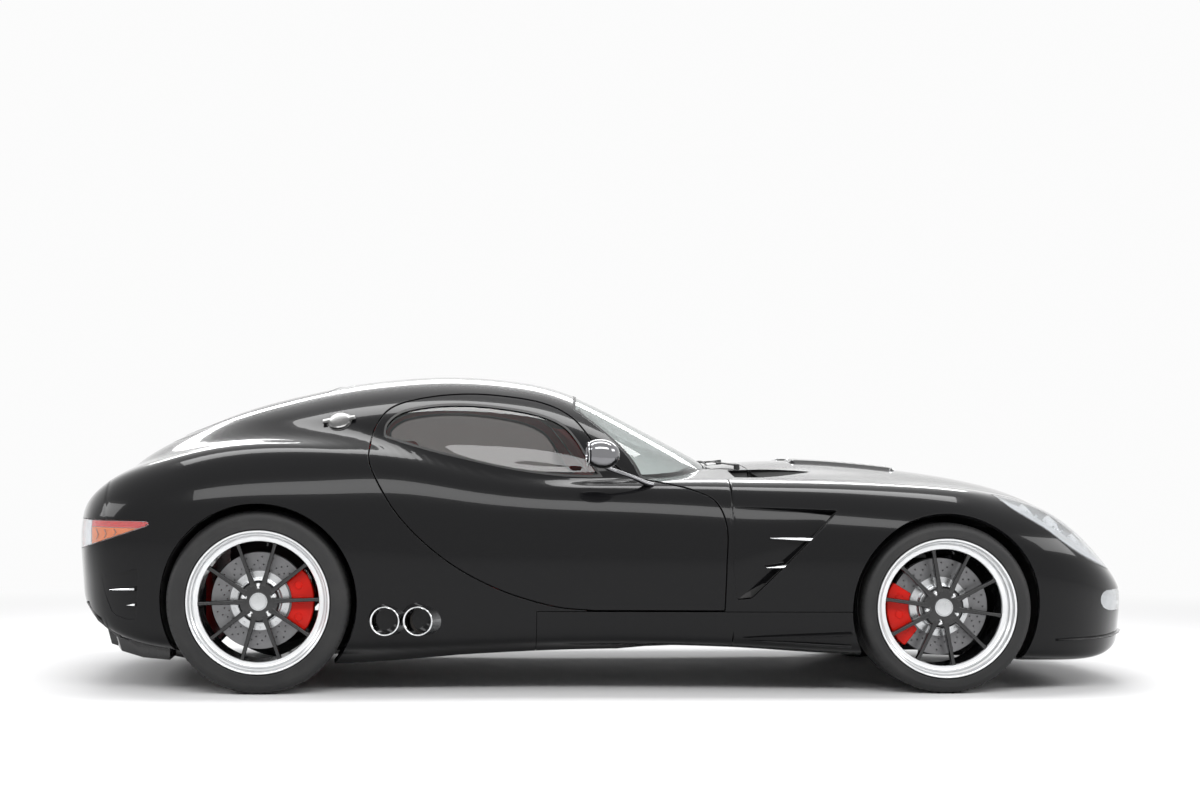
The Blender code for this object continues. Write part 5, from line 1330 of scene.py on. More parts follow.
    def build(self) -> None:
        """Makes every panel and pane."""
        self.front()
        self.rear()
        self.gills()
        self.sills()
        self.doors()
        self.bonnet()
        self.tailgate()
        self.screen()
        palette = self.palette
        inboard = lambda middle, normal: normal.y * middle.y < -0.3 * abs(middle.y) and middle.z > 0.30
        never = lambda middle, normal: False
        for node, body, finish, other, rule in (
                ("front_shell", "shell", palette.void, palette.dark_hide,
                 lambda middle, normal: middle.x < 0.5 and middle.z > 0.2),
                ("rear_shell", "shell", palette.void, palette.red_hide, self.in_cabin),
                ("roof", "shell", palette.headlining, palette.red_hide, lambda middle, normal: middle.z < 1.06),
                ("sill_left", "shell", palette.inner_paint, palette.inner_paint, never),
                ("sill_right", "shell", palette.inner_paint, palette.inner_paint, never),
                ("bonnet", "bonnet", palette.inner_paint, palette.inner_paint, never),
                ("tailgate", "tailgate", palette.inner_paint, palette.inner_paint, never),
                ("door_left", "door_left", palette.inner_paint, palette.red_hide, inboard),
                ("door_right", "door_right", palette.inner_paint, palette.red_hide, inboard)):
            self.lining(node, body, finish, other, rule)

    def in_cabin(self, middle: Vector, normal: Vector) -> bool:
        """Whether a face of the rear shell looks into the cabin or the boot."""
        ahead = np.array([middle + normal * 0.05])
        in_arch = wheel_field(ahead, self.rear_axle, self.rear_arch + 0.03, 0.55)[0] < 0
        outboard = normal.y * math.copysign(1.0, middle.y) > 0.5
        widest = 0.5 if middle.z < 0.7 else 0.7
        return not in_arch and not outboard and middle.z > 0.19 and middle.x > -1.95 and abs(middle.y) < widest

    def front(self) -> None:
        """Nose, both front wings and the cowl."""
        half = self.trimmed(
            self.skin.lower,
            lambda p: BODY_SPLIT_X - p[:, 0],
            self.outside("door", SHUT - 0.0003 + self.lip, 0.5),
            lambda p: -np.maximum(self.lines["bonnet"].distance(p) - SHUT + 0.0003 - self.lip, 0.45 - p[:, 2]),
            *self.off_arches(self.lip),
            self.off_box((None, None, None), (self.front_axle[0], None, SILL_TOP + 0.0024)),
            self.outside("vent", self.lip, 0.5),
            self.outside("indicator", self.lip, 0.36 - self.lip),
            self.outside("outlet", self.lip, 0.0, 0.6),
            lambda p: -(self.lamp_edge(p) - 0.0012 - self.lip),
            self.mouth(0.0),
            self.off_box((1.722, None, None), (None, None, 0.2028)),
            self.off_box((0.6, -1, None), (1.8, 0.415, 0.3)),
        )
        self.show(half.lipped(self.lip, self.flange).both(), "front_body", self.palette.paint, "shell", "paint",
                  "front_shell")
        recess = self.trimmed(self.skin.lower, self.inside("vent", -0.006, 0.5))
        depth = 0.0012 + 0.032 * np.clip(self.vent_depth(recess.points), 0, 1)
        recess = recess.sunk(depth).turned_out()
        for side in Side:
            self.show(side.turn(recess), f"side_vent_{side.label}", self.palette.paint, "shell", "paint")

    @staticmethod
    def lamp_edge(p: np.ndarray) -> np.ndarray:
        """Roughly signed distance to a headlamp's outline: inner edge in plan, outer edge in side view."""
        inner = smooth_curve(HEADLAMP_INNER, p[:, 0]) - p[:, 1]
        outer = (smooth_curve(HEADLAMP_OUTER, p[:, 0]) - p[:, 2]) * 0.8
        first, last = 1.498 - p[:, 0], p[:, 0] - 2.062
        soft = 0.006
        both = np.log(np.exp(np.clip(inner / soft, -60, 60)) + np.exp(np.clip(outer / soft, -60, 60))) * soft
        return np.maximum(np.maximum(both, first), last)

    @staticmethod
    def vent_depth(points: np.ndarray) -> np.ndarray:
        """How deep the side vent lies, from 0 at the door to 1 at its slanting front edge."""
        start = 0.450
        front = np.interp(points[:, 2], (0.36, 0.53, 0.712), (0.525, 0.690, 0.862))
        share = np.clip((points[:, 0] - start) / np.maximum(front - start, 0.02), 0, 1)
        return share**1.4

    def mouth(self, gap: float) -> Field:
        """A field that keeps what lies outside the air intake in the nose."""
        def here(p: np.ndarray) -> np.ndarray:
            """Roughly signed distance to the oval mouth, seen from ahead."""
            share = np.sqrt((p[:, 1] / 0.360) ** 2 + ((p[:, 2] - 0.318) / 0.075) ** 2)
            return -np.maximum((share - 1.0) * 0.075 - gap, 1.9 - p[:, 0])
        return here

    def rear(self) -> None:
        """Roof, pillars, both haunches and the tail as one skin."""
        shut = SHUT - 0.0003 + self.lip
        upper = self.trimmed(
            self.skin.upper,
            self.outside("door", shut, 0.4),
            lambda p: -(self.lines["screen"].distance(p) - self.lip),
            self.outside("tailgate", shut),
        )
        lower = self.trimmed(
            self.skin.lower,
            lambda p: p[:, 0] - BODY_SPLIT_X,
            self.outside("door", shut, 0.5),
            *self.off_arches(self.lip),
            self.off_box((-0.98, None, None), (None, 0.6, 0.3)),
            self.off_box((-1.605, None, None), (-1.145, 0.63, 0.6)),
            self.outside("tail_lamp", 0.0012 + self.lip, 0.469 - self.lip),
            self.outside("gill", self.lip, 0.5),
        )
        crease = self.crease_test()
        upper = upper.lipped(self.lip, self.flange, crease)
        lower = lower.lipped(self.lip, self.flange, crease)
        self.show(upper.joined(lower).both(), "rear_body", self.palette.paint, "shell", "paint", "roof", "rear_shell")

    def gills(self) -> None:
        """The hollows in the tail's corners, deepest at their upright front edges."""
        hollow = self.trimmed(self.skin.lower, self.inside("gill", -0.006, 0.5))
        share = np.clip((hollow.points[:, 0] + 1.990) / 0.145, 0, 1)
        fade = np.clip((hollow.points[:, 2] - 0.280) / 0.060, 0, 1) * np.clip((0.500 - hollow.points[:, 2]) / 0.030,
                                                                              0, 1)
        hollow = hollow.sunk(0.0008 + 0.026 * share**1.7 * fade)
        for side in Side:
            self.show(side.turn(hollow), f"gill_{side.label}", self.palette.paint, "shell", "paint")

    def crease_test(self) -> Field:
        """Tells the points of an edge that are a cut from those where the two halves of the skin meet."""
        meeting = self.skin.lower.points.reshape(-1, LOWER_POINTS, 3)[:, 0]
        meeting = meeting[np.abs(meeting[:, 1]) > 1e-6]
        line = meeting[np.argsort(meeting[:, 0])]

        def here(p: np.ndarray) -> np.ndarray:
            """False on the meeting line and on the body's split."""
            near = np.stack([np.interp(p[:, 0], line[:, 0], line[:, k]) for k in (1, 2)], 1)
            gap = np.hypot(p[:, 1] - near[:, 0], p[:, 2] - near[:, 1])
            on_line = (gap < 0.0015) & (p[:, 0] > line[0, 0]) & (p[:, 0] < line[-1, 0])
            return ~on_line & (np.abs(p[:, 0] - BODY_SPLIT_X) > 1e-4) & (np.abs(p[:, 1]) > 1e-6)
        return here

    def sills(self) -> None:
        """The skirts below the doors."""
        half = self.trimmed(
            self.skin.lower,
            lambda p: BODY_SPLIT_X + 0.0014 + self.lip - p[:, 0],
            lambda p: p[:, 2] - SILL_TOP + 0.0014 + self.lip,
            lambda p: 0.6006 - p[:, 1],
            lambda p: p[:, 0] - self.front_axle[0],
            *self.off_arches(self.lip),
        ).lipped(self.lip, self.flange)
        for side in Side:
            self.show(side.turn(half), f"sill_{side.label}_skin", self.palette.paint, "shell", "paint",
                      f"sill_{side.label}")

    def doors(self) -> None:
        """Both doors with their window frames and panes."""
        keep = [self.inside("door", self.lip - 0.0003, 0.4), self.outside("window", self.lip, 0.4)]
        crease = self.crease_test()
        upper = self.trimmed(self.skin.upper, *keep).lipped(self.lip, self.flange, crease)
        lower = self.trimmed(self.skin.lower, *keep).lipped(self.lip, self.flange, crease)
        pane = self.trimmed(self.skin.upper, self.inside("window", -0.004, 0.4)).sunk(0.0035)
        rest = self.trimmed(self.skin.lower, self.inside("window", -0.004, 0.4)).sunk(0.0035)
        for side in Side:
            body = f"door_{side.label}"
            self.show(side.turn(upper.joined(lower)), f"{body}_skin", self.palette.paint, body, "paint", body)
            self.show(side.turn(pane.joined(rest).thick(0.004)), f"door_glass_{side.label}_pane",
                      self.palette.side_glass,
                      body, "glass", f"door_glass_{side.label}")

    def bonnet(self) -> None:
        """The bonnet's outer skin."""
        half = self.trimmed(self.skin.lower, lambda p: np.maximum(self.lines["bonnet"].distance(p) + self.lip
                                                                  - 0.0003, 0.5 - p[:, 2]),
                            self.outside("outlet", self.lip, 0.0, 0.6))
        self.show(half.lipped(self.lip, self.flange).both(), "bonnet_skin", self.palette.paint, "bonnet", "paint",
                  "bonnet")

    def tailgate(self) -> None:
        """The tailgate's frame and its pane."""
        half = self.trimmed(self.skin.upper, self.inside("tailgate", self.lip - 0.0003),
                            self.outside("pane", self.lip))
        self.show(half.lipped(self.lip, self.flange).both(), "tailgate_skin", self.palette.paint, "tailgate", "paint",
                  "tailgate")
        pane = self.trimmed(self.skin.upper, self.inside("pane", -0.004)).sunk(0.003).both()
        self.show(pane.thick(0.004), "tailgate_pane", self.palette.rear_glass, "tailgate", "glass", "tailgate_glass")

    def screen(self) -> None:
        """The windscreen."""
        pane = self.trimmed(self.skin.upper, lambda p: self.lines["screen"].distance(p) - 0.004).sunk(0.003).both()
        self.show(pane.thick(0.0045), "windscreen_pane", self.palette.screen_glass, "shell", "glass", "windscreen")


# ------------------------------------------------------------------------------ the bench
class Bench:
    """One piece under work: a primitive shaped with edit-mode operators."""

    def __init__(self, name: str) -> None:
        """Takes the object that was just made as the workpiece."""
        self.thing = bpy.context.object
        self.thing.name = name
        self.thing.data.name = name

    @staticmethod
    def clear() -> None:
        """Deselects everything, so that an operator acts on the workpiece alone."""
        if bpy.context.mode != "OBJECT":
            bpy.ops.object.mode_set(mode="OBJECT")
        bpy.context.tool_settings.mesh_select_mode = (True, False, False)
        bpy.ops.object.select_all(action="DESELECT")

    @classmethod
    def turned(cls, name: str, profile: Sequence[Point], centre: Point, steps: int = 96,
               axis: Point = (0, 1, 0)) -> Bench:
        """A piece spun from a profile.

        Args:
            name: The piece's name.
            profile: Points of (distance from the axis, place along it), end to end; a closed ring ends where it starts.
            centre: A point on the axis.
            steps: How many steps the turn has.
            axis: The axis of the spin.

        Returns:
            The workpiece.
        """
        cls.clear()
        along = Vector(axis).normalized()
        out = along.orthogonal().normalized()
        bpy.ops.mesh.primitive_plane_add(size=0.01, location=(0, 0, 0))
        bench = cls(name)
        bpy.ops.object.mode_set(mode="EDIT")
        bpy.ops.mesh.select_all(action="SELECT")
        bpy.ops.mesh.merge(type="CENTER")
        place = Vector(centre) + out * profile[0][0] + along * profile[0][1]
        bpy.ops.transform.translate(value=place)
        for before, after in zip(profile, profile[1:]):
            step = out * (after[0] - before[0]) + along * (after[1] - before[1])
            bpy.ops.mesh.extrude_region_move(TRANSFORM_OT_translate={"value": step})
        bpy.ops.mesh.select_all(action="SELECT")
        bpy.ops.mesh.spin(steps=steps, angle=2 * math.pi, center=centre, axis=along)
        bpy.ops.mesh.select_all(action="SELECT")
        bpy.ops.mesh.remove_doubles(threshold=0.00001)
        bpy.ops.mesh.dissolve_degenerate(threshold=0.000001)
        bpy.ops.mesh.normals_make_consistent(inside=False)
        bpy.ops.object.mode_set(mode="OBJECT")
        return bench

    @classmethod
    def cylinder(cls, name: str, start: Point, end: Point, radius: float, sides: int = 24,
                 taper: float = 1.0) -> Bench:
        """A round bar between two points, narrower at its end by the taper."""
        cls.clear()
        run = Vector(end) - Vector(start)
        bpy.ops.mesh.primitive_cone_add(vertices=sides, radius1=radius, radius2=radius * taper, depth=run.length,
                                        location=(Vector(start) + Vector(end)) / 2,
                                        rotation=run.to_track_quat("Z", "Y").to_euler())
        bpy.ops.object.transform_apply(location=True, rotation=True, scale=True)
        return cls(name)

    @classmethod
    def box(cls, name: str, low: Point, high: Point) -> Bench:
        """An upright block between two corners."""
        cls.clear()
        bpy.ops.mesh.primitive_cube_add(size=1.0, location=[(a + b) / 2 for a, b in zip(low, high)],
                                        scale=[b - a for a, b in zip(low, high)])
        bpy.ops.object.transform_apply(location=True, rotation=True, scale=True)
        return cls(name)

    @classmethod
    def plate(cls, name: str, outline: Sequence[Point], step: Point) -> Bench:
        """A flat plate of an outline of points in space, extruded by a step."""
        cls.clear()
        bpy.ops.mesh.primitive_circle_add(vertices=len(outline), radius=0.01, fill_type="NGON")
        bench = cls(name)
        for vertex, place in zip(bench.thing.data.vertices, outline):
            vertex.co = place
        bpy.ops.object.mode_set(mode="EDIT")
        bpy.ops.mesh.select_all(action="SELECT")
        bpy.ops.mesh.extrude_region_move(TRANSFORM_OT_translate={"value": step})
        bpy.ops.mesh.select_all(action="SELECT")
        bpy.ops.mesh.normals_make_consistent(inside=False)
        bpy.ops.object.mode_set(mode="OBJECT")
        return bench

    @classmethod
    def bar(cls, name: str, path: Sequence[Point], width: float, height: float, up: Point = (0, 0, 1),
            sides: int = 10, sizes: Sequence[float] | None = None) -> Bench:
        """A rounded bar along a path, extruded ring by ring from a circle.

        Args:
            name: The piece's name.
            path: The middle line.
            width: Full width across the path.
            height: Full height along the up direction.
            up: The direction of the height.
            sides: Points round a ring.
            sizes: Size of each ring against the full width and height.

        Returns:
            The workpiece.
        """
        cls.clear()
        path = [Vector(p) for p in path]
        bpy.ops.mesh.primitive_circle_add(vertices=sides, radius=0.5, fill_type="NGON")
        bench = cls(name)
        bpy.ops.object.mode_set(mode="EDIT")
        form = bmesh.from_edit_mesh(bench.thing.data)
        ring = [v for v in form.verts]
        shape = [(v.co.x, v.co.y) for v in ring]
        for k, place in enumerate(path):
            run = (path[min(k + 1, len(path) - 1)] - path[max(k - 1, 0)]).normalized()
            side = run.cross(Vector(up)).normalized()
            rise = side.cross(run)
            size = sizes[k] if sizes else 1.0
            if k:
                bpy.ops.mesh.extrude_region_move(TRANSFORM_OT_translate={"value": (0, 0, 0)})
                form = bmesh.from_edit_mesh(bench.thing.data)
                ring = [v for v in form.verts if v.select]
                ring = ring if len(ring) == sides else ring[-sides:]
            for vertex, (a, b) in zip(ring, shape):
                vertex.co = place + side * (a * width * size) + rise * (b * height * size)
            bmesh.update_edit_mesh(bench.thing.data)
        bpy.ops.mesh.select_all(action="SELECT")
        bpy.ops.mesh.normals_make_consistent(inside=False)
        bpy.ops.object.mode_set(mode="OBJECT")
        return bench

    def focus(self) -> Bench:
        """Makes this the one selected, active object."""
        self.clear()
        self.thing.select_set(True)
        bpy.context.view_layer.objects.active = self.thing
        return self

    def pick(self, test: Callable[[Vector, Vector], bool]) -> Bench:
        """Selects the faces whose middle and normal pass a test, ready for an edit-mode operator."""
        self.focus()
        for vertex in self.thing.data.vertices:
            vertex.select = False
        for edge in self.thing.data.edges:
            edge.select = False
        for face in self.thing.data.polygons:
            face.select = bool(test(face.center, face.normal))
        bpy.ops.object.mode_set(mode="EDIT")
        bpy.ops.mesh.select_mode(type="FACE")
        return self

    def inset(self, thickness: float, depth: float = 0.0) -> Bench:
        """Insets the picked faces and sinks or raises them."""
        bpy.ops.mesh.inset(thickness=thickness, depth=depth)
        return self

    def let_go(self) -> Bench:
        """Leaves edit mode."""
        bpy.ops.object.mode_set(mode="OBJECT")
        return self

    def scale(self, size: Point, centre: Point) -> Bench:
        """Scales the picked faces about a point."""
        bpy.ops.transform.resize(value=size, center_override=centre)
        return self

    def modify(self, kind: str, **settings: object) -> Bench:
        """Adds a modifier and applies it."""
        self.focus()
        change = self.thing.modifiers.new(kind.lower(), kind)
        for key, value in settings.items():
            setattr(change, key, value)
        if kind == "SUBSURF":
            change.render_levels = change.levels
        bpy.ops.object.modifier_apply(modifier=change.name)
        return self

    def bevel(self, width: float, segments: int = 2, angle: float = 30.0) -> Bench:
        """Rounds the sharp edges."""
        return self.modify("BEVEL", width=width, segments=segments, limit_method="ANGLE",
                           angle_limit=math.radians(angle),
                           harden_normals=False)

    def cut(self, *tools: Bench, operation: str = "DIFFERENCE") -> Bench:
        """Cuts with other workpieces or joins them, and clears them away."""
        for tool in tools:
            self.modify("BOOLEAN", operation=operation, object=tool.thing, solver="EXACT")
            bpy.data.objects.remove(tool.thing)
        return self

    def copies(self, matrices: Iterable[Matrix]) -> Bench:
        """Replaces the piece by copies of itself, joined into one mesh."""
        data = self.thing.data
        whole = bmesh.new()
        for matrix in matrices:
            part = data.copy()
            part.transform(matrix)
            if matrix.determinant() < 0:
                part.flip_normals()
            whole.from_mesh(part)
            bpy.data.meshes.remove(part)
        whole.to_mesh(data)
        whole.free()
        return self

    def with_others(self, *others: Bench) -> Bench:
        """Joins other workpieces to this one, as loose parts of one piece."""
        self.focus()
        for other in others:
            other.thing.select_set(True)
        bpy.ops.object.join()
        return self

    def moved(self, matrix: Matrix) -> Bench:
        """Moves the mesh itself, so that the object stays at the origin."""
        self.thing.data.transform(matrix)
        return self

    def twin(self, name: str) -> Bench:
        """A mirror image on the other side of the car, with its own mesh."""
        self.focus()
        bpy.ops.object.duplicate()
        other = Bench(name)
        other.thing.data.transform(Matrix.Diagonal((1, -1, 1, 1)))
        other.thing.data.flip_normals()
        return other

    def done(self, finish: bpy.types.Material, body: str, slot: str, *nodes: str, smooth: float = 35.0,
             weighted: bool = False) -> bpy.types.Object:
        """Finishes the piece.

        Args:
            finish: Its material.
            body: The body that it rides on.
            slot: Not used.
            nodes: The solids that it stands for.
            smooth: The angle above which an edge stays sharp, in degrees.
            weighted: Whether the shading favours large faces.

        Returns:
            The finished object.
        """
        self.focus()
        bpy.ops.object.transform_apply(location=True, rotation=True, scale=True)
        bpy.ops.object.shade_smooth_by_angle(angle=math.radians(smooth))
        if weighted:
            self.modify("WEIGHTED_NORMAL", keep_sharp=True)
        self.thing.data.materials.clear()
        self.thing.data.materials.append(finish)
        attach(self.thing, body)
        if nodes:
            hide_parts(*nodes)
        return self.thing


def turn_y(degrees: float, centre: Point) -> Matrix:
    """A turn about a Y axis through a centre."""
    return (Matrix.Translation(centre) @ Matrix.Rotation(math.radians(degrees), 4, "Y")
            @ Matrix.Translation(-Vector(centre)))


def joined(benches: Sequence[Bench], name: str = "") -> Bench:
    """Joins workpieces into the first of them, and renames it if a name is given."""
    whole = benches[0].with_others(*benches[1:])
    if name:
        whole.thing.name = name
    return whole


def rounded_square(power: float, count: int) -> list[tuple[float, float]]:
    """Points round a square of half width 1 whose corners are rounder the lower the power."""
    spots = []
    for a in np.linspace(0, 2 * math.pi, count + 1)[:-1]:
        c, s = math.cos(a), math.sin(a)
        reach = 1 / (abs(c) ** power + abs(s) ** power) ** (1 / power)
        spots.append((c * reach, s * reach))
    return spots


# ------------------------------------------------------------------------------ wheels
@dataclass
class Wheel:
    """A forged wheel with ten slim spokes, its tyre, drilled disc and caliper."""

    name: str
    side: Side
    palette: Palette
    axle_x: float
    face_y: float
    radius: float
    width: float
    rim: float
    first_spoke: float
    first_lug: float
    caliper_turn: float
    caliper_body: str
    disc_face: float = -0.130
    disc_width: float = 0.030
    disc_radius: float = 0.190
    grooves: tuple[float, ...] = (0.23, 0.41, 0.59, 0.77)
    shoulder: float = 0.036
    nut_circle: float = 0.060
    spoke_count: int = 10
    nut_count: int = 5

    @property
    def centre(self) -> Vector:
        """The point on the axle at the tyre's outer face, on the left side."""
        return Vector((self.axle_x, self.face_y, self.radius))

    def settle(self, bench: Bench, finish: bpy.types.Material, body: str, slot: str, *nodes: str,
               **options: float) -> None:
        """Turns a left-hand piece to this wheel's side and finishes it."""
        if self.side is Side.RIGHT:
            bench.thing.data.transform(Matrix.Diagonal((1, -1, 1, 1)))
            bench.thing.data.flip_normals()
        bench.done(finish, body, slot, *nodes, **options)

    def build(self) -> None:
        """Makes all the wheel's pieces."""
        self.tyre()
        self.barrel()
        self.spokes()
        self.hub()
        self.disc()
        self.caliper()

    @property
    def body(self) -> str:
        """The body that turns with the wheel."""
        return f"wheel_{self.name}_{self.side.label}"

    def tyre(self) -> None:
        """The tyre: bulged walls with a rim guard, round shoulders, grooves and cut blocks."""
        r, w, rim = self.radius, self.width, self.rim
        wall = [(rim - 0.010, -0.015), (rim + 0.001, -0.0105), (rim + 0.004, -0.0045), (rim + 0.009, -0.0035),
                (rim + 0.013, -0.0050), ((r + rim) / 2, -0.0012), (r - 0.022, -0.0040), (r - 0.013, -0.0085),
                (r - 0.0060, -0.0165), (r - 0.0022, -0.0270)]
        tread = []
        for middle in self.groove_places():
            for offset, drop in ((-0.0048, 0.0), (-0.0032, 0.0062), (0.0032, 0.0062), (0.0048, 0.0)):
                tread.append((r - 0.0002 - drop, -(middle + offset)))
        profile = wall + [(r - 0.0006, -self.shoulder)] + tread + [(r - 0.0006, -(w - self.shoulder))]
        profile += [(a, -w - b) for a, b in reversed(wall)]
        profile.append(profile[0])
        bench = Bench.turned(f"tyre_{self.name}_{self.side.label}_tread", profile, self.centre, 120)
        finish = Rubber(f"tyre_rubber_{self.name}_{self.side.label}", tuple(self.centre), (rim, r)).material()
        self.settle(bench, finish, self.body, "rubber", f"tyre_{self.name}_{self.side.label}", smooth=38)
        self.blocks()

    def groove_places(self) -> list[float]:
        """How far in from the outer face each groove of the tread runs."""
        near, far = self.shoulder, self.width - self.shoulder
        return [near + (far - near) * share for share in self.grooves]

    def blocks(self) -> None:
        """Sipes in the tread rows and cuts across the shoulders, a few dozen faces each round the tread, barely proud
        of the rubber in a near-black finish: painted shade of slits.
        """
        r, w = self.radius, self.width
        tops = []
        for row, middle in enumerate(self.groove_places()):
            lean = 0.010 if row % 2 else -0.010
            tops.append([(-0.0012 - lean, -(middle - 0.024)), (0.0012 - lean, -(middle - 0.024)),
                         (0.0012 + lean, -(middle - 0.0052)), (-0.0012 + lean, -(middle - 0.0052))])
        bench = Bench.plate(f"tyre_{self.name}_{self.side.label}_sipes",
                            [self.centre + Vector((x, y, r - 0.00070)) for x, y in tops[0]], (0, 0, 0.00055))
        extra = [Bench.plate("sipe", [self.centre + Vector((x, y, r - 0.00070)) for x, y in top], (0, 0, 0.00055))
                 for top in tops[1:]]
        bench.with_others(*extra)
        for near, far in (((r - 0.0128, -0.0087), (r - 0.0020, -0.0275)),
                          ((r - 0.0128, 0.0087 - w), (r - 0.0020, 0.0275 - w))):
            path = [self.centre + Vector((0.004 * t, near[1] + (far[1] - near[1]) * t,
                                          near[0] + (far[0] - near[0]) * t + 0.0040 * math.sin(math.pi * t)))
                    for t in (0.0, 0.35, 0.7, 1.0)]
            bench.with_others(Bench.bar("cut", path, 0.0030, 0.0016, sides=4, sizes=(1, 1, 1, 1)))
        bench.copies([turn_y(360.0 * k / 72, self.centre) for k in range(72)])
        # The near-black finish paints the shade inside the slits.
        self.settle(bench, self.palette.void, self.body, "rubber")

    def barrel(self) -> None:
        """The polished stepped lip and the dark barrel behind it."""
        w, rim = self.width, self.rim
        lip = [(rim - 0.0025, -0.0120), (rim - 0.0005, -0.0060), (rim - 0.0020, -0.0022), (rim - 0.0050, -0.0014),
               (rim - 0.0085, -0.0030), (rim - 0.0100, -0.0075), (rim - 0.0110, -0.0200), (rim - 0.0135, -0.0262),
               (rim - 0.0180, -0.0285), (rim - 0.0215, -0.0330), (rim - 0.0232, -0.0450), (rim - 0.0262, -0.0500),
               (rim - 0.0330, -0.0520), (rim - 0.0420, -0.0535), (rim - 0.0440, -0.0570), (rim - 0.0438, -0.0640),
               (rim - 0.0395, -0.0640), (rim - 0.0180, -0.0480), (rim - 0.0080, -0.0300), (rim - 0.0060, -0.0160),
               (rim - 0.0025, -0.0120)]
        # Only partly metallic: the diffuse share of its pale colour is a painted sheen that keeps the lip bright where
        # its reflection is dark.
        finish = Metal(f"polished_lip_{self.name}_{self.side.label}", (0.88, 0.89, 0.90), 0.17, 0.04,
                       0.62).material(tuple(self.centre))
        self.settle(Bench.turned(f"{self.body}_lip", lip, self.centre, 120), finish, self.body, "wheel", smooth=50)
        well = rim - 0.042
        barrel = [(well, -0.0600), (well, 0.035 - w), (rim - 0.022, 0.008 - w), (rim - 0.008, 0.003 - w),
                  (rim - 0.003, -w + 0.012), (rim - 0.012, -w + 0.014), (rim - 0.020, 0.016 - w),
                  (well + 0.006, 0.044 - w), (well + 0.006, -0.0600), (well, -0.0600)]
        self.settle(Bench.turned(f"{self.body}_barrel", barrel, self.centre, 96), self.palette.satin_black, self.body,
                    "wheel", self.body)

    def spokes(self) -> None:
        """Ten slim straight spokes with a raised spine, flared where they meet the barrel."""
        c = self.centre
        reach = self.rim - 0.0395
        stations = ((0.052, 0.0300, -0.062, -0.098), (0.075, 0.0225, -0.0605, -0.096),
                    (0.100, 0.0180, -0.0600, -0.092), (0.140, 0.0160, -0.0590, -0.088),
                    (0.185, 0.0150, -0.0575, -0.085), (reach - 0.020, 0.0150, -0.0560, -0.083),
                    (reach - 0.006, 0.0190, -0.0548, -0.082), (reach + 0.004, 0.0270, -0.0540, -0.082))
        bench = Bench.box(f"{self.body}_spokes", (-0.5, -0.5, -0.5), (0.5, 0.5, 0.5))
        form = bmesh.new()
        rings = []
        for distance, wide, front, back in stations:
            half = wide / 2
            ring = []
            for x, y in ((-half, back), (-half, front - 0.0045), (-half * 0.72, front), (half * 0.72, front),
                         (half, front - 0.0045), (half, back), (half * 0.5, back + 0.006),
                         (-half * 0.5, back + 0.006)):
                ring.append(form.verts.new(c + Vector((x, y, distance))))
            rings.append(ring)
        for inner, outer in zip(rings, rings[1:]):
            for k in range(8):
                form.faces.new((inner[k], inner[(k + 1) % 8], outer[(k + 1) % 8], outer[k]))
        form.faces.new(rings[0])
        form.faces.new(rings[-1][::-1])
        bmesh.ops.recalc_face_normals(form, faces=form.faces)
        form.to_mesh(bench.thing.data)
        form.free()
        bench.bevel(0.0012, 2, 25)
        turn = [self.first_spoke + 360.0 / self.spoke_count * k for k in range(self.spoke_count)]
        bench.copies([turn_y(90.0 - a, c) for a in turn])
        self.settle(bench, self.palette.satin_black, self.body, "wheel", smooth=40)

    def hub(self) -> None:
        """The hub face with five lug pockets, chrome nuts and a plain cap."""
        c = self.centre
        face = [(0.0, -0.0600), (0.034, -0.0600), (0.038, -0.0615), (0.060, -0.0610), (0.074, -0.0640),
                (0.081, -0.0720), (0.083, -0.1000), (0.072, -0.1280), (0.0, -0.1280)]
        hub = Bench.turned(f"{self.body}_hub", face, c, 80)
        lugs = [self.first_lug + 360.0 / self.nut_count * k for k in range(self.nut_count)]
        pocket = Bench.cylinder("pocket", c + Vector((0, -0.085, self.nut_circle)),
                                c + Vector((0, -0.050, self.nut_circle)), 0.0118, 28, 1.08)
        pocket.copies([turn_y(90.0 - a, c) for a in lugs])
        hub.cut(pocket)
        self.settle(hub, self.palette.satin_black, self.body, "wheel", smooth=30)
        nut = Bench.cylinder(f"{self.body}_nuts", c + Vector((0, -0.086, self.nut_circle)),
                             c + Vector((0, -0.066, self.nut_circle)), 0.0088, 6, 0.94)
        nut.bevel(0.0008, 2, 30)
        collar = Bench.cylinder("collar", c + Vector((0, -0.086, self.nut_circle)),
                                c + Vector((0, -0.079, self.nut_circle)), 0.0108, 24)
        stud = Bench.cylinder("stud", c + Vector((0, -0.070, self.nut_circle)),
                              c + Vector((0, -0.0635, self.nut_circle)), 0.0052, 16, 0.8)
        nut.with_others(collar, stud).copies([turn_y(90.0 - a, c) for a in lugs])
        self.settle(nut, self.palette.chrome, self.body, "chrome", smooth=30)
        cap = [(0.0, -0.0510), (0.020, -0.0512), (0.0290, -0.0520), (0.0300, -0.0530), (0.0315, -0.0530),
               (0.0325, -0.0516), (0.0345, -0.0520), (0.0355, -0.0545), (0.0355, -0.0610), (0.0, -0.0610)]
        self.settle(Bench.turned(f"{self.body}_cap", cap, c, 64), self.palette.brushed, self.body, "chrome",
                    smooth=30)
        valve = Bench.cylinder(f"{self.body}_valve", c + Vector((0.035, -0.075, self.rim - 0.046)),
                               c + Vector((0.036, -0.048, self.rim - 0.060)), 0.0038, 12, 0.85)
        self.settle(valve, self.palette.seal, self.body, "rubber")

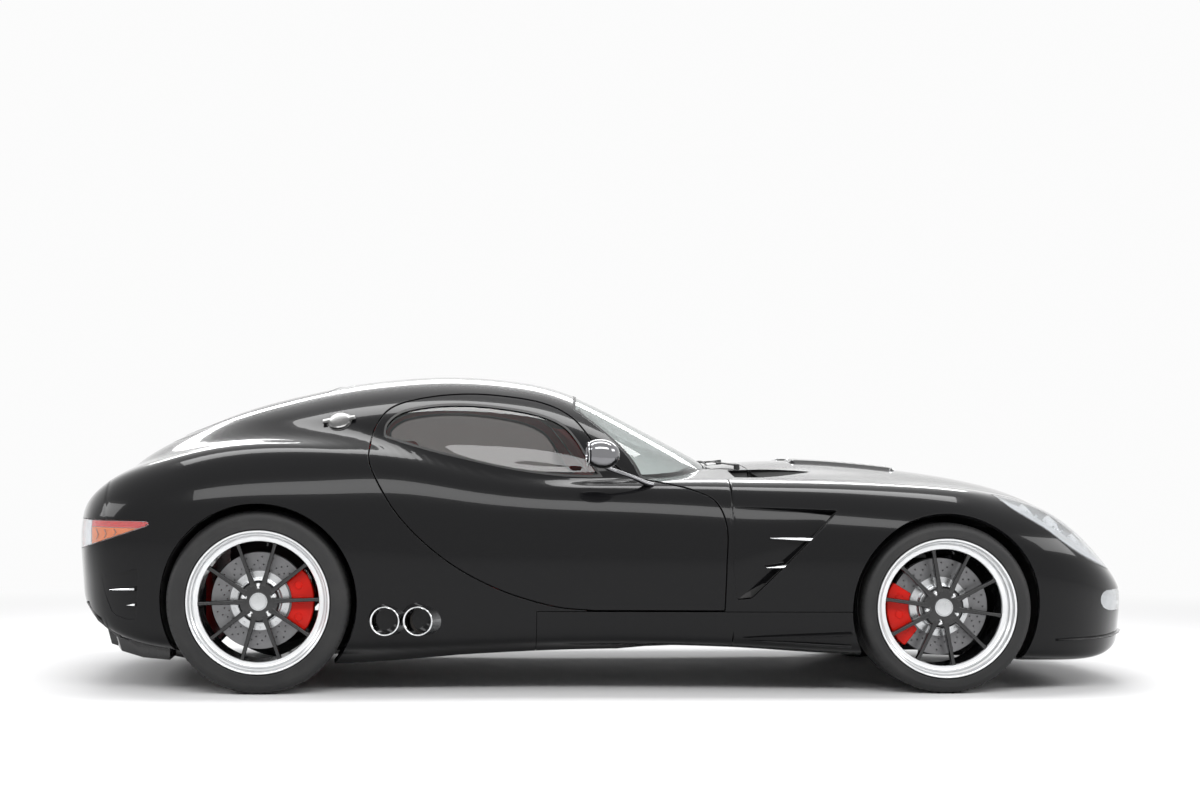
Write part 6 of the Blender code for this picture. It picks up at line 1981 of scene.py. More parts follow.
    def disc(self) -> None:
        """The drilled disc with its vanes and pale bell."""
        c = self.centre
        front, back = self.disc_face, self.disc_face - self.disc_width
        ring = [(0.112, front), (0.1135, front + 0.0005), (self.disc_radius - 0.0015, front + 0.0005),
                (self.disc_radius, front - 0.001), (self.disc_radius, front - 0.009), (0.118, front - 0.009),
                (0.118, back + 0.009), (self.disc_radius, back + 0.009), (self.disc_radius, back), (0.112, back),
                (0.112, front)]
        disc = Bench.turned(f"{self.body}_disc", ring, c, 96)
        tools = []
        for row, distance in enumerate((0.126, 0.141, 0.156, 0.171)):
            hole = Bench.cylinder("hole", c + Vector((0, back - 0.01, distance)),
                                  c + Vector((0, front + 0.01, distance)), 0.0032, 10)
            hole.copies([turn_y(360.0 * k / 20 + row * 6.0 + (3.0 if k % 2 else 0.0), c) for k in range(20)])
            tools.append(hole)
        disc.cut(joined(tools))
        vane = Bench.box("vane", c + Vector((-0.0015, back + 0.0085, 0.119)),
                         c + Vector((0.0015, front - 0.0085, self.disc_radius - 0.004)))
        vane.copies([turn_y(360.0 * k / 36, c) for k in range(36)])
        disc.with_others(vane)
        finish = Metal(f"disc_iron_{self.name}_{self.side.label}", (0.21, 0.21, 0.215), 0.34, 0.45).material(tuple(c))
        self.settle(disc, finish, self.body, "alloy", smooth=30)
        bell = [(0.030, -0.100), (0.078, -0.100), (0.084, -0.103), (0.088, -0.112), (0.0895, front + 0.004),
                (0.096, front + 0.0022), (0.116, front + 0.0022), (0.116, front - 0.002), (0.086, front - 0.003),
                (0.030, front - 0.003), (0.030, -0.100)]
        hat = Bench.turned(f"{self.body}_bell", bell, c, 80)
        button = Bench.cylinder("button", c + Vector((0, front, 0.107)), c + Vector((0, front + 0.0055, 0.107)),
                                0.0055, 14, 0.9)
        button.copies([turn_y(36.0 * k, c) for k in range(10)])
        hat.with_others(button)
        self.settle(hat, self.palette.brushed, self.body, "alloy", smooth=30)

    def caliper(self) -> None:
        """A red monobloc caliper with a bridge, pads, bleed screws and brake line boss."""
        c = self.centre
        turn = 90.0 - self.caliper_turn
        front, back = self.disc_face, self.disc_face - self.disc_width
        name = f"caliper_{self.name}_{self.side.label}"
        blocks = []
        for label, near, far in (("front", front + 0.004, front + 0.034), ("rear", back - 0.034, back - 0.004)):
            inner, outer = 0.126, 0.214
            spread = 37.0
            outline = []
            for k in range(9):
                a = math.radians(-spread + 2 * spread * k / 8)
                reach = outer - (0.006 if k in (0, 8) else 0.0)
                outline.append(c + Vector((math.sin(a) * reach, near, math.cos(a) * reach)))
            for k in range(8, -1, -1):
                a = math.radians((-spread + 2 * spread * k / 8) * 0.92)
                outline.append(c + Vector((math.sin(a) * inner, near, math.cos(a) * inner)))
            block = Bench.plate(f"{name}_{label}", outline, (0, far - near, 0))
            block.bevel(0.006, 3, 40)
            blocks.append(block)
        for low, high in ((-33.0, -16.0), (-6.0, 6.0), (16.0, 33.0)):
            outline = [c + Vector((math.sin(math.radians(a)) * reach, back - 0.010,
                                   math.cos(math.radians(a)) * reach))
                       for a, reach in ((low, 0.196), (high, 0.196), (high, 0.213), (low, 0.213))]
            bridge = Bench.plate("bridge", outline, (0, front - back + 0.020, 0))
            bridge.bevel(0.002, 2)
            blocks.append(bridge)
        for angle in (-22.0, 0.0, 22.0):
            a = math.radians(angle)
            place = c + Vector((math.sin(a) * 0.165, front + 0.033, math.cos(a) * 0.165))
            boss = Bench.cylinder("boss", place, place + Vector((0, 0.0045, 0)), 0.017, 32, 0.93)
            boss.pick(lambda middle, normal: normal.y > 0.9).inset(0.003, 0.0).inset(0.001, -0.0018).let_go()
            blocks.append(boss)
        whole = joined(blocks)
        whole.thing.name = f"{name}_body"
        whole.moved(turn_y(turn, c))
        self.settle(whole, self.palette.caliper, self.caliper_body, "caliper", name, smooth=35)
        pads = []
        for near, far in ((front + 0.0012, front + 0.0045), (back - 0.0045, back - 0.0012)):
            outline = [c + Vector((math.sin(math.radians(a)) * reach, near, math.cos(math.radians(a)) * reach))
                       for a, reach in ((-24, 0.134), (-12, 0.132), (0, 0.131), (12, 0.132), (24, 0.134), (25, 0.187),
                                        (12, 0.188), (0, 0.188), (-12, 0.188), (-25, 0.187))]
            pads.append(Bench.plate(f"{name}_pads", outline, (0, far - near, 0)))
        for angle in (-31.0, 31.0):
            a = math.radians(angle)
            place = c + Vector((math.sin(a) * 0.216, front + 0.018, math.cos(a) * 0.216))
            out = Vector((math.sin(a), 0, math.cos(a)))
            pads.append(Bench.cylinder("screw", place - out * 0.004, place + out * 0.006, 0.0042, 6))
        whole = joined(pads)
        whole.moved(turn_y(turn, c))
        self.settle(whole, self.palette.iron, self.caliper_body, "iron")


# ------------------------------------------------------------------------------ details of the body
def by_sides(left: Bench, name: str, finish: bpy.types.Material, body: str, slot: str, *nodes: str,
             smooth: float = 35.0) -> None:
    """Finishes a left-hand piece and its mirror image.

    Args:
        left: The left-hand workpiece.
        name: The pieces' name, without a side.
        finish: Their material.
        body: The body they ride on; "door" stands for each side's own door.
        slot: Passed on, but not used.
        nodes: The solids that they stand for, without a side.
        smooth: The angle above which an edge stays sharp.
    """
    right = left.twin(f"{name}_right")
    left.thing.name = f"{name}_left"
    for side, bench in ((Side.LEFT, left), (Side.RIGHT, right)):
        carrier = f"door_{side.label}" if body == "door" else body
        bench.done(finish, carrier, slot, *(f"{node}_{side.label}" for node in nodes), smooth=smooth)


def solid(node: str, finish: bpy.types.Material, body: str, slot: str, bevel: float = 0.0,
          smooth: float = 35.0) -> None:
    """A smooth-shaded copy of a solid that needs no other shape.

    Args:
        node: The solid.
        finish: Its material.
        body: The body that it rides on.
        slot: Passed on, but not used.
        bevel: Width of the rounding on its edges, if any.
        smooth: The angle above which an edge stays sharp.
    """
    Bench.clear()
    bpy.ops.mesh.primitive_plane_add(size=0.01)
    bench = Bench(f"{node}_form")
    form = bmesh.new()
    form.from_mesh(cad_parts[node].data)
    bmesh.ops.remove_doubles(form, verts=form.verts, dist=1e-6)
    flat = [e for e in form.edges if e.is_manifold and e.calc_face_angle(0.0) < 0.002]
    bmesh.ops.dissolve_edges(form, edges=flat, use_verts=False, use_face_split=False)
    form.to_mesh(bench.thing.data)
    form.free()
    if bevel:
        bench.bevel(bevel, 2, 35)
    bench.done(finish, body, slot, node, smooth=smooth)


@dataclass
class Fins:
    """Bright fins in the side vents and in the rear gills, pointed at their rear ends."""

    body: Bodywork
    palette: Palette
    paths: tuple = (((0.596, 0.602), (0.660, 0.6005), (0.730, 0.598), (0.772, 0.595), 0.0190),
                    ((0.582, 0.488), (0.620, 0.489), (0.655, 0.491), (0.672, 0.4925), 0.0200),
                    ((-1.962, 0.397), (-1.925, 0.3975), (-1.885, 0.399), (-1.858, 0.400), 0.0150),
                    ((-1.890, 0.338), (-1.878, 0.3382), (-1.868, 0.3385), (-1.860, 0.339), 0.0140))

    def build(self) -> None:
        """Makes all eight."""
        for number, (*path, height) in enumerate(self.paths):
            sizes = (0.12, 0.55, 0.88, 1.0)
            spots = [self.body.flank([spot], -0.014 * size - 0.001)[0] for spot, size in zip(path, sizes)]
            fin = Bench.bar("fin", spots, 0.028, height, sides=12, sizes=sizes)
            by_sides(fin, f"fin_{number}", self.palette.chrome, "shell", "chrome")


@dataclass
class Headlamps:
    """Teardrop lamps: glass cover, bright bowl, projectors and a row of running lights."""

    body: Bodywork
    palette: Palette
    projectors: tuple = ((1.660, 0.672, 0.040), (1.775, 0.652, 0.044), (1.886, 0.588, 0.036))

    def build(self) -> None:
        """Makes both lamps."""
        body, palette = self.body, self.palette
        cover = body.trimmed(body.skin.lower, lambda p: body.lamp_edge(p) + 0.0004)
        deep = np.clip(-body.lines["headlamp"].distance(cover.points) * 1.5, 0.0, 0.046) + 0.0046
        bowl = cover.sunk(deep)
        rim = body.trimmed(body.skin.lower, lambda p: body.lamp_edge(p) + 0.0004,
                           lambda p: -body.lamp_edge(p) - 0.0065).sunk(0.0042)
        for side in Side:
            lamp = f"headlamp_{side.label}"
            body.show(side.turn(cover.sunk(0.0006).thick(0.003)), f"{lamp}_cover", palette.lamp_glass, "shell",
                      "lamp", lamp)
            body.show(side.turn(bowl), f"{lamp}_bowl", palette.reflector, "shell", "lamp")
            body.show(side.turn(rim), f"{lamp}_rim", palette.dark_chrome, "shell", "lamp")
        bezels, lenses = [], []
        for x, y, size in self.projectors:
            spot, out = body.top([(x, y)])
            axis = (out + Vector((0.9, 0.0, 0.2))).normalized()
            centre = spot - out * 0.034
            bezels.append(Bench.turned("bezel", [(size, -0.020), (size, 0.006), (size * 0.95, 0.010),
                                                 (size * 0.86, 0.010), (size * 0.80, 0.003), (size * 0.74, 0.0),
                                                 (size * 0.72, -0.020), (size, -0.020)],
                                       centre, 48, axis))
            lenses.append(Bench.turned("lens", [(size * 0.72, -0.004)] + [(size * 0.72 * math.cos(a),
                                                                           size * 0.42 * math.sin(a))
                                                                         for a in np.linspace(0.05, math.pi / 2, 9)],
                                                                         centre, 40, axis))
        by_sides(joined(bezels), "headlamp_bezels", palette.chrome, "shell", "chrome")
        by_sides(joined(lenses), "headlamp_projectors", palette.bulb_lens, "shell", "lamp")
        pips = []
        for k in range(11):
            x = 1.565 + 0.036 * k
            y = float(np.interp(x, (1.55, 1.62, 1.72, 1.83, 1.93), (0.690, 0.722, 0.729, 0.694, 0.628)))
            spot, out = body.top([(x, y)])
            pips.append(Bench.cylinder("pip", spot - out * 0.020, spot - out * 0.010, 0.0052, 14, 0.9))
        by_sides(joined(pips), "headlamp_running_lights", palette.clear_lens, "shell", "lamp")


@dataclass
class Indicators:
    """The flush lamps at the corners of the nose."""

    body: Bodywork
    palette: Palette

    def build(self) -> None:
        """Makes both."""
        patch = self.body.trimmed(self.body.skin.lower, self.body.inside("indicator", 0.0008, 0.36))
        back = self.body.trimmed(self.body.skin.lower, self.body.inside("indicator", -0.006, 0.355)).sunk(0.012)
        for side in Side:
            self.body.show(side.turn(patch.sunk(0.0008).thick(0.003)), f"indicator_{side.label}",
                           self.palette.lamp_glass, "shell", "lamp")
            self.body.show(side.turn(back), f"indicator_{side.label}_back", self.palette.indicator, "shell", "lamp")


@dataclass
class TailLamps:
    """Wrap-round tail lamps: clear at the corner, red above, amber with chevrons below."""

    body: Bodywork
    palette: Palette
    corner_x: float = -2.040
    chevrons: tuple = ((-2.006, 0.614, 0.021), (-1.970, 0.6175, 0.017), (-1.928, 0.6235, 0.012))

    def red_line(self, p: np.ndarray) -> np.ndarray:
        """Height of a point above the foot of the red strip."""
        return p[:, 2] - np.interp(p[:, 0], (-2.06, -1.86, -1.80), (0.645, 0.640, 0.636))

    def build(self) -> None:
        """Makes both lamps."""
        body, palette = self.body, self.palette
        whole = body.trimmed(body.skin.lower, body.inside("tail_lamp", 0.0006), lambda p: 0.4696 - p[:, 1])
        inner = body.trimmed(body.skin.lower, body.inside("tail_lamp", 0.0026), lambda p: 0.472 - p[:, 1])
        zones = (("red", palette.red_lens, (lambda p: self.corner_x + 0.0015 - p[:, 0],
                                            lambda p: 0.0012 - self.red_line(p))),
                 ("amber", palette.amber_lens, (lambda p: self.corner_x + 0.0015 - p[:, 0],
                                                lambda p: self.red_line(p) + 0.0012)),
                 ("clear", palette.clear_lens, (lambda p: p[:, 0] - self.corner_x + 0.0015,
                                                lambda p: 0.640 - p[:, 1])),
                 ("rear", palette.red_lens, (lambda p: p[:, 0] - self.corner_x + 0.0015, lambda p: p[:, 1] - 0.637)))
        back = whole.sunk(0.016)
        for side in Side:
            lamp = f"tail_lamp_{side.label}"
            body.show(side.turn(whole.sunk(0.0006).thick(0.0028)), f"{lamp}_cover", palette.lamp_glass, "shell",
                      "tail_lamp", lamp)
            body.show(side.turn(back), f"{lamp}_back", palette.reflector, "shell", "tail_lamp")
            for name, finish, fields in zones:
                zone = body.trimmed(inner, *fields).sunk(0.0075)
                body.show(side.turn(zone), f"{lamp}_{name}", finish, "shell", "tail_lamp")
        arms = []
        for x, z, half in self.chevrons:
            for sign in (1, -1):
                spots = [body.flank([(x - 0.010 * (1 - k), z + sign * half * (1 - k))], -0.0058)[0]
                         for k in (0.0, 0.5, 1.0)]
                arms.append(Bench.bar("arm", spots, 0.002, 0.0032, sides=6, sizes=(1, 1, 1)))
        by_sides(joined(arms), "tail_lamp_chevrons", palette.dark_chrome, "shell", "chrome")


@dataclass
class Exhausts:
    """Twin slanted side pipes with rolled bright rims, and the silencer behind them."""

    palette: Palette
    tips: tuple = (-0.888, -0.761)
    radius: float = 0.057
    height: float = 0.283
    face: float = 0.892
    lean: float = 0.75
    root: float = 0.738

    def tube(self, name: str, x: float, rings: Sequence[Point]) -> Bench:
        """A pipe swept along its lean from rings of (radius, y)."""
        bench = Bench.turned(name, [(radius, y) for radius, y in rings], (0, 0, 0), 64)
        for vertex in bench.thing.data.vertices:
            y = vertex.co.y
            vertex.co.x += x + (self.face - y) * self.lean
            vertex.co.z += self.height
        return bench

    def build(self) -> None:
        """Makes both sides."""
        r, face, root = self.radius, self.face, self.root
        shells, bores = [], []
        for x in self.tips:
            shells.append(self.tube("tip", x, [(r - 0.0010, root), (r - 0.0010, face - 0.004),
                                               (r - 0.0005, face - 0.0012), (r - 0.0016, face), (r - 0.0040, face),
                                               (r - 0.0056, face - 0.0014), (r - 0.0060, face - 0.004),
                                               (r - 0.0060, face - 0.045)]))
            bores.append(self.tube("bore", x, [(r - 0.0062, face - 0.030), (r - 0.0075, root + 0.012),
                                               (r - 0.028, root + 0.010), (r - 0.030, root - 0.010),
                                               (0.0, root - 0.010)]))
        by_sides(joined(shells), "exhaust_tips", self.palette.chrome, "shell", "chrome", "exhaust")
        by_sides(joined(bores), "exhaust_bores", self.palette.soot, "shell", "iron")
        low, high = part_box("exhaust_left")
        box = Bench.box("silencer", (low[0], low[1], low[2]), (high[0] if high[0] < -0.4 else -0.45, root, high[2]))
        box.bevel(0.03, 5, 30)
        by_sides(box, "silencer", self.palette.cast, "shell", "alloy")


@dataclass
class Mirrors:
    """Door mirrors: a rounded dark bright shell on a slim stalk, with a flat glass at the rear."""

    body: Bodywork
    palette: Palette
    head: tuple[float, float, float] = (-0.055, 0.925, 0.925)
    half: tuple[float, float, float] = (0.068, 0.0776, 0.056)
    cut_x: float = -0.114
    foot: tuple[float, float] = (0.143, 0.806)

    def build(self) -> None:
        """Makes both mirrors."""
        Bench.clear()
        bpy.ops.mesh.primitive_uv_sphere_add(segments=64, ring_count=40, radius=1.0, rotation=(0, math.pi / 2, 0))
        bpy.ops.object.transform_apply(location=True, rotation=True, scale=True)
        shell = Bench("mirror_shell")
        for vertex in shell.thing.data.vertices:
            x, y, z = vertex.co
            full = max(0.0, 1 - abs(x) ** 2.4) ** (1 / 2.4) if x < 0 else max(0.0, 1 - x * x) ** 0.5
            round_off = math.hypot(y, z)
            if round_off > 1e-6:
                y, z = y / round_off * full, z / round_off * full
                box = (abs(y) ** 2.7 + abs(z) ** 2.7) ** (1 / 2.7)
                if box > 1e-6:
                    y, z = y * (full / box if full else 0), z * (full / box if full else 0)
            vertex.co = (self.head[0] + x * self.half[0], self.head[1] + y * self.half[1],
                         self.head[2] + z * self.half[2] - 0.004 * x)
        shell.focus()
        bpy.ops.object.mode_set(mode="EDIT")
        bpy.ops.mesh.select_all(action="SELECT")
        bpy.ops.mesh.bisect(plane_co=(self.cut_x, 0, self.head[2]), plane_no=(-1, 0, 0.05), use_fill=True,
                            clear_outer=True)
        bpy.ops.object.mode_set(mode="OBJECT")
        shell.pick(lambda middle, normal: normal.x < -0.97 and middle.x < self.cut_x + 0.012)
        shell.inset(0.0035).inset(0.0015, -0.006).let_go()
        by_sides(shell, "mirror_shell", self.palette.dark_chrome, "door", "trim", "mirror", smooth=30)
        outline = [(self.cut_x + 0.0035, self.head[1] + y * 0.0660, self.head[2] + z * 0.0465)
                   for y, z in rounded_square(2.7, 48)]
        glass = Bench.plate("mirror_glass", outline, (0.002, 0, 0))
        by_sides(glass, "mirror_glass", self.palette.mirror, "door", "trim")
        foot = self.body.flank([self.foot], 0.001)[0]
        head = Vector(self.head)
        spots = [head + Vector((0.006, -0.030, -0.038)), head + Vector((0.030, -0.052, -0.060)),
                 head.lerp(foot, 0.60) + Vector((0, 0, -0.012)), head.lerp(foot, 0.84) + Vector((0, 0, -0.008)), foot,
                 foot + Vector((0.022, -0.006, -0.002))]
        stalk = Bench.bar("mirror_stalk", spots, 0.030, 0.021, sides=20, sizes=(1.05, 0.82, 0.74, 0.86, 1.15, 0.7))
        stalk.modify("SUBSURF", levels=1)
        by_sides(stalk, "mirror_stalk", self.palette.dark_chrome, "door", "trim", smooth=60)


@dataclass
class FuelCap:
    """The bright filler cap on the right rear pillar, with two ears to turn it by."""

    body: Bodywork
    palette: Palette
    place: tuple[float, float] = (-1.071, 1.058)
    radius: float = 0.048

    def build(self) -> None:
        """Makes the cap on the left and turns it over."""
        spot, out = self.body.flank([self.place])
        right = Vector((1, 0, 0))
        right = (right - out * right.dot(out)).normalized()
        up = out.cross(right) * (1 if out.cross(right).z > 0 else -1)
        profile = [(0.0, 0.0150), (0.018, 0.0148), (0.032, 0.0138), (0.041, 0.0118), (0.0455, 0.0088),
                   (0.0468, 0.0060), (0.0440, 0.0048), (0.0440, 0.0030), (0.0495, 0.0026), (0.0510, 0.0010),
                   (0.0510, -0.012)]
        cap = Bench.turned("fuel_cap_body", profile, spot, 96, out)
        ears = []
        for sign in (-1, 1):
            near, far = spot + right * sign * 0.034 + out * 0.0062, spot + right * sign * 0.066 + out * 0.0062
            corners = [near + up * 0.0125, far + up * 0.0105, far - up * 0.0105, near - up * 0.0125]
            ear = Bench.plate("ear", corners if sign > 0 else corners[::-1], out * 0.0066)
            ear.bevel(0.0022, 3, 30)
            ears.append(ear)
        cap.with_others(*ears)
        cap.thing.data.transform(Matrix.Diagonal((1, -1, 1, 1)))
        cap.thing.data.flip_normals()
        cap.done(self.palette.worn_chrome, "shell", "chrome", "fuel_cap", smooth=28)


@dataclass
class LowerTrim:
    """Splitter, skirt winglets, rear diffuser and the mesh in the mouth."""

    body: Bodywork
    palette: Palette

    def build(self) -> None:
        """Makes every piece."""
        self.splitter()
        self.winglets()
        self.diffuser()
        self.mouth()
        self.rear_plate()

    def rear_plate(self) -> None:
        """A blank number plate on a dark plinth."""
        plinth = Bench.plate("plate_plinth", [(-2.1315, -0.270, 0.338), (-2.1315, 0.270, 0.338),
                                              (-2.1505, 0.270, 0.446), (-2.1505, -0.270, 0.446)], (0.020, 0, 0))
        plinth.bevel(0.003, 3)
        plinth.done(self.palette.satin_black, "shell", "trim")
        plate = Bench.plate("rear_plate", [(-2.1350, -0.260, 0.345), (-2.1350, 0.260, 0.345), (-2.1535, 0.260, 0.440),
                                           (-2.1535, -0.260, 0.440)], (0.0035, 0, 0))
        plate.pick(lambda middle, normal: normal.x < -0.9).inset(0.004).inset(0.0006, -0.0006).let_go()
        plate.done(self.palette.plate, "shell", "trim")

    def splitter(self) -> None:
        """The underside of the nose with its bright upper edge."""
        body = self.body
        under = body.trimmed(body.skin.lower, lambda p: 1.7203 + body.lip - p[:, 0],
                             lambda p: p[:, 2] - 0.1995 + body.lip,
                             *body.off_arches(body.lip)).lipped(body.lip, body.flange)
        body.show(under.both(), "splitter_skin", self.palette.paint, "shell", "trim", "front_splitter")
        spots = [body.flank([(x, z)], 0.0055)[0] for x, z in
                 ((1.728, 0.2035), (1.80, 0.2035), (1.88, 0.204), (1.95, 0.2055), (2.01, 0.208), (2.045, 0.210))]
        spots = spots + body.front_edge([(0.40, 0.211), (0.25, 0.212), (0.10, 0.212), (0.0, 0.212)], 0.0055)
        edge = Bench.bar("splitter_edge", spots, 0.018, 0.0080, sides=12, sizes=(0.5,) + (1,) * (len(spots) - 1))
        by_sides(edge, "splitter_edge", self.palette.paint, "shell", "trim", smooth=60)

    def winglets(self) -> None:
        """The blades at the foot of the skirts, ahead of the doors."""
        body = self.body
        path = ((0.498, 0.216), (0.58, 0.219), (0.68, 0.222), (0.786, 0.225), (0.86, 0.228), (0.915, 0.231))
        spots = [body.flank([spot], 0.004)[0] for spot in path]
        blade = Bench.bar("winglet", spots, 0.034, 0.012, sides=12, sizes=(0.10, 0.45, 0.75, 1.0, 1.05, 0.9))
        low = [body.flank([spot], 0.001)[0] for spot in ((0.52, 0.205), (0.68, 0.196), (0.80, 0.188), (0.915, 0.182))]
        foot = Bench.bar("winglet_foot", low, 0.020, 0.014, sides=12, sizes=(0.1, 0.7, 1.0, 0.9))
        by_sides(blade.with_others(foot), "winglet", self.palette.paint, "shell", "trim", smooth=60)

    def diffuser(self) -> None:
        """The tray under the tail with a lip along its edge and upright strakes."""
        solid("rear_diffuser", self.palette.satin_black, "shell", "trim", 0.003)
        strakes = []
        for y in (0.12, 0.30, 0.47):
            outline = [(x + 0.06 * (y / 0.66) ** 2, y - 0.003, z) for x, z in
                       ((-2.050, 0.235), (-2.030, 0.160), (-1.940, 0.130), (-1.742, 0.118), (-1.742, 0.150),
                        (-1.920, 0.190))]
            strake = Bench.plate("strake", outline, (0, 0.006, 0))
            strake.bevel(0.002, 2)
            strakes.append(strake)
        path = ((-2.070, 0.340), (-2.010, 0.278), (-1.930, 0.214), (-1.850, 0.168), (-1.780, 0.135), (-1.752, 0.122))
        lip = Bench.bar("diffuser_lip", [self.body.flank([spot], 0.003)[0] for spot in path], 0.014, 0.014, sides=12,
                        sizes=(0.5, 1, 1, 1, 1, 0.7))
        by_sides(lip, "diffuser_lip", self.palette.satin_black, "shell", "trim", smooth=60)
        by_sides(joined(strakes), "diffuser_strakes", self.palette.satin_black, "shell", "trim")

    def mouth(self) -> None:
        """A woven mesh of thin bars across the air intake, in a dark frame."""
        x0 = 2.010
        bars = []
        count = 26
        for k in range(-count, count + 1):
            y = k * 0.026
            for lean in (1, -1):
                rise = 0.075
                ends = []
                for sign in (-1, 1):
                    z = 0.318 + sign * rise
                    ends.append((y + lean * sign * rise, z))
                clipped = clip_oval(ends[0], ends[1], (0.0, 0.318), (0.352, 0.070))
                if clipped is None:
                    continue
                (y0, z0), (y1, z1) = clipped
                bow = lambda v: x0 + 0.045 * (1 - (v / 0.36) ** 2)
                bars.append(Bench.cylinder("wire", (bow(y0) + 0.002 * lean, y0, z0), (bow(y1) + 0.002 * lean, y1, z1),
                                           0.0016, 6))
        joined(bars, "mouth_mesh").done(self.palette.satin_black, "shell", "trim")
        spots = [Vector((x0 + 0.045 * (1 - math.cos(a) ** 2) + 0.004, 0.356 * math.cos(a),
                         0.318 + 0.073 * math.sin(a)))
                 for a in np.linspace(0, 2 * math.pi, 73)]
        frame_bar = Bench.bar("mouth_frame", spots, 0.010, 0.010, up=(1, 0, 0), sides=8, sizes=(1,) * 73)
        frame_bar.done(self.palette.satin_black, "shell", "trim", smooth=60)


def clip_oval(start: Point, end: Point, centre: Point, half: Point) -> tuple[Point, Point] | None:
    """The part of a line that lies in an oval, or None.

    Args:
        start: One end, in the oval's plane.
        end: The other end.
        centre: The oval's centre.
        half: Its half width and half height.

    Returns:
        The two ends of the part inside.
    """
    a = np.array([(start[k] - centre[k]) / half[k] for k in (0, 1)])
    d = np.array([(end[k] - centre[k]) / half[k] for k in (0, 1)]) - a
    root = (a @ d) ** 2 - (d @ d) * (a @ a - 1)
    if root <= 0:
        return None
    low, high = (-(a @ d) - root**0.5) / (d @ d), (-(a @ d) + root**0.5) / (d @ d)
    low, high = max(0.0, low), min(1.0, high)
    if high - low < 0.05:
        return None
    at = lambda t: (start[0] + (end[0] - start[0]) * t, start[1] + (end[1] - start[1]) * t)
    return at(low), at(high)


@dataclass
class BonnetTrim:
    """Raised louvre panels with their latches, and the outlets beside the cowl, whose hollows are painted near-black as
    shade.
    """

    body: Bodywork
    palette: Palette
    panel_x: tuple[float, float] = (0.790, 1.230)
    panel_y: tuple[float, float] = (0.100, 0.245)
    rise: float = 0.011

    def build(self) -> None:
        """Makes the panels, a near-black bed under their slots as painted shade, the latches and the outlets' linings
        in painted shade.
        """
        body, palette = self.body, self.palette
        (rear, front), (inner, outer) = self.panel_x, self.panel_y
        middle, half = ((rear + front) / 2, (inner + outer) / 2), ((front - rear) / 2, (outer - inner) / 2)

        def edge(p: np.ndarray) -> np.ndarray:
            """Signed distance to the panel's rounded outline in plan."""
            gaps = np.stack([np.abs(p[:, 0] - middle[0]) - half[0] + 0.022,
                             np.abs(p[:, 1] - middle[1]) - half[1] + 0.022])
            return np.hypot(*np.maximum(gaps, 0)) + np.minimum(gaps.max(axis=0), 0) - 0.022

        on_top = lambda p: 0.6 - p[:, 2]
        patch = body.trimmed(body.skin.lower, edge, on_top)
        height = self.rise * np.clip(-edge(patch.points) / 0.010, 0, 1) ** 0.5
        slots = [box_slot(rear + 0.040 + 0.040 * k, inner + 0.026, outer - 0.026, 0.010) for k in range(10)]
        plate = patch.sunk(-height)
        for slot in slots:
            plate = body.trimmed(plate, lambda p, slot=slot: -slot(p))
        body.show(plate.lipped(0.0015, 0.008).both(), "bonnet_louvres", palette.paint, "bonnet", "paint")
        # A near-black sheet under the slots: painted shade where the bonnet would open below.
        body.show(body.trimmed(patch, lambda p: edge(p) + 0.012).sunk(-0.0012).both(), "bonnet_louvre_bed",
                  palette.void, "bonnet", "paint")
        pins = []
        for x in (rear + 0.014, front - 0.014):
            for y in (inner + 0.016, outer - 0.016):
                spot, out = body.top([(x, y)])
                base = spot + out * (self.rise - 0.002)
                pins.append(Bench.cylinder("pin", base, base + out * 0.0045, 0.0052, 8, 0.8))
        by_sides(joined(pins), "bonnet_pins", palette.chrome, "bonnet", "chrome", smooth=25)
        outlet = body.trimmed(body.skin.lower, body.inside("outlet", -0.004), on_top)
        share = np.clip((0.835 - outlet.points[:, 0]) / 0.30, 0, 1)
        outlet = outlet.sunk(0.004 + 0.030 * share
                             * np.clip(-body.lines["outlet"].distance(outlet.points) / 0.02 + 0.3, 0, 1))
        # The outlets' hollows take the near-black finish: painted shade inside the openings.
        for side in Side:
            body.show(side.turn(body.trimmed(outlet, lambda p: 0.5850 - p[:, 0])), f"bonnet_outlet_{side.label}",
                      palette.void, "bonnet", "paint")
            body.show(side.turn(body.trimmed(outlet, lambda p: p[:, 0] - 0.5800)), f"cowl_outlet_{side.label}",
                      palette.void, "shell", "paint")


def box_slot(x: float, low: float, high: float, width: float) -> Field:
    """Signed distance in plan to a slot across the bonnet with round ends, negative inside."""
    def here(p: np.ndarray) -> np.ndarray:
        """Distance to the slot's middle line, less half its width."""
        return np.hypot(p[:, 0] - x, np.maximum(np.maximum(low - p[:, 1], p[:, 1] - high), 0)) - width / 2
    return here


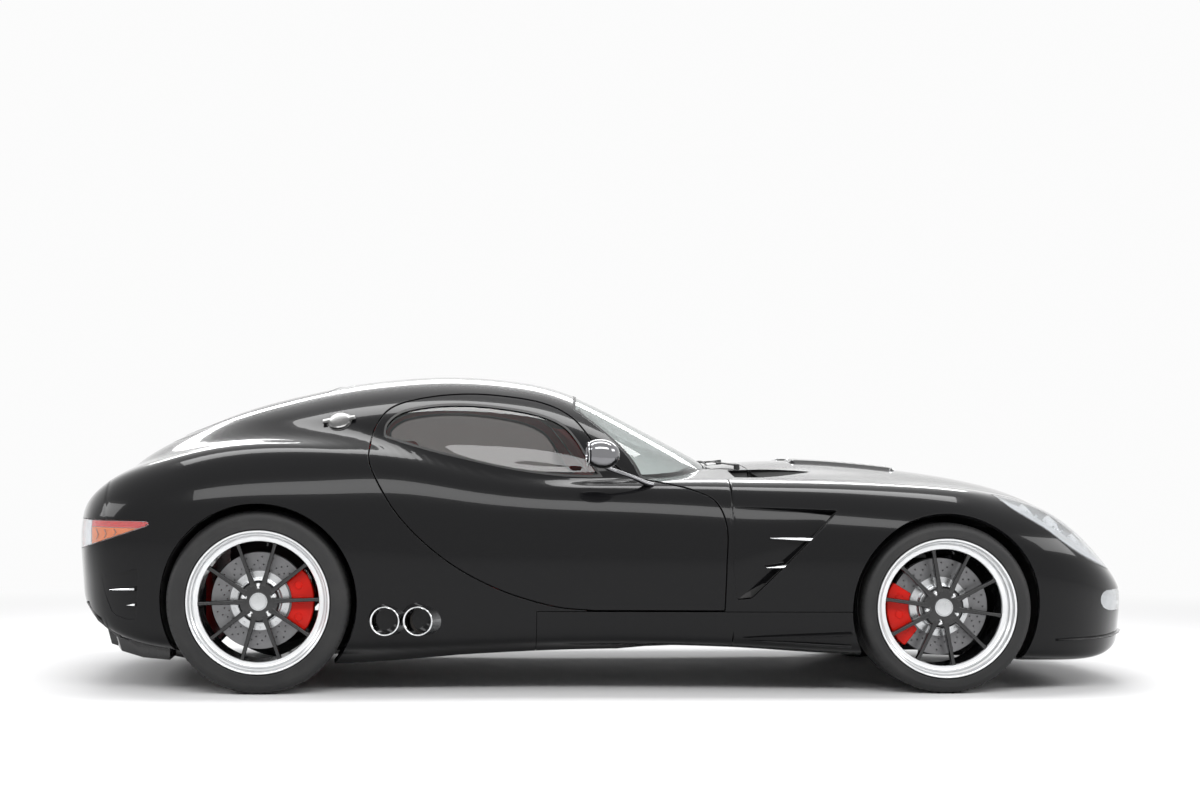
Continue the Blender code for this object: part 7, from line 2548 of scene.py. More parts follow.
@dataclass
class Seals:
    """Dark rubber round every pane, and the wipers at the foot of the screen."""

    body: Bodywork
    palette: Palette
    band: float = 0.010

    def build(self) -> None:
        """Makes the seals and the wipers."""
        body, palette = self.body, self.palette
        rings = (("screen", "windscreen_seal", "shell"), ("pane", "tailgate_seal", "tailgate"))
        for line, name, carrier in rings:
            ring = body.trimmed(body.skin.upper, lambda p: body.lines[line].distance(p) - 0.0012,
                                lambda p: -(body.lines[line].distance(p) + self.band))
            body.show(ring.sunk(-0.0006).both(), name, palette.seal, carrier, "rubber")
        for grid, part in ((body.skin.upper, "upper"), (body.skin.lower, "lower")):
            ring = body.trimmed(grid, body.inside("window", -0.0010, 0.4),
                                lambda p: -(body.lines["window"].distance(p) + 0.0075))
            if len(ring.faces):
                for side in Side:
                    body.show(side.turn(ring.sunk(-0.0005)), f"window_seal_{part}_{side.label}", palette.seal,
                              f"door_{side.label}", "rubber")
        arms = []
        for base_y, tip_y in ((0.10, 0.50), (-0.38, 0.02)):
            foot, out = body.top([(0.548, base_y)])
            elbow, out2 = body.top([(0.470, (base_y + tip_y) / 2)])
            tip, out3 = body.top([(0.425 if tip_y > 0.3 else 0.465, tip_y)])
            arms.append(Bench.cylinder("hub", foot - out * 0.004, foot + out * 0.016, 0.013, 24, 0.85))
            arms.append(Bench.bar("wiper", [foot + out * 0.012, elbow + out2 * 0.020, tip + out3 * 0.016], 0.012,
                                  0.007, sides=8, sizes=(1.2, 0.8, 0.5)))
            spots = []
            for k in np.linspace(-0.5, 0.5, 9):
                spot, up = body.top([(0.443, (base_y + tip_y) / 2 + 0.16 + k * 0.42)])
                spots.append(spot + up * 0.008)
            arms.append(Bench.bar("blade", spots, 0.009, 0.010, sides=6, sizes=(0.6,) + (1,) * 7 + (0.6,)))
        joined(arms, "wipers").done(palette.dark, "shell", "trim")


# ------------------------------------------------------------------------------ cabin
def loft_piece(name: str, rings: Sequence[Sequence[Point]], closed_ends: bool = True) -> Bench:
    """A skin over rings of points, closed at both ends.

    Args:
        name: The piece's name.
        rings: Rings with the same number of points.
        closed_ends: Whether the first and last ring are filled.

    Returns:
        The workpiece.
    """
    Bench.clear()
    bpy.ops.mesh.primitive_plane_add(size=0.01)
    bench = Bench(name)
    form = bmesh.new()
    made = [[form.verts.new(point) for point in ring] for ring in rings]
    count = len(rings[0])
    for first, second in zip(made, made[1:]):
        for k in range(count):
            form.faces.new((first[k], first[(k + 1) % count], second[(k + 1) % count], second[k]))
    if closed_ends:
        for ring in (made[0], made[-1]):
            middle = form.verts.new(sum((v.co for v in ring), Vector()) / count)
            for k in range(count):
                form.faces.new((ring[k], ring[(k + 1) % count], middle))
    bmesh.ops.remove_doubles(form, verts=form.verts, dist=1e-6)
    bmesh.ops.recalc_face_normals(form, faces=form.faces)
    form.to_mesh(bench.thing.data)
    form.free()
    return bench


@dataclass
class Cushion:
    """A stuffed seat panel: crowned, with raised bolsters and sewn cross channels.

    The spine runs along the panel's middle; each row has the place of its middle, its half width
    and its half thickness.
    """

    name: str
    spine: tuple
    flutes: int
    bolster: float = 0.030
    inner: float = 0.60
    channel: float = 0.0075
    rows: int = 132
    points: int = 96

    def place(self, share: float, turn: float) -> tuple[Vector, float]:
        """A point of the surface.

        Args:
            share: How far along the spine, from 0 to 1.
            turn: The angle round the section.

        Returns:
            The point, and how far across the top it lies from -1 to 1.
        """
        table = self.table
        x, z, half, thick = (float(np.interp(share, table[0], column)) for column in table[1:])
        ahead = [float(np.interp(min(share + 0.02, 1.0), table[0], c)) - float(np.interp(max(share - 0.02, 0.0),
                                                                                         table[0], c))
                 for c in table[1:3]]
        along = Vector((ahead[0], 0, ahead[1])).normalized()
        up = Vector((-along.z, 0, along.x)) * self.facing
        power = 2 / 3.6
        c, s = math.cos(turn), math.sin(turn)
        across = math.copysign(abs(c) ** power, c)
        rise = math.copysign(abs(s) ** power, s)
        end = (1 - abs(2 * share - 1) ** 9) ** (1 / 4)
        lift = 0.0
        if s > 0:
            edge = min(max((abs(across) - self.inner) / 0.22, 0.0), 1.0)
            lift += self.bolster * edge * edge * (3 - 2 * edge) * end
            seam = math.exp(-((abs(across) - self.inner) / 0.022) ** 2)
            lift -= 0.007 * seam * end
            if abs(across) < self.inner and 0.07 < share < 0.93:
                wave = abs(math.sin(math.pi * self.flutes * (share - 0.07) / 0.86))
                lift -= self.channel * (1 - wave**0.45) * min(1.0, (self.inner - abs(across)) / 0.03)
        pull = 1.0 - 0.05 * math.cos(math.pi * (2 * share - 1)) ** 2 * (1 - abs(rise))
        middle = Vector((x, 0, z))
        return middle + Vector((0, across * half * (0.86 + 0.14 * end) * pull, 0)) + up * (rise * thick * end
                                                                                           + lift), across

    def bench(self) -> Bench:
        """The whole panel, at the middle of the car."""
        rows = np.array(self.spine, float)
        step = np.hypot(np.diff(rows[:, 0]), np.diff(rows[:, 1]))
        share = np.concatenate([[0], np.cumsum(step)]) / step.sum()
        self.table = (share, *rows.T)
        self.facing = 1.0 if rows[-1, 0] > rows[0, 0] else -1.0
        turns = [2 * math.pi * k / self.points for k in range(self.points)]
        shares = [0.5 - 0.5 * math.cos(math.pi * k / self.rows) for k in range(self.rows + 1)]
        shares = [0.4 * s + 0.6 * k / self.rows for k, s in enumerate(shares)]
        return loft_piece(self.name, [[self.place(s, t)[0] for t in turns] for s in shares])

    def piping(self, radius: float = 0.0032) -> Bench:
        """Corded edges along both bolsters' inner seams."""
        cords = []
        turn = math.acos(self.inner ** 1.8)
        for sign in (1, -1):
            angle = turn if sign > 0 else math.pi - turn
            spots = [self.place(s, angle)[0] for s in np.linspace(0.05, 0.95, 60)]
            cords.append(Bench.bar("cord", spots, 2 * radius, 2 * radius, sides=8, sizes=(1,) * 60, up=(0, 1, 0.01)))
        return joined(cords)


@dataclass
class Seats:
    """Two low fixed-back seats in fluted leather on dark shells."""

    palette: Palette
    y: float = 0.370

    def build(self) -> None:
        """Makes both seats."""
        base = ((-0.668, 0.318, 0.196, 0.060), (-0.560, 0.312, 0.202, 0.066), (-0.420, 0.312, 0.206, 0.068),
                (-0.280, 0.322, 0.206, 0.066), (-0.158, 0.330, 0.200, 0.056))
        back = ((-0.645, 0.345, 0.196, 0.052), (-0.680, 0.480, 0.203, 0.052), (-0.716, 0.620, 0.203, 0.050),
                (-0.752, 0.760, 0.186, 0.045), (-0.778, 0.850, 0.142, 0.038), (-0.797, 0.920, 0.112, 0.036),
                (-0.808, 0.978, 0.100, 0.030))
        for side in Side:
            shift = Matrix.Translation((0, side.value * self.y, 0))
            seat = f"seat_{side.label}"
            for panel, spine, flutes, nodes in (("base", base, 9, (seat,)), ("back", back, 11, ())):
                cushion = Cushion(f"{seat}_{panel}", spine, flutes)
                made = cushion.bench().moved(shift).done(self.palette.red_hide, "shell", "leather", *nodes, smooth=70)
                cord = cushion.piping().moved(shift)
                cord.thing.name = f"{seat}_{panel}_piping"
                cord.done(self.palette.dark_hide, "shell", "leather", smooth=60)
            shell = Bench.box(f"{seat}_shell", (-0.655, -0.185, 0.2006), (-0.180, 0.185, 0.262))
            shell.bevel(0.014, 3)
            slab = Bench.plate("slab", [(-0.690, -0.17, 0.300), (-0.725, -0.17, 0.300), (-0.845, -0.15, 0.780),
                                        (-0.858, -0.12, 0.860), (-0.830, -0.12, 0.860), (-0.812, -0.15, 0.780)],
                                        (0, 0.30, 0))
            slab.bevel(0.012, 3)
            shell.with_others(slab).moved(shift).done(self.palette.satin_black, "shell", "leather")


@dataclass
class Dash:
    """The dashboard with its binnacle, dials, vents, switches, console and lever."""

    palette: Palette
    wheel_y: float = 0.370

    def build(self) -> None:
        """Makes it all."""
        palette = self.palette
        solid("dashboard", palette.red_hide, "shell", "leather", 0.010, 40)
        self.binnacle()
        self.centre_stack()
        self.console()
        self.pedals()
        self.interior_mirror()

    def dial(self, centre: Point, radius: float, ticks: int, needle: float) -> None:
        """A round dial that faces the rear: bezel, face, marks and needle."""
        palette = self.palette
        x, y, z = centre
        name = f"dial_{int(abs(y) * 1000)}_{int(z * 1000)}"
        back = (-1, 0, 0)
        Bench.turned(f"{name}_bezel", [(radius * 0.93, -0.004), (radius * 0.94, 0.004), (radius, 0.0055),
                                       (radius * 1.06, 0.004), (radius * 1.08, -0.004)], centre, 64,
                                       back).done(palette.chrome, "shell", "chrome")
        Bench.turned(f"{name}_face", [(0.0, -0.0005), (radius * 0.93, -0.0005), (radius * 0.93, -0.0030),
                                      (0.0, -0.0030)], centre, 48,
                     back).done(palette.dark, "shell", "trim")
        marks = []
        for k in range(ticks):
            a = math.radians(225 - 270 * k / (ticks - 1))
            long = 0.80 if k % 2 == 0 else 0.86
            inner = Vector((x - 0.0008, y - math.cos(a) * radius * long, z + math.sin(a) * radius * long))
            outer = Vector((x - 0.0008, y - math.cos(a) * radius * 0.90, z + math.sin(a) * radius * 0.90))
            marks.append(Bench.bar("mark", [inner, outer], 0.0011 if k % 2 else 0.0017, 0.0006, up=(1, 0, 0),
                                   sides=4))
        joined(marks).done(palette.dial, "shell", "trim")
        marks[0].thing.name = f"{name}_marks"
        a = math.radians(needle)
        hand = Bench.bar(f"{name}_hand", [Vector((x - 0.0030, y + math.cos(a) * radius * 0.14,
                                                  z - math.sin(a) * radius * 0.14)),
                                          Vector((x - 0.0030, y - math.cos(a) * radius * 0.74,
                                                  z + math.sin(a) * radius * 0.74))],
                         0.0022, 0.0009, up=(1, 0, 0), sides=6, sizes=(1, 0.4))
        hand.done(palette.red_lens, "shell", "trim")
        Bench.turned(f"{name}_boss", [(0.0, 0.0052), (radius * 0.09, 0.0048), (radius * 0.11, 0.0034),
                                      (radius * 0.11, -0.0002)], centre,
                     24, back).done(palette.dark, "shell", "trim")
        Bench.turned(f"{name}_glass", [(0.0, 0.0036), (radius * 0.93, 0.0034), (radius * 0.93, 0.0042),
                                       (0.0, 0.0046)], centre, 40,
                     back).done(palette.lamp_glass, "shell", "glass")

    def binnacle(self) -> None:
        """A rounded pod over the two large dials, and the small dials in the middle."""
        y, z, x = self.wheel_y, 0.782, 0.186
        rings = []
        for share, grow in ((0.0, 0.93), (0.006, 0.985), (0.016, 1.0), (0.050, 0.98), (0.095, 0.90), (0.135, 0.72),
                            (0.150, 0.55)):
            ring = []
            for k in range(56):
                a = 2 * math.pi * k / 56
                c, s = math.cos(a), math.sin(a)
                reach = 1 / (abs(c) ** 3.2 + abs(s) ** 3.2) ** (1 / 3.2)
                ring.append((x + share, y + c * reach * 0.128 * grow, z + s * reach * 0.052 * grow - share * 0.05))
            rings.append(ring)
        pod = loft_piece("dash_binnacle", rings)
        pod.pick(lambda middle, normal: normal.x < -0.9 and middle.x < x
                 + 0.003).inset(0.010).inset(0.001, -0.010).let_go()
        pod.done(self.palette.dark_hide, "shell", "leather", smooth=40)
        for offset, ticks, needle in ((0.058, 19, 205.0), (-0.058, 17, 214.0)):
            self.dial((x + 0.0068, y + offset, z), 0.0385, ticks, needle)
        for k in range(3):
            self.dial((0.2095 + 0.010, 0.085 - 0.085 * k, 0.765), 0.0235, 9, 150.0 - 20 * k)

    def centre_stack(self) -> None:
        """Vents, a plain switch panel with knobs, and the glovebox lid."""
        palette = self.palette
        for y in (0.62, 0.17, -0.17, -0.62):
            centre = (0.2185, y, 0.765)
            Bench.turned(f"vent_ring_{int((y + 1) * 100)}", [(0.024, -0.010), (0.0245, 0.0055), (0.0265, 0.007),
                                                             (0.030, 0.005), (0.031, -0.010)],
                         centre, 56, (-1, 0, 0)).done(palette.chrome, "shell", "chrome")
            blades = [Bench.box("blade", (0.212, y - 0.0235 * math.cos(k * 0.42), 0.765 + 0.0095 * k - 0.0009),
                                (0.219, y + 0.0235 * math.cos(k * 0.42), 0.765 + 0.0095 * k + 0.0009))
                                for k in (-2, -1, 0, 1, 2)]
            joined(blades).done(palette.dark, "shell", "trim")
            blades[0].thing.name = f"vent_blades_{int((y + 1) * 100)}"
        panel = Bench.plate("switch_panel", [(0.2215, -0.105, 0.716), (0.2215, 0.105, 0.716), (0.2300, 0.105, 0.664),
                                             (0.2300, -0.105, 0.664)],
                            (-0.012, 0, -0.002))
        panel.bevel(0.003, 2)
        panel.done(palette.brushed, "shell", "alloy")
        knobs = []
        for k in range(5):
            knobs.append(Bench.turned("knob", [(0.0, 0.017), (0.0095, 0.0165), (0.0110, 0.015), (0.0115, 0.002),
                                               (0.0135, 0.0)],
                                      (0.2140, -0.080 + 0.040 * k, 0.692), 28, (-1, 0, 0)))
        joined(knobs, "switch_knobs").done(palette.dark, "shell", "trim")
        lid = Bench.plate("glovebox_lid", [(0.2140, -0.46, 0.722), (0.2140, -0.24, 0.722), (0.2290, -0.24, 0.668),
                                           (0.2290, -0.46, 0.668)],
                          (-0.009, 0, -0.002))
        lid.bevel(0.004, 3)
        lid.done(palette.red_hide, "shell", "leather")

    def console(self) -> None:
        """The padded tunnel with the gear lever, its gaiter and the parking brake."""
        palette = self.palette
        pad = Bench.box("console", (-0.640, -0.112, 0.3806), (0.330, 0.112, 0.424))
        pad.pick(lambda middle, normal: normal.z > 0.9).scale((0.985, 0.86, 1), (-0.155, 0, 0.424)).let_go()
        pad.bevel(0.014, 4)
        pad.done(palette.dark_hide, "shell", "leather", smooth=50)
        plate = Bench.box("console_plate", (-0.140, -0.058, 0.4235), (0.120, 0.058, 0.4275))
        plate.bevel(0.0018, 2)
        plate.done(palette.brushed, "shell", "alloy")
        rings = []
        for k in range(15):
            s = k / 14
            size = 0.048 * (1 - s) ** 0.8 + 0.011 + 0.0035 * math.sin(s * 26) * (1 - s)
            rings.append([(0.020 - 0.012 * s + size * math.cos(a), size * math.sin(a), 0.4270 + 0.062 * s)
                          for a in np.linspace(0, 2 * math.pi, 33)[:-1]])
        loft_piece("lever_gaiter", rings).done(palette.red_hide, "shell", "leather", smooth=60)
        Bench.cylinder("gear_lever", (0.010, 0, 0.480), (-0.004, 0, 0.552), 0.0058, 20, 0.85).done(palette.chrome,
                                                                                                   "shell", "chrome")
        Bench.turned("gear_knob", [(0.0, 0.022)] + [(0.0225 * math.sin(a), 0.0225 * math.cos(a))
                                                    for a in np.linspace(0.15, 2.6, 18)]
                     + [(0.0085, -0.024)], (-0.0065, 0, 0.565), 40, (-0.19, 0, 0.98)).done(palette.brushed, "shell",
                                                                                           "alloy", smooth=50)
        brake = Bench.bar("parking_brake", [(-0.330, 0.050, 0.420), (-0.260, 0.050, 0.448), (-0.150, 0.050, 0.474)],
                          0.018, 0.018, sides=16,
                          sizes=(0.9, 1.0, 1.0))
        brake.done(palette.dark_hide, "shell", "leather", smooth=60)
        Bench.bar("parking_brake_tip", [(-0.150, 0.050, 0.474), (-0.120, 0.050, 0.481), (-0.112, 0.050, 0.483)],
                  0.015, 0.015, sides=16,
                  sizes=(1.0, 1.0, 0.5)).done(palette.chrome, "shell", "chrome", smooth=60)

    def pedals(self) -> None:
        """Three drilled pedals on their arms."""
        pads, arms = [], []
        for y, wide, tall in ((0.455, 0.030, 0.032), (0.375, 0.032, 0.030), (0.300, 0.022, 0.058)):
            foot = Vector((0.405, y, 0.330))
            pad = Bench.plate("pad", [foot + Vector((0.010 * s, t * wide, s * tall)) for s, t in ((-1, -1), (-1, 1),
                                                                                                  (1, 1), (1, -1))],
                              (-0.006, 0, 0.002))
            pad.bevel(0.0025, 2)
            pads.append(pad)
            arms.append(Bench.bar("arm", [foot + Vector((0.006, 0, 0.01)), foot + Vector((0.070, 0, 0.07)),
                                          foot + Vector((0.085, 0, 0.165))],
                                  0.012, 0.012, sides=8))
        joined(pads, "pedal_pads").done(self.palette.brushed, "shell", "alloy")
        joined(arms, "pedal_arms").done(self.palette.iron, "shell", "iron", smooth=60)

    def interior_mirror(self) -> None:
        """The mirror at the top of the screen."""
        outline = [(-0.075 + 0.006 * math.sin(math.pi * k / 20), y * 0.108, 1.062 + z * 0.030)
                   for k, (y, z) in enumerate(rounded_square(3, 40))]
        case = Bench.plate("interior_mirror", outline, (0.020, 0, 0.002))
        case.bevel(0.006, 3, 40)
        stem = Bench.bar("stem", [(-0.058, 0, 1.075), (-0.052, 0, 1.105), (-0.068, 0, 1.128)], 0.012, 0.012, sides=10)
        case.with_others(stem).done(self.palette.dark, "shell", "trim", smooth=50)
        Bench.plate("interior_mirror_glass", [Vector(p) + Vector((-0.0006, -p[1] * 0.06, (1.062 - p[2]) * 0.12))
                                              for p in outline],
                    (0.0006, 0, 0)).done(self.palette.mirror, "shell", "trim")


@dataclass
class SteeringWheel:
    """The leather rim with thumb rests, three drilled alloy spokes and a plain boss."""

    palette: Palette
    centre: tuple[float, float, float] = (0.010, 0.370, 0.720)
    lean: float = 20.0
    radius: float = 0.170

    def build(self) -> None:
        """Makes the wheel, its column and the stalks."""
        palette = self.palette
        axis = Vector((-math.cos(math.radians(self.lean)), 0, math.sin(math.radians(self.lean))))
        up = Vector((math.sin(math.radians(self.lean)), 0, math.cos(math.radians(self.lean))))
        side = Vector((0, 1, 0))
        c = Vector(self.centre)
        rings = []
        for k in range(144):
            a = 2 * math.pi * k / 144
            grip = 1.0 + 0.16 * math.exp(-((math.degrees(abs(math.remainder(a - math.radians(18),
                                                                            math.pi))) / 13) ** 2))
            out = side * math.cos(a) + up * math.sin(a)
            rings.append([c + out * (self.radius + 0.0125 * grip * math.cos(t)) + axis * (0.0135 * grip * math.sin(t))
                          for t in np.linspace(0, 2 * math.pi, 21)[:-1]])
        rim = loft_piece("steering_rim", rings + [rings[0]], False)
        rim.done(palette.dark_hide, "steering_wheel", "leather", "steering_wheel", smooth=70)
        spokes, stitches = [], []
        for angle in (8.0, 172.0, 270.0):
            a = math.radians(angle)
            out = side * math.cos(a) + up * math.sin(a)
            spots = [c + out * r + axis * h for r, h in ((0.030, 0.000), (0.075, 0.004), (0.120, 0.005),
                                                         (0.160, 0.001))]
            spokes.append(Bench.bar("spoke", spots, 0.030, 0.0055, up=axis, sides=8, sizes=(1.5, 0.95, 0.85, 1.1)))
        holes = []
        for angle in (8.0, 172.0, 270.0):
            a = math.radians(angle)
            out = side * math.cos(a) + up * math.sin(a)
            for r in (0.082, 0.104, 0.125):
                middle = c + out * r + axis * 0.004
                holes.append(Bench.cylinder("hole", middle - axis * 0.02, middle + axis * 0.02,
                                            0.0062 - 0.014 * (r - 0.08), 20))
        whole = joined(spokes)
        whole.cut(joined(holes))
        whole.thing.name = "steering_spokes"
        whole.done(palette.brushed, "steering_wheel", "alloy", smooth=40)
        Bench.turned("steering_boss", [(0.0, 0.016), (0.026, 0.0155), (0.031, 0.0135), (0.0325, 0.010),
                                       (0.046, 0.009), (0.050, 0.005), (0.050, -0.018), (0.040, -0.024),
                                       (0.0, -0.024)], c, 64, axis).done(
                                           palette.dark_hide, "steering_wheel", "leather", smooth=30)
        Bench.cylinder("steering_column", c - axis * 0.020, c - axis * 0.250, 0.0158, 32).done(palette.iron,
                                                                                               "steering_wheel",
                                                                                               "iron")
        for k in range(96):
            a = 2 * math.pi * (k + 0.5) / 96
            out = side * math.cos(a) + up * math.sin(a)
            spot = c + out * (self.radius - 0.0128) + axis * 0.0015
            stitches.append(Bench.bar("stitch", [spot - axis * 0.0032, spot + axis * 0.0012], 0.0012, 0.0012,
                                      sides=4))
        joined(stitches, "steering_stitches").done(palette.thread, "steering_wheel", "leather")
        cowl = Bench.bar("column_cowl", [c - axis * 0.085, c - axis * 0.130, c - axis * 0.185], 0.082, 0.072,
                         sides=28, sizes=(0.85, 1.0, 1.05),
                         up=up)
        hole = Bench.cylinder("hole", c - axis * 0.05, c - axis * 0.24, 0.024, 32)
        cowl.cut(hole)
        stalks = [Bench.bar("stalk", [c - axis * 0.105 + side * s * 0.034, c - axis * 0.098 + side * s * 0.075,
                                      c - axis * 0.088 + side * s * 0.118],
                            0.012, 0.009, sides=12, sizes=(0.9, 0.8, 1.2)) for s in (-1, 1)]
        cowl.with_others(*stalks).done(palette.dark, "shell", "trim", smooth=50)


@dataclass
class DoorTrims:
    """Armrests, pulls and speakers on both doors."""

    body: Bodywork
    palette: Palette

    def build(self) -> None:
        """Makes both sides."""
        palette = self.palette
        rest = Bench.bar("armrest", [(0.10, 0.712, 0.560), (-0.05, 0.706, 0.562), (-0.25, 0.704, 0.566),
                                     (-0.45, 0.706, 0.572), (-0.60, 0.712, 0.580)],
                         0.044, 0.056, sides=28, sizes=(0.45, 0.95, 1.0, 1.0, 0.5))
        rest.modify("SUBSURF", levels=1)
        by_sides(rest, "door_armrest", palette.red_hide, "door", "leather", smooth=70)
        pull = Bench.bar("pull", [(0.08, 0.708, 0.642), (0.05, 0.694, 0.650), (-0.02, 0.692, 0.652),
                                  (-0.05, 0.706, 0.648)], 0.012, 0.014, sides=14)
        by_sides(pull, "door_pull", palette.chrome, "door", "chrome", smooth=60)
        ring = Bench.turned("speaker", [(0.0, 0.002), (0.060, 0.003), (0.066, 0.006), (0.072, 0.005),
                                        (0.074, -0.004)], (0.20, 0.724, 0.44), 56,
                            (0, -1, 0))
        by_sides(ring, "door_speaker", palette.dark, "door", "trim", smooth=40)


# ------------------------------------------------------------------------------ engine and underside
@dataclass
class Engine:
    """The block's dressing: cam covers, plenum with its runners, pulleys and radiator."""

    palette: Palette

    def build(self) -> None:
        """Makes all of it over the plain block."""
        palette = self.palette
        solid("engine", palette.cast, "shell", "alloy", 0.0, 40)
        low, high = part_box("engine")
        x0, x1, top = low[0], high[0], high[2]
        covers, caps = [], []
        for sign in (-1, 1):
            cover = Bench.box("cover", (x0 + 0.05, sign * 0.185 - 0.062, top - 0.075),
                              (x1 - 0.08, sign * 0.185 + 0.062, top + 0.012))
            cover.pick(lambda middle, normal: normal.z > 0.9).scale((0.97, 0.78, 1),
                                                                    ((x0 + x1) / 2, sign * 0.185, top)).let_go()
            cover.bevel(0.012, 3)
            covers.append(cover)
            for k in range(9):
                rib = Bench.box("rib", (x0 + 0.10 + 0.062 * k, sign * 0.185 - 0.040, top + 0.008),
                                (x0 + 0.106 + 0.062 * k, sign * 0.185 + 0.040, top + 0.0165))
                covers.append(rib)
            caps.append(Bench.cylinder("cap", (x0 + 0.11, sign * 0.185, top + 0.010),
                                       (x0 + 0.11, sign * 0.185, top + 0.026), 0.022, 24, 0.9))
        joined(covers, "cam_covers").done(palette.caliper, "shell", "caliper")
        joined(caps, "filler_caps").done(palette.dark, "shell", "trim")
        plenum = Bench.box("plenum", (x0 + 0.08, -0.085, top - 0.02), (x1 - 0.12, 0.085, top + 0.030))
        plenum.bevel(0.022, 4)
        runners = []
        for k in range(4):
            for sign in (-1, 1):
                x = x0 + 0.15 + 0.135 * k
                runners.append(Bench.bar("runner", [(x, sign * 0.07, top + 0.004), (x, sign * 0.115, top + 0.006),
                                                    (x, sign * 0.150, top - 0.03)],
                                         0.036, 0.034, up=(1, 0, 0), sides=16))
        throat = Bench.cylinder("throat", (x1 - 0.13, 0, top + 0.004), (x1 - 0.03, 0, top + 0.004), 0.034, 32, 1.05)
        plenum.with_others(*runners, throat).done(palette.brushed, "shell", "alloy", smooth=45)
        pulleys = []
        for y, z, r in ((0.0, top - 0.30, 0.075), (0.13, top - 0.17, 0.045), (-0.14, top - 0.15, 0.05),
                        (0.0, top - 0.10, 0.04)):
            pulleys.append(Bench.turned("pulley", [(0.012, 0.004), (0.02, 0.004), (0.022, 0.0), (r - 0.008, 0.0),
                                                   (r - 0.006, 0.006), (r, 0.006), (r, 0.001), (r - 0.003, -0.002),
                                                   (r, -0.005), (r, -0.012), (0.012, -0.012)],
                                        (x1 + 0.016, y, z), 40, (1, 0, 0)))
        joined(pulleys, "pulleys").done(palette.iron, "shell", "iron")
        core = Bench.box("radiator", (1.560, -0.300, 0.290), (1.602, 0.300, 0.600))
        core.bevel(0.004, 2)
        tanks = [Bench.box("tank", (1.552, s * 0.318 - 0.024, 0.285), (1.610, s * 0.318 + 0.024, 0.605))
                 for s in (-1, 1)]
        for tank in tanks:
            tank.bevel(0.01, 3)
        hoses = [Bench.bar("hose", [(x1 - 0.02, 0.10, top - 0.05), (x1 + 0.04, 0.16, top - 0.04), (1.50, 0.24, 0.60),
                                    (1.556, 0.300, 0.570)], 0.042, 0.042, sides=16)]
        fins = []
        for k in range(44):
            z = 0.302 + 0.0066 * k
            fins.append(Bench.box("fin", (1.5585, -0.286, z), (1.6035, 0.286, z + 0.0012)))
        core.with_others(*fins).done(palette.cast, "shell", "alloy")
        tanks[0].with_others(tanks[1], *hoses).done(palette.dark, "shell", "trim", smooth=50)
        tanks[0].thing.name = "radiator_tanks"


@dataclass
class Underside:
    """The floor with its carpets, the axles and the uprights."""

    palette: Palette

    def build(self) -> None:
        """Makes every piece."""
        palette = self.palette
        for node, body, bevel in (("front_axle", "shell", 0.002), ("rear_axle", "shell", 0.002),
                                  ("knuckle_left", "knuckle_left", 0.0015),
                                  ("knuckle_right", "knuckle_right", 0.0015)):
            solid(node, palette.iron, body, "iron", bevel)
        solid("floor_pan", palette.iron, "shell", "iron", 0.0, 30)
        floor = bpy.data.objects["floor_pan_form"]
        floor.data.materials.append(palette.red_carpet)
        for face in floor.data.polygons:
            x, y, z = face.center
            if x < 0.56 and ((face.normal.z > 0.5 and z > 0.19) or (abs(y) < 0.13 and z > 0.201)):
                face.material_index = 1


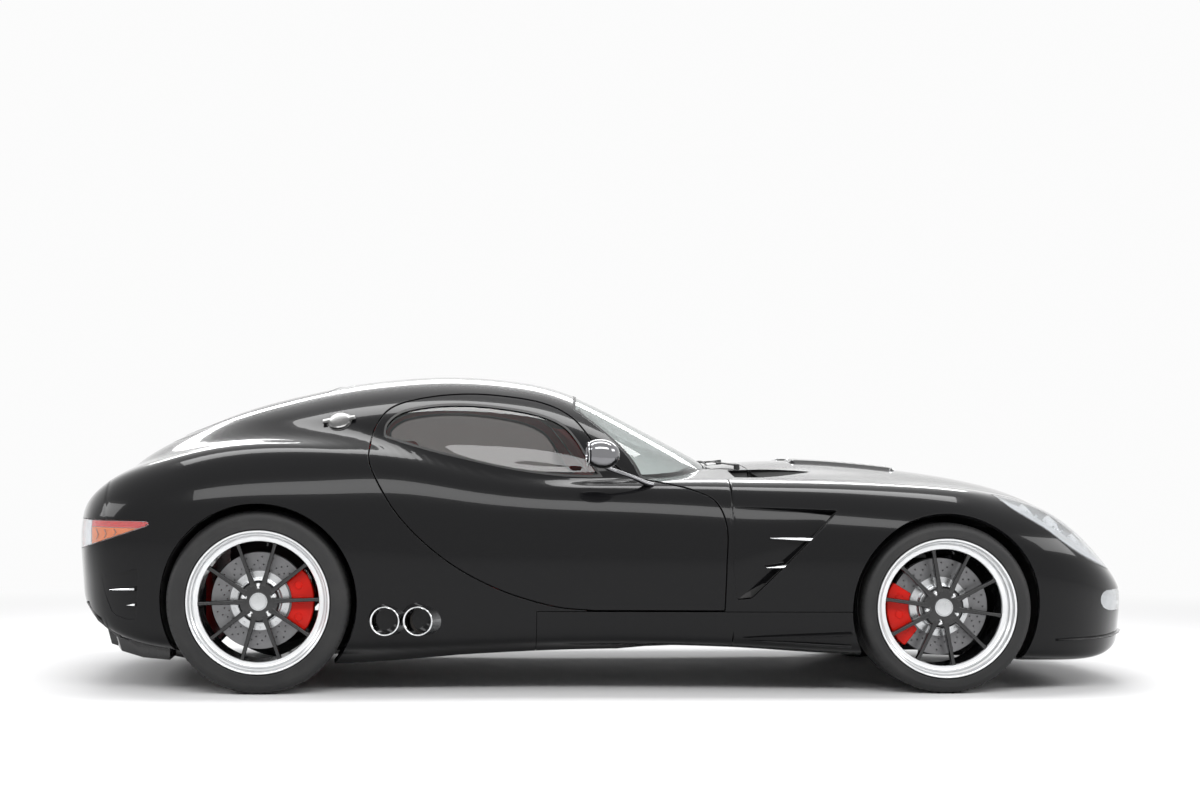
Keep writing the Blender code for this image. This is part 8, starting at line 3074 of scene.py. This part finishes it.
# ------------------------------------------------------------------------------ studio
@dataclass
class Studio:
    """Pale floor, soft lamps, plain surroundings and the camera."""

    lens: float = 58.9
    shift: tuple[float, float] = (0.152, 0.057)
    place: tuple[float, float, float] = (-0.76, -8.43, 0.87)
    pale: float = 0.82
    white: float = 0.97
    fill: float = 0.42
    reach: float = 2.2
    fade: float = 4.0

    def build(self) -> None:
        """Makes all of it."""
        self.floor()
        self.surroundings()
        for name, place, aim, size, power in (
                ("key_box", (0.0, -4.8, 3.9), (0.0, -0.5, 0.7), (8.0, 1.3), 230.0),
                ("top_box", (-0.2, 0.2, 4.4), (-0.2, 0.0, 0.8), (6.4, 1.1), 190.0),
                ("back_strip", (0.0, 4.6, 3.4), (0.0, 0.4, 0.8), (7.0, 0.9), 130.0),
                ("nose_box", (5.4, -1.6, 2.6), (1.6, 0.0, 0.6), (2.4, 1.2), 60.0),
                ("tail_box", (-5.6, -1.2, 2.6), (-1.6, 0.0, 0.7), (2.4, 1.2), 60.0)):
            self.lamp(name, place, aim, size, power)
        self.camera()

    def floor(self) -> None:
        """A plain pale floor that turns to the white of the surround past its reach, over the length of its fade."""
        bpy.ops.mesh.primitive_plane_add(size=200, location=(0, 0, 0))
        made = bpy.context.object
        made.name = "studio_floor"
        s = Shader("studio_floor")
        cloud = s.noise(0.8, 3.0)
        s.set(Base_Color=s.mix(cloud, (self.pale,) * 3, (self.pale * 0.985,) * 3), Roughness=cloud * 0.1 + 0.6,
              Specular_IOR_Level=0.2)
        x, y, _ = s.parts(s.place)
        away = (((x * 0.75) ** 2.0 + y ** 2.0) ** 0.5 - self.reach) / self.fade
        seen = s.node("ShaderNodeLightPath", {}, {}, "Is Camera Ray")
        for kind in ("Is Glossy Ray", "Is Transmission Ray"):
            seen = seen + s.node("ShaderNodeLightPath", {}, {}, kind)
        share = s.node("ShaderNodeMapRange", {"interpolation_type": "SMOOTHSTEP"}, {0: away, 1: 0.0, 2: 1.0}) * seen
        glow = s.tree.nodes.new("ShaderNodeEmission")
        glow.inputs["Color"].default_value = (self.white,) * 3 + (1.0,)
        join = s.tree.nodes.new("ShaderNodeMixShader")
        s.tree.links.new(share.socket, join.inputs[0])
        s.tree.links.new(s.surface.outputs[0], join.inputs[1])
        s.tree.links.new(glow.outputs[0], join.inputs[2])
        s.tree.links.new(join.outputs[0], s.tree.nodes["Material Output"].inputs["Surface"])
        made.data.materials.append(s.material)

    def surroundings(self) -> None:
        """A pale surround: white to the eye, in gloss and through glass, and a plain level of light elsewhere."""
        world = bpy.data.worlds.new("surroundings")
        bpy.context.scene.world = world
        world.use_nodes = True
        tree = world.node_tree
        path = tree.nodes.new("ShaderNodeLightPath")
        seen = path.outputs["Is Camera Ray"]
        for kind in ("Is Glossy Ray", "Is Transmission Ray"):
            either = tree.nodes.new("ShaderNodeMath")
            either.operation = "MAXIMUM"
            tree.links.new(seen, either.inputs[0])
            tree.links.new(path.outputs[kind], either.inputs[1])
            seen = either.outputs[0]
        mix = tree.nodes.new("ShaderNodeMix")
        mix.data_type = "RGBA"
        tree.links.new(seen, mix.inputs[0])
        mix.inputs[6].default_value = (self.fill, self.fill, self.fill + 0.01, 1.0)
        mix.inputs[7].default_value = (self.white,) * 3 + (1.0,)
        tree.links.new(mix.outputs[2], tree.nodes["Background"].inputs[0])

    @staticmethod
    def lamp(name: str, place: Point, aim: Point, size: tuple[float, float], power: float) -> None:
        """A soft rectangular lamp that faces a point."""
        light = bpy.data.lights.new(name, "AREA")
        light.shape = "RECTANGLE"
        light.size, light.size_y, light.energy = size[0], size[1], power
        made = bpy.data.objects.new(name, light)
        bpy.context.scene.collection.objects.link(made)
        made.visible_camera = made.visible_transmission = False
        made.location = place
        made.rotation_euler = (Vector(aim) - Vector(place)).to_track_quat("-Z", "Y").to_euler()

    def camera(self) -> None:
        """A level camera abreast of the car's right side."""
        data = bpy.data.cameras.new("camera")
        data.lens = self.lens
        data.shift_x, data.shift_y = self.shift
        made = bpy.data.objects.new("camera", data)
        bpy.context.scene.collection.objects.link(made)
        made.location = self.place
        made.rotation_euler = (math.pi / 2, 0, 0)
        bpy.context.scene.camera = made
        bpy.context.scene.view_settings.view_transform = "Standard"


def parts(body: Bodywork, palette: Palette) -> list:
    """Every sub-assembly besides the panels, in the order in which they are made."""
    made = []
    for side in Side:
        made.append(Wheel("front", side, palette, 1.283, 0.8639, 0.330, 0.255, 0.270, 28.0, 46.0, 190.0,
                          f"knuckle_{side.label}"))
        made.append(Wheel("rear", side, palette, -1.375, 0.9005, 0.355, 0.300, 0.278, 2.0, 92.0, 0.0, "shell"))
    made += [Fins(body, palette), Headlamps(body, palette), Indicators(body, palette), TailLamps(body, palette),
             Exhausts(palette), Mirrors(body, palette), FuelCap(body, palette), LowerTrim(body, palette),
             BonnetTrim(body, palette), Seals(body, palette), Seats(palette),
             Dash(palette), SteeringWheel(palette), DoorTrims(body, palette), Engine(palette), Underside(palette)]
    return made


def main() -> None:
    """Builds the car's looks in order, then the studio."""
    logging.basicConfig(level=logging.INFO, format="%(message)s")
    palette = Palette()
    skin = Skin()
    body = Bodywork(skin, palette)
    body.build()
    for part in parts(body, palette):
        part.build()
        log.info("%s done", type(part).__name__)
    Studio().build()


if __name__ == "__main__":
    main()
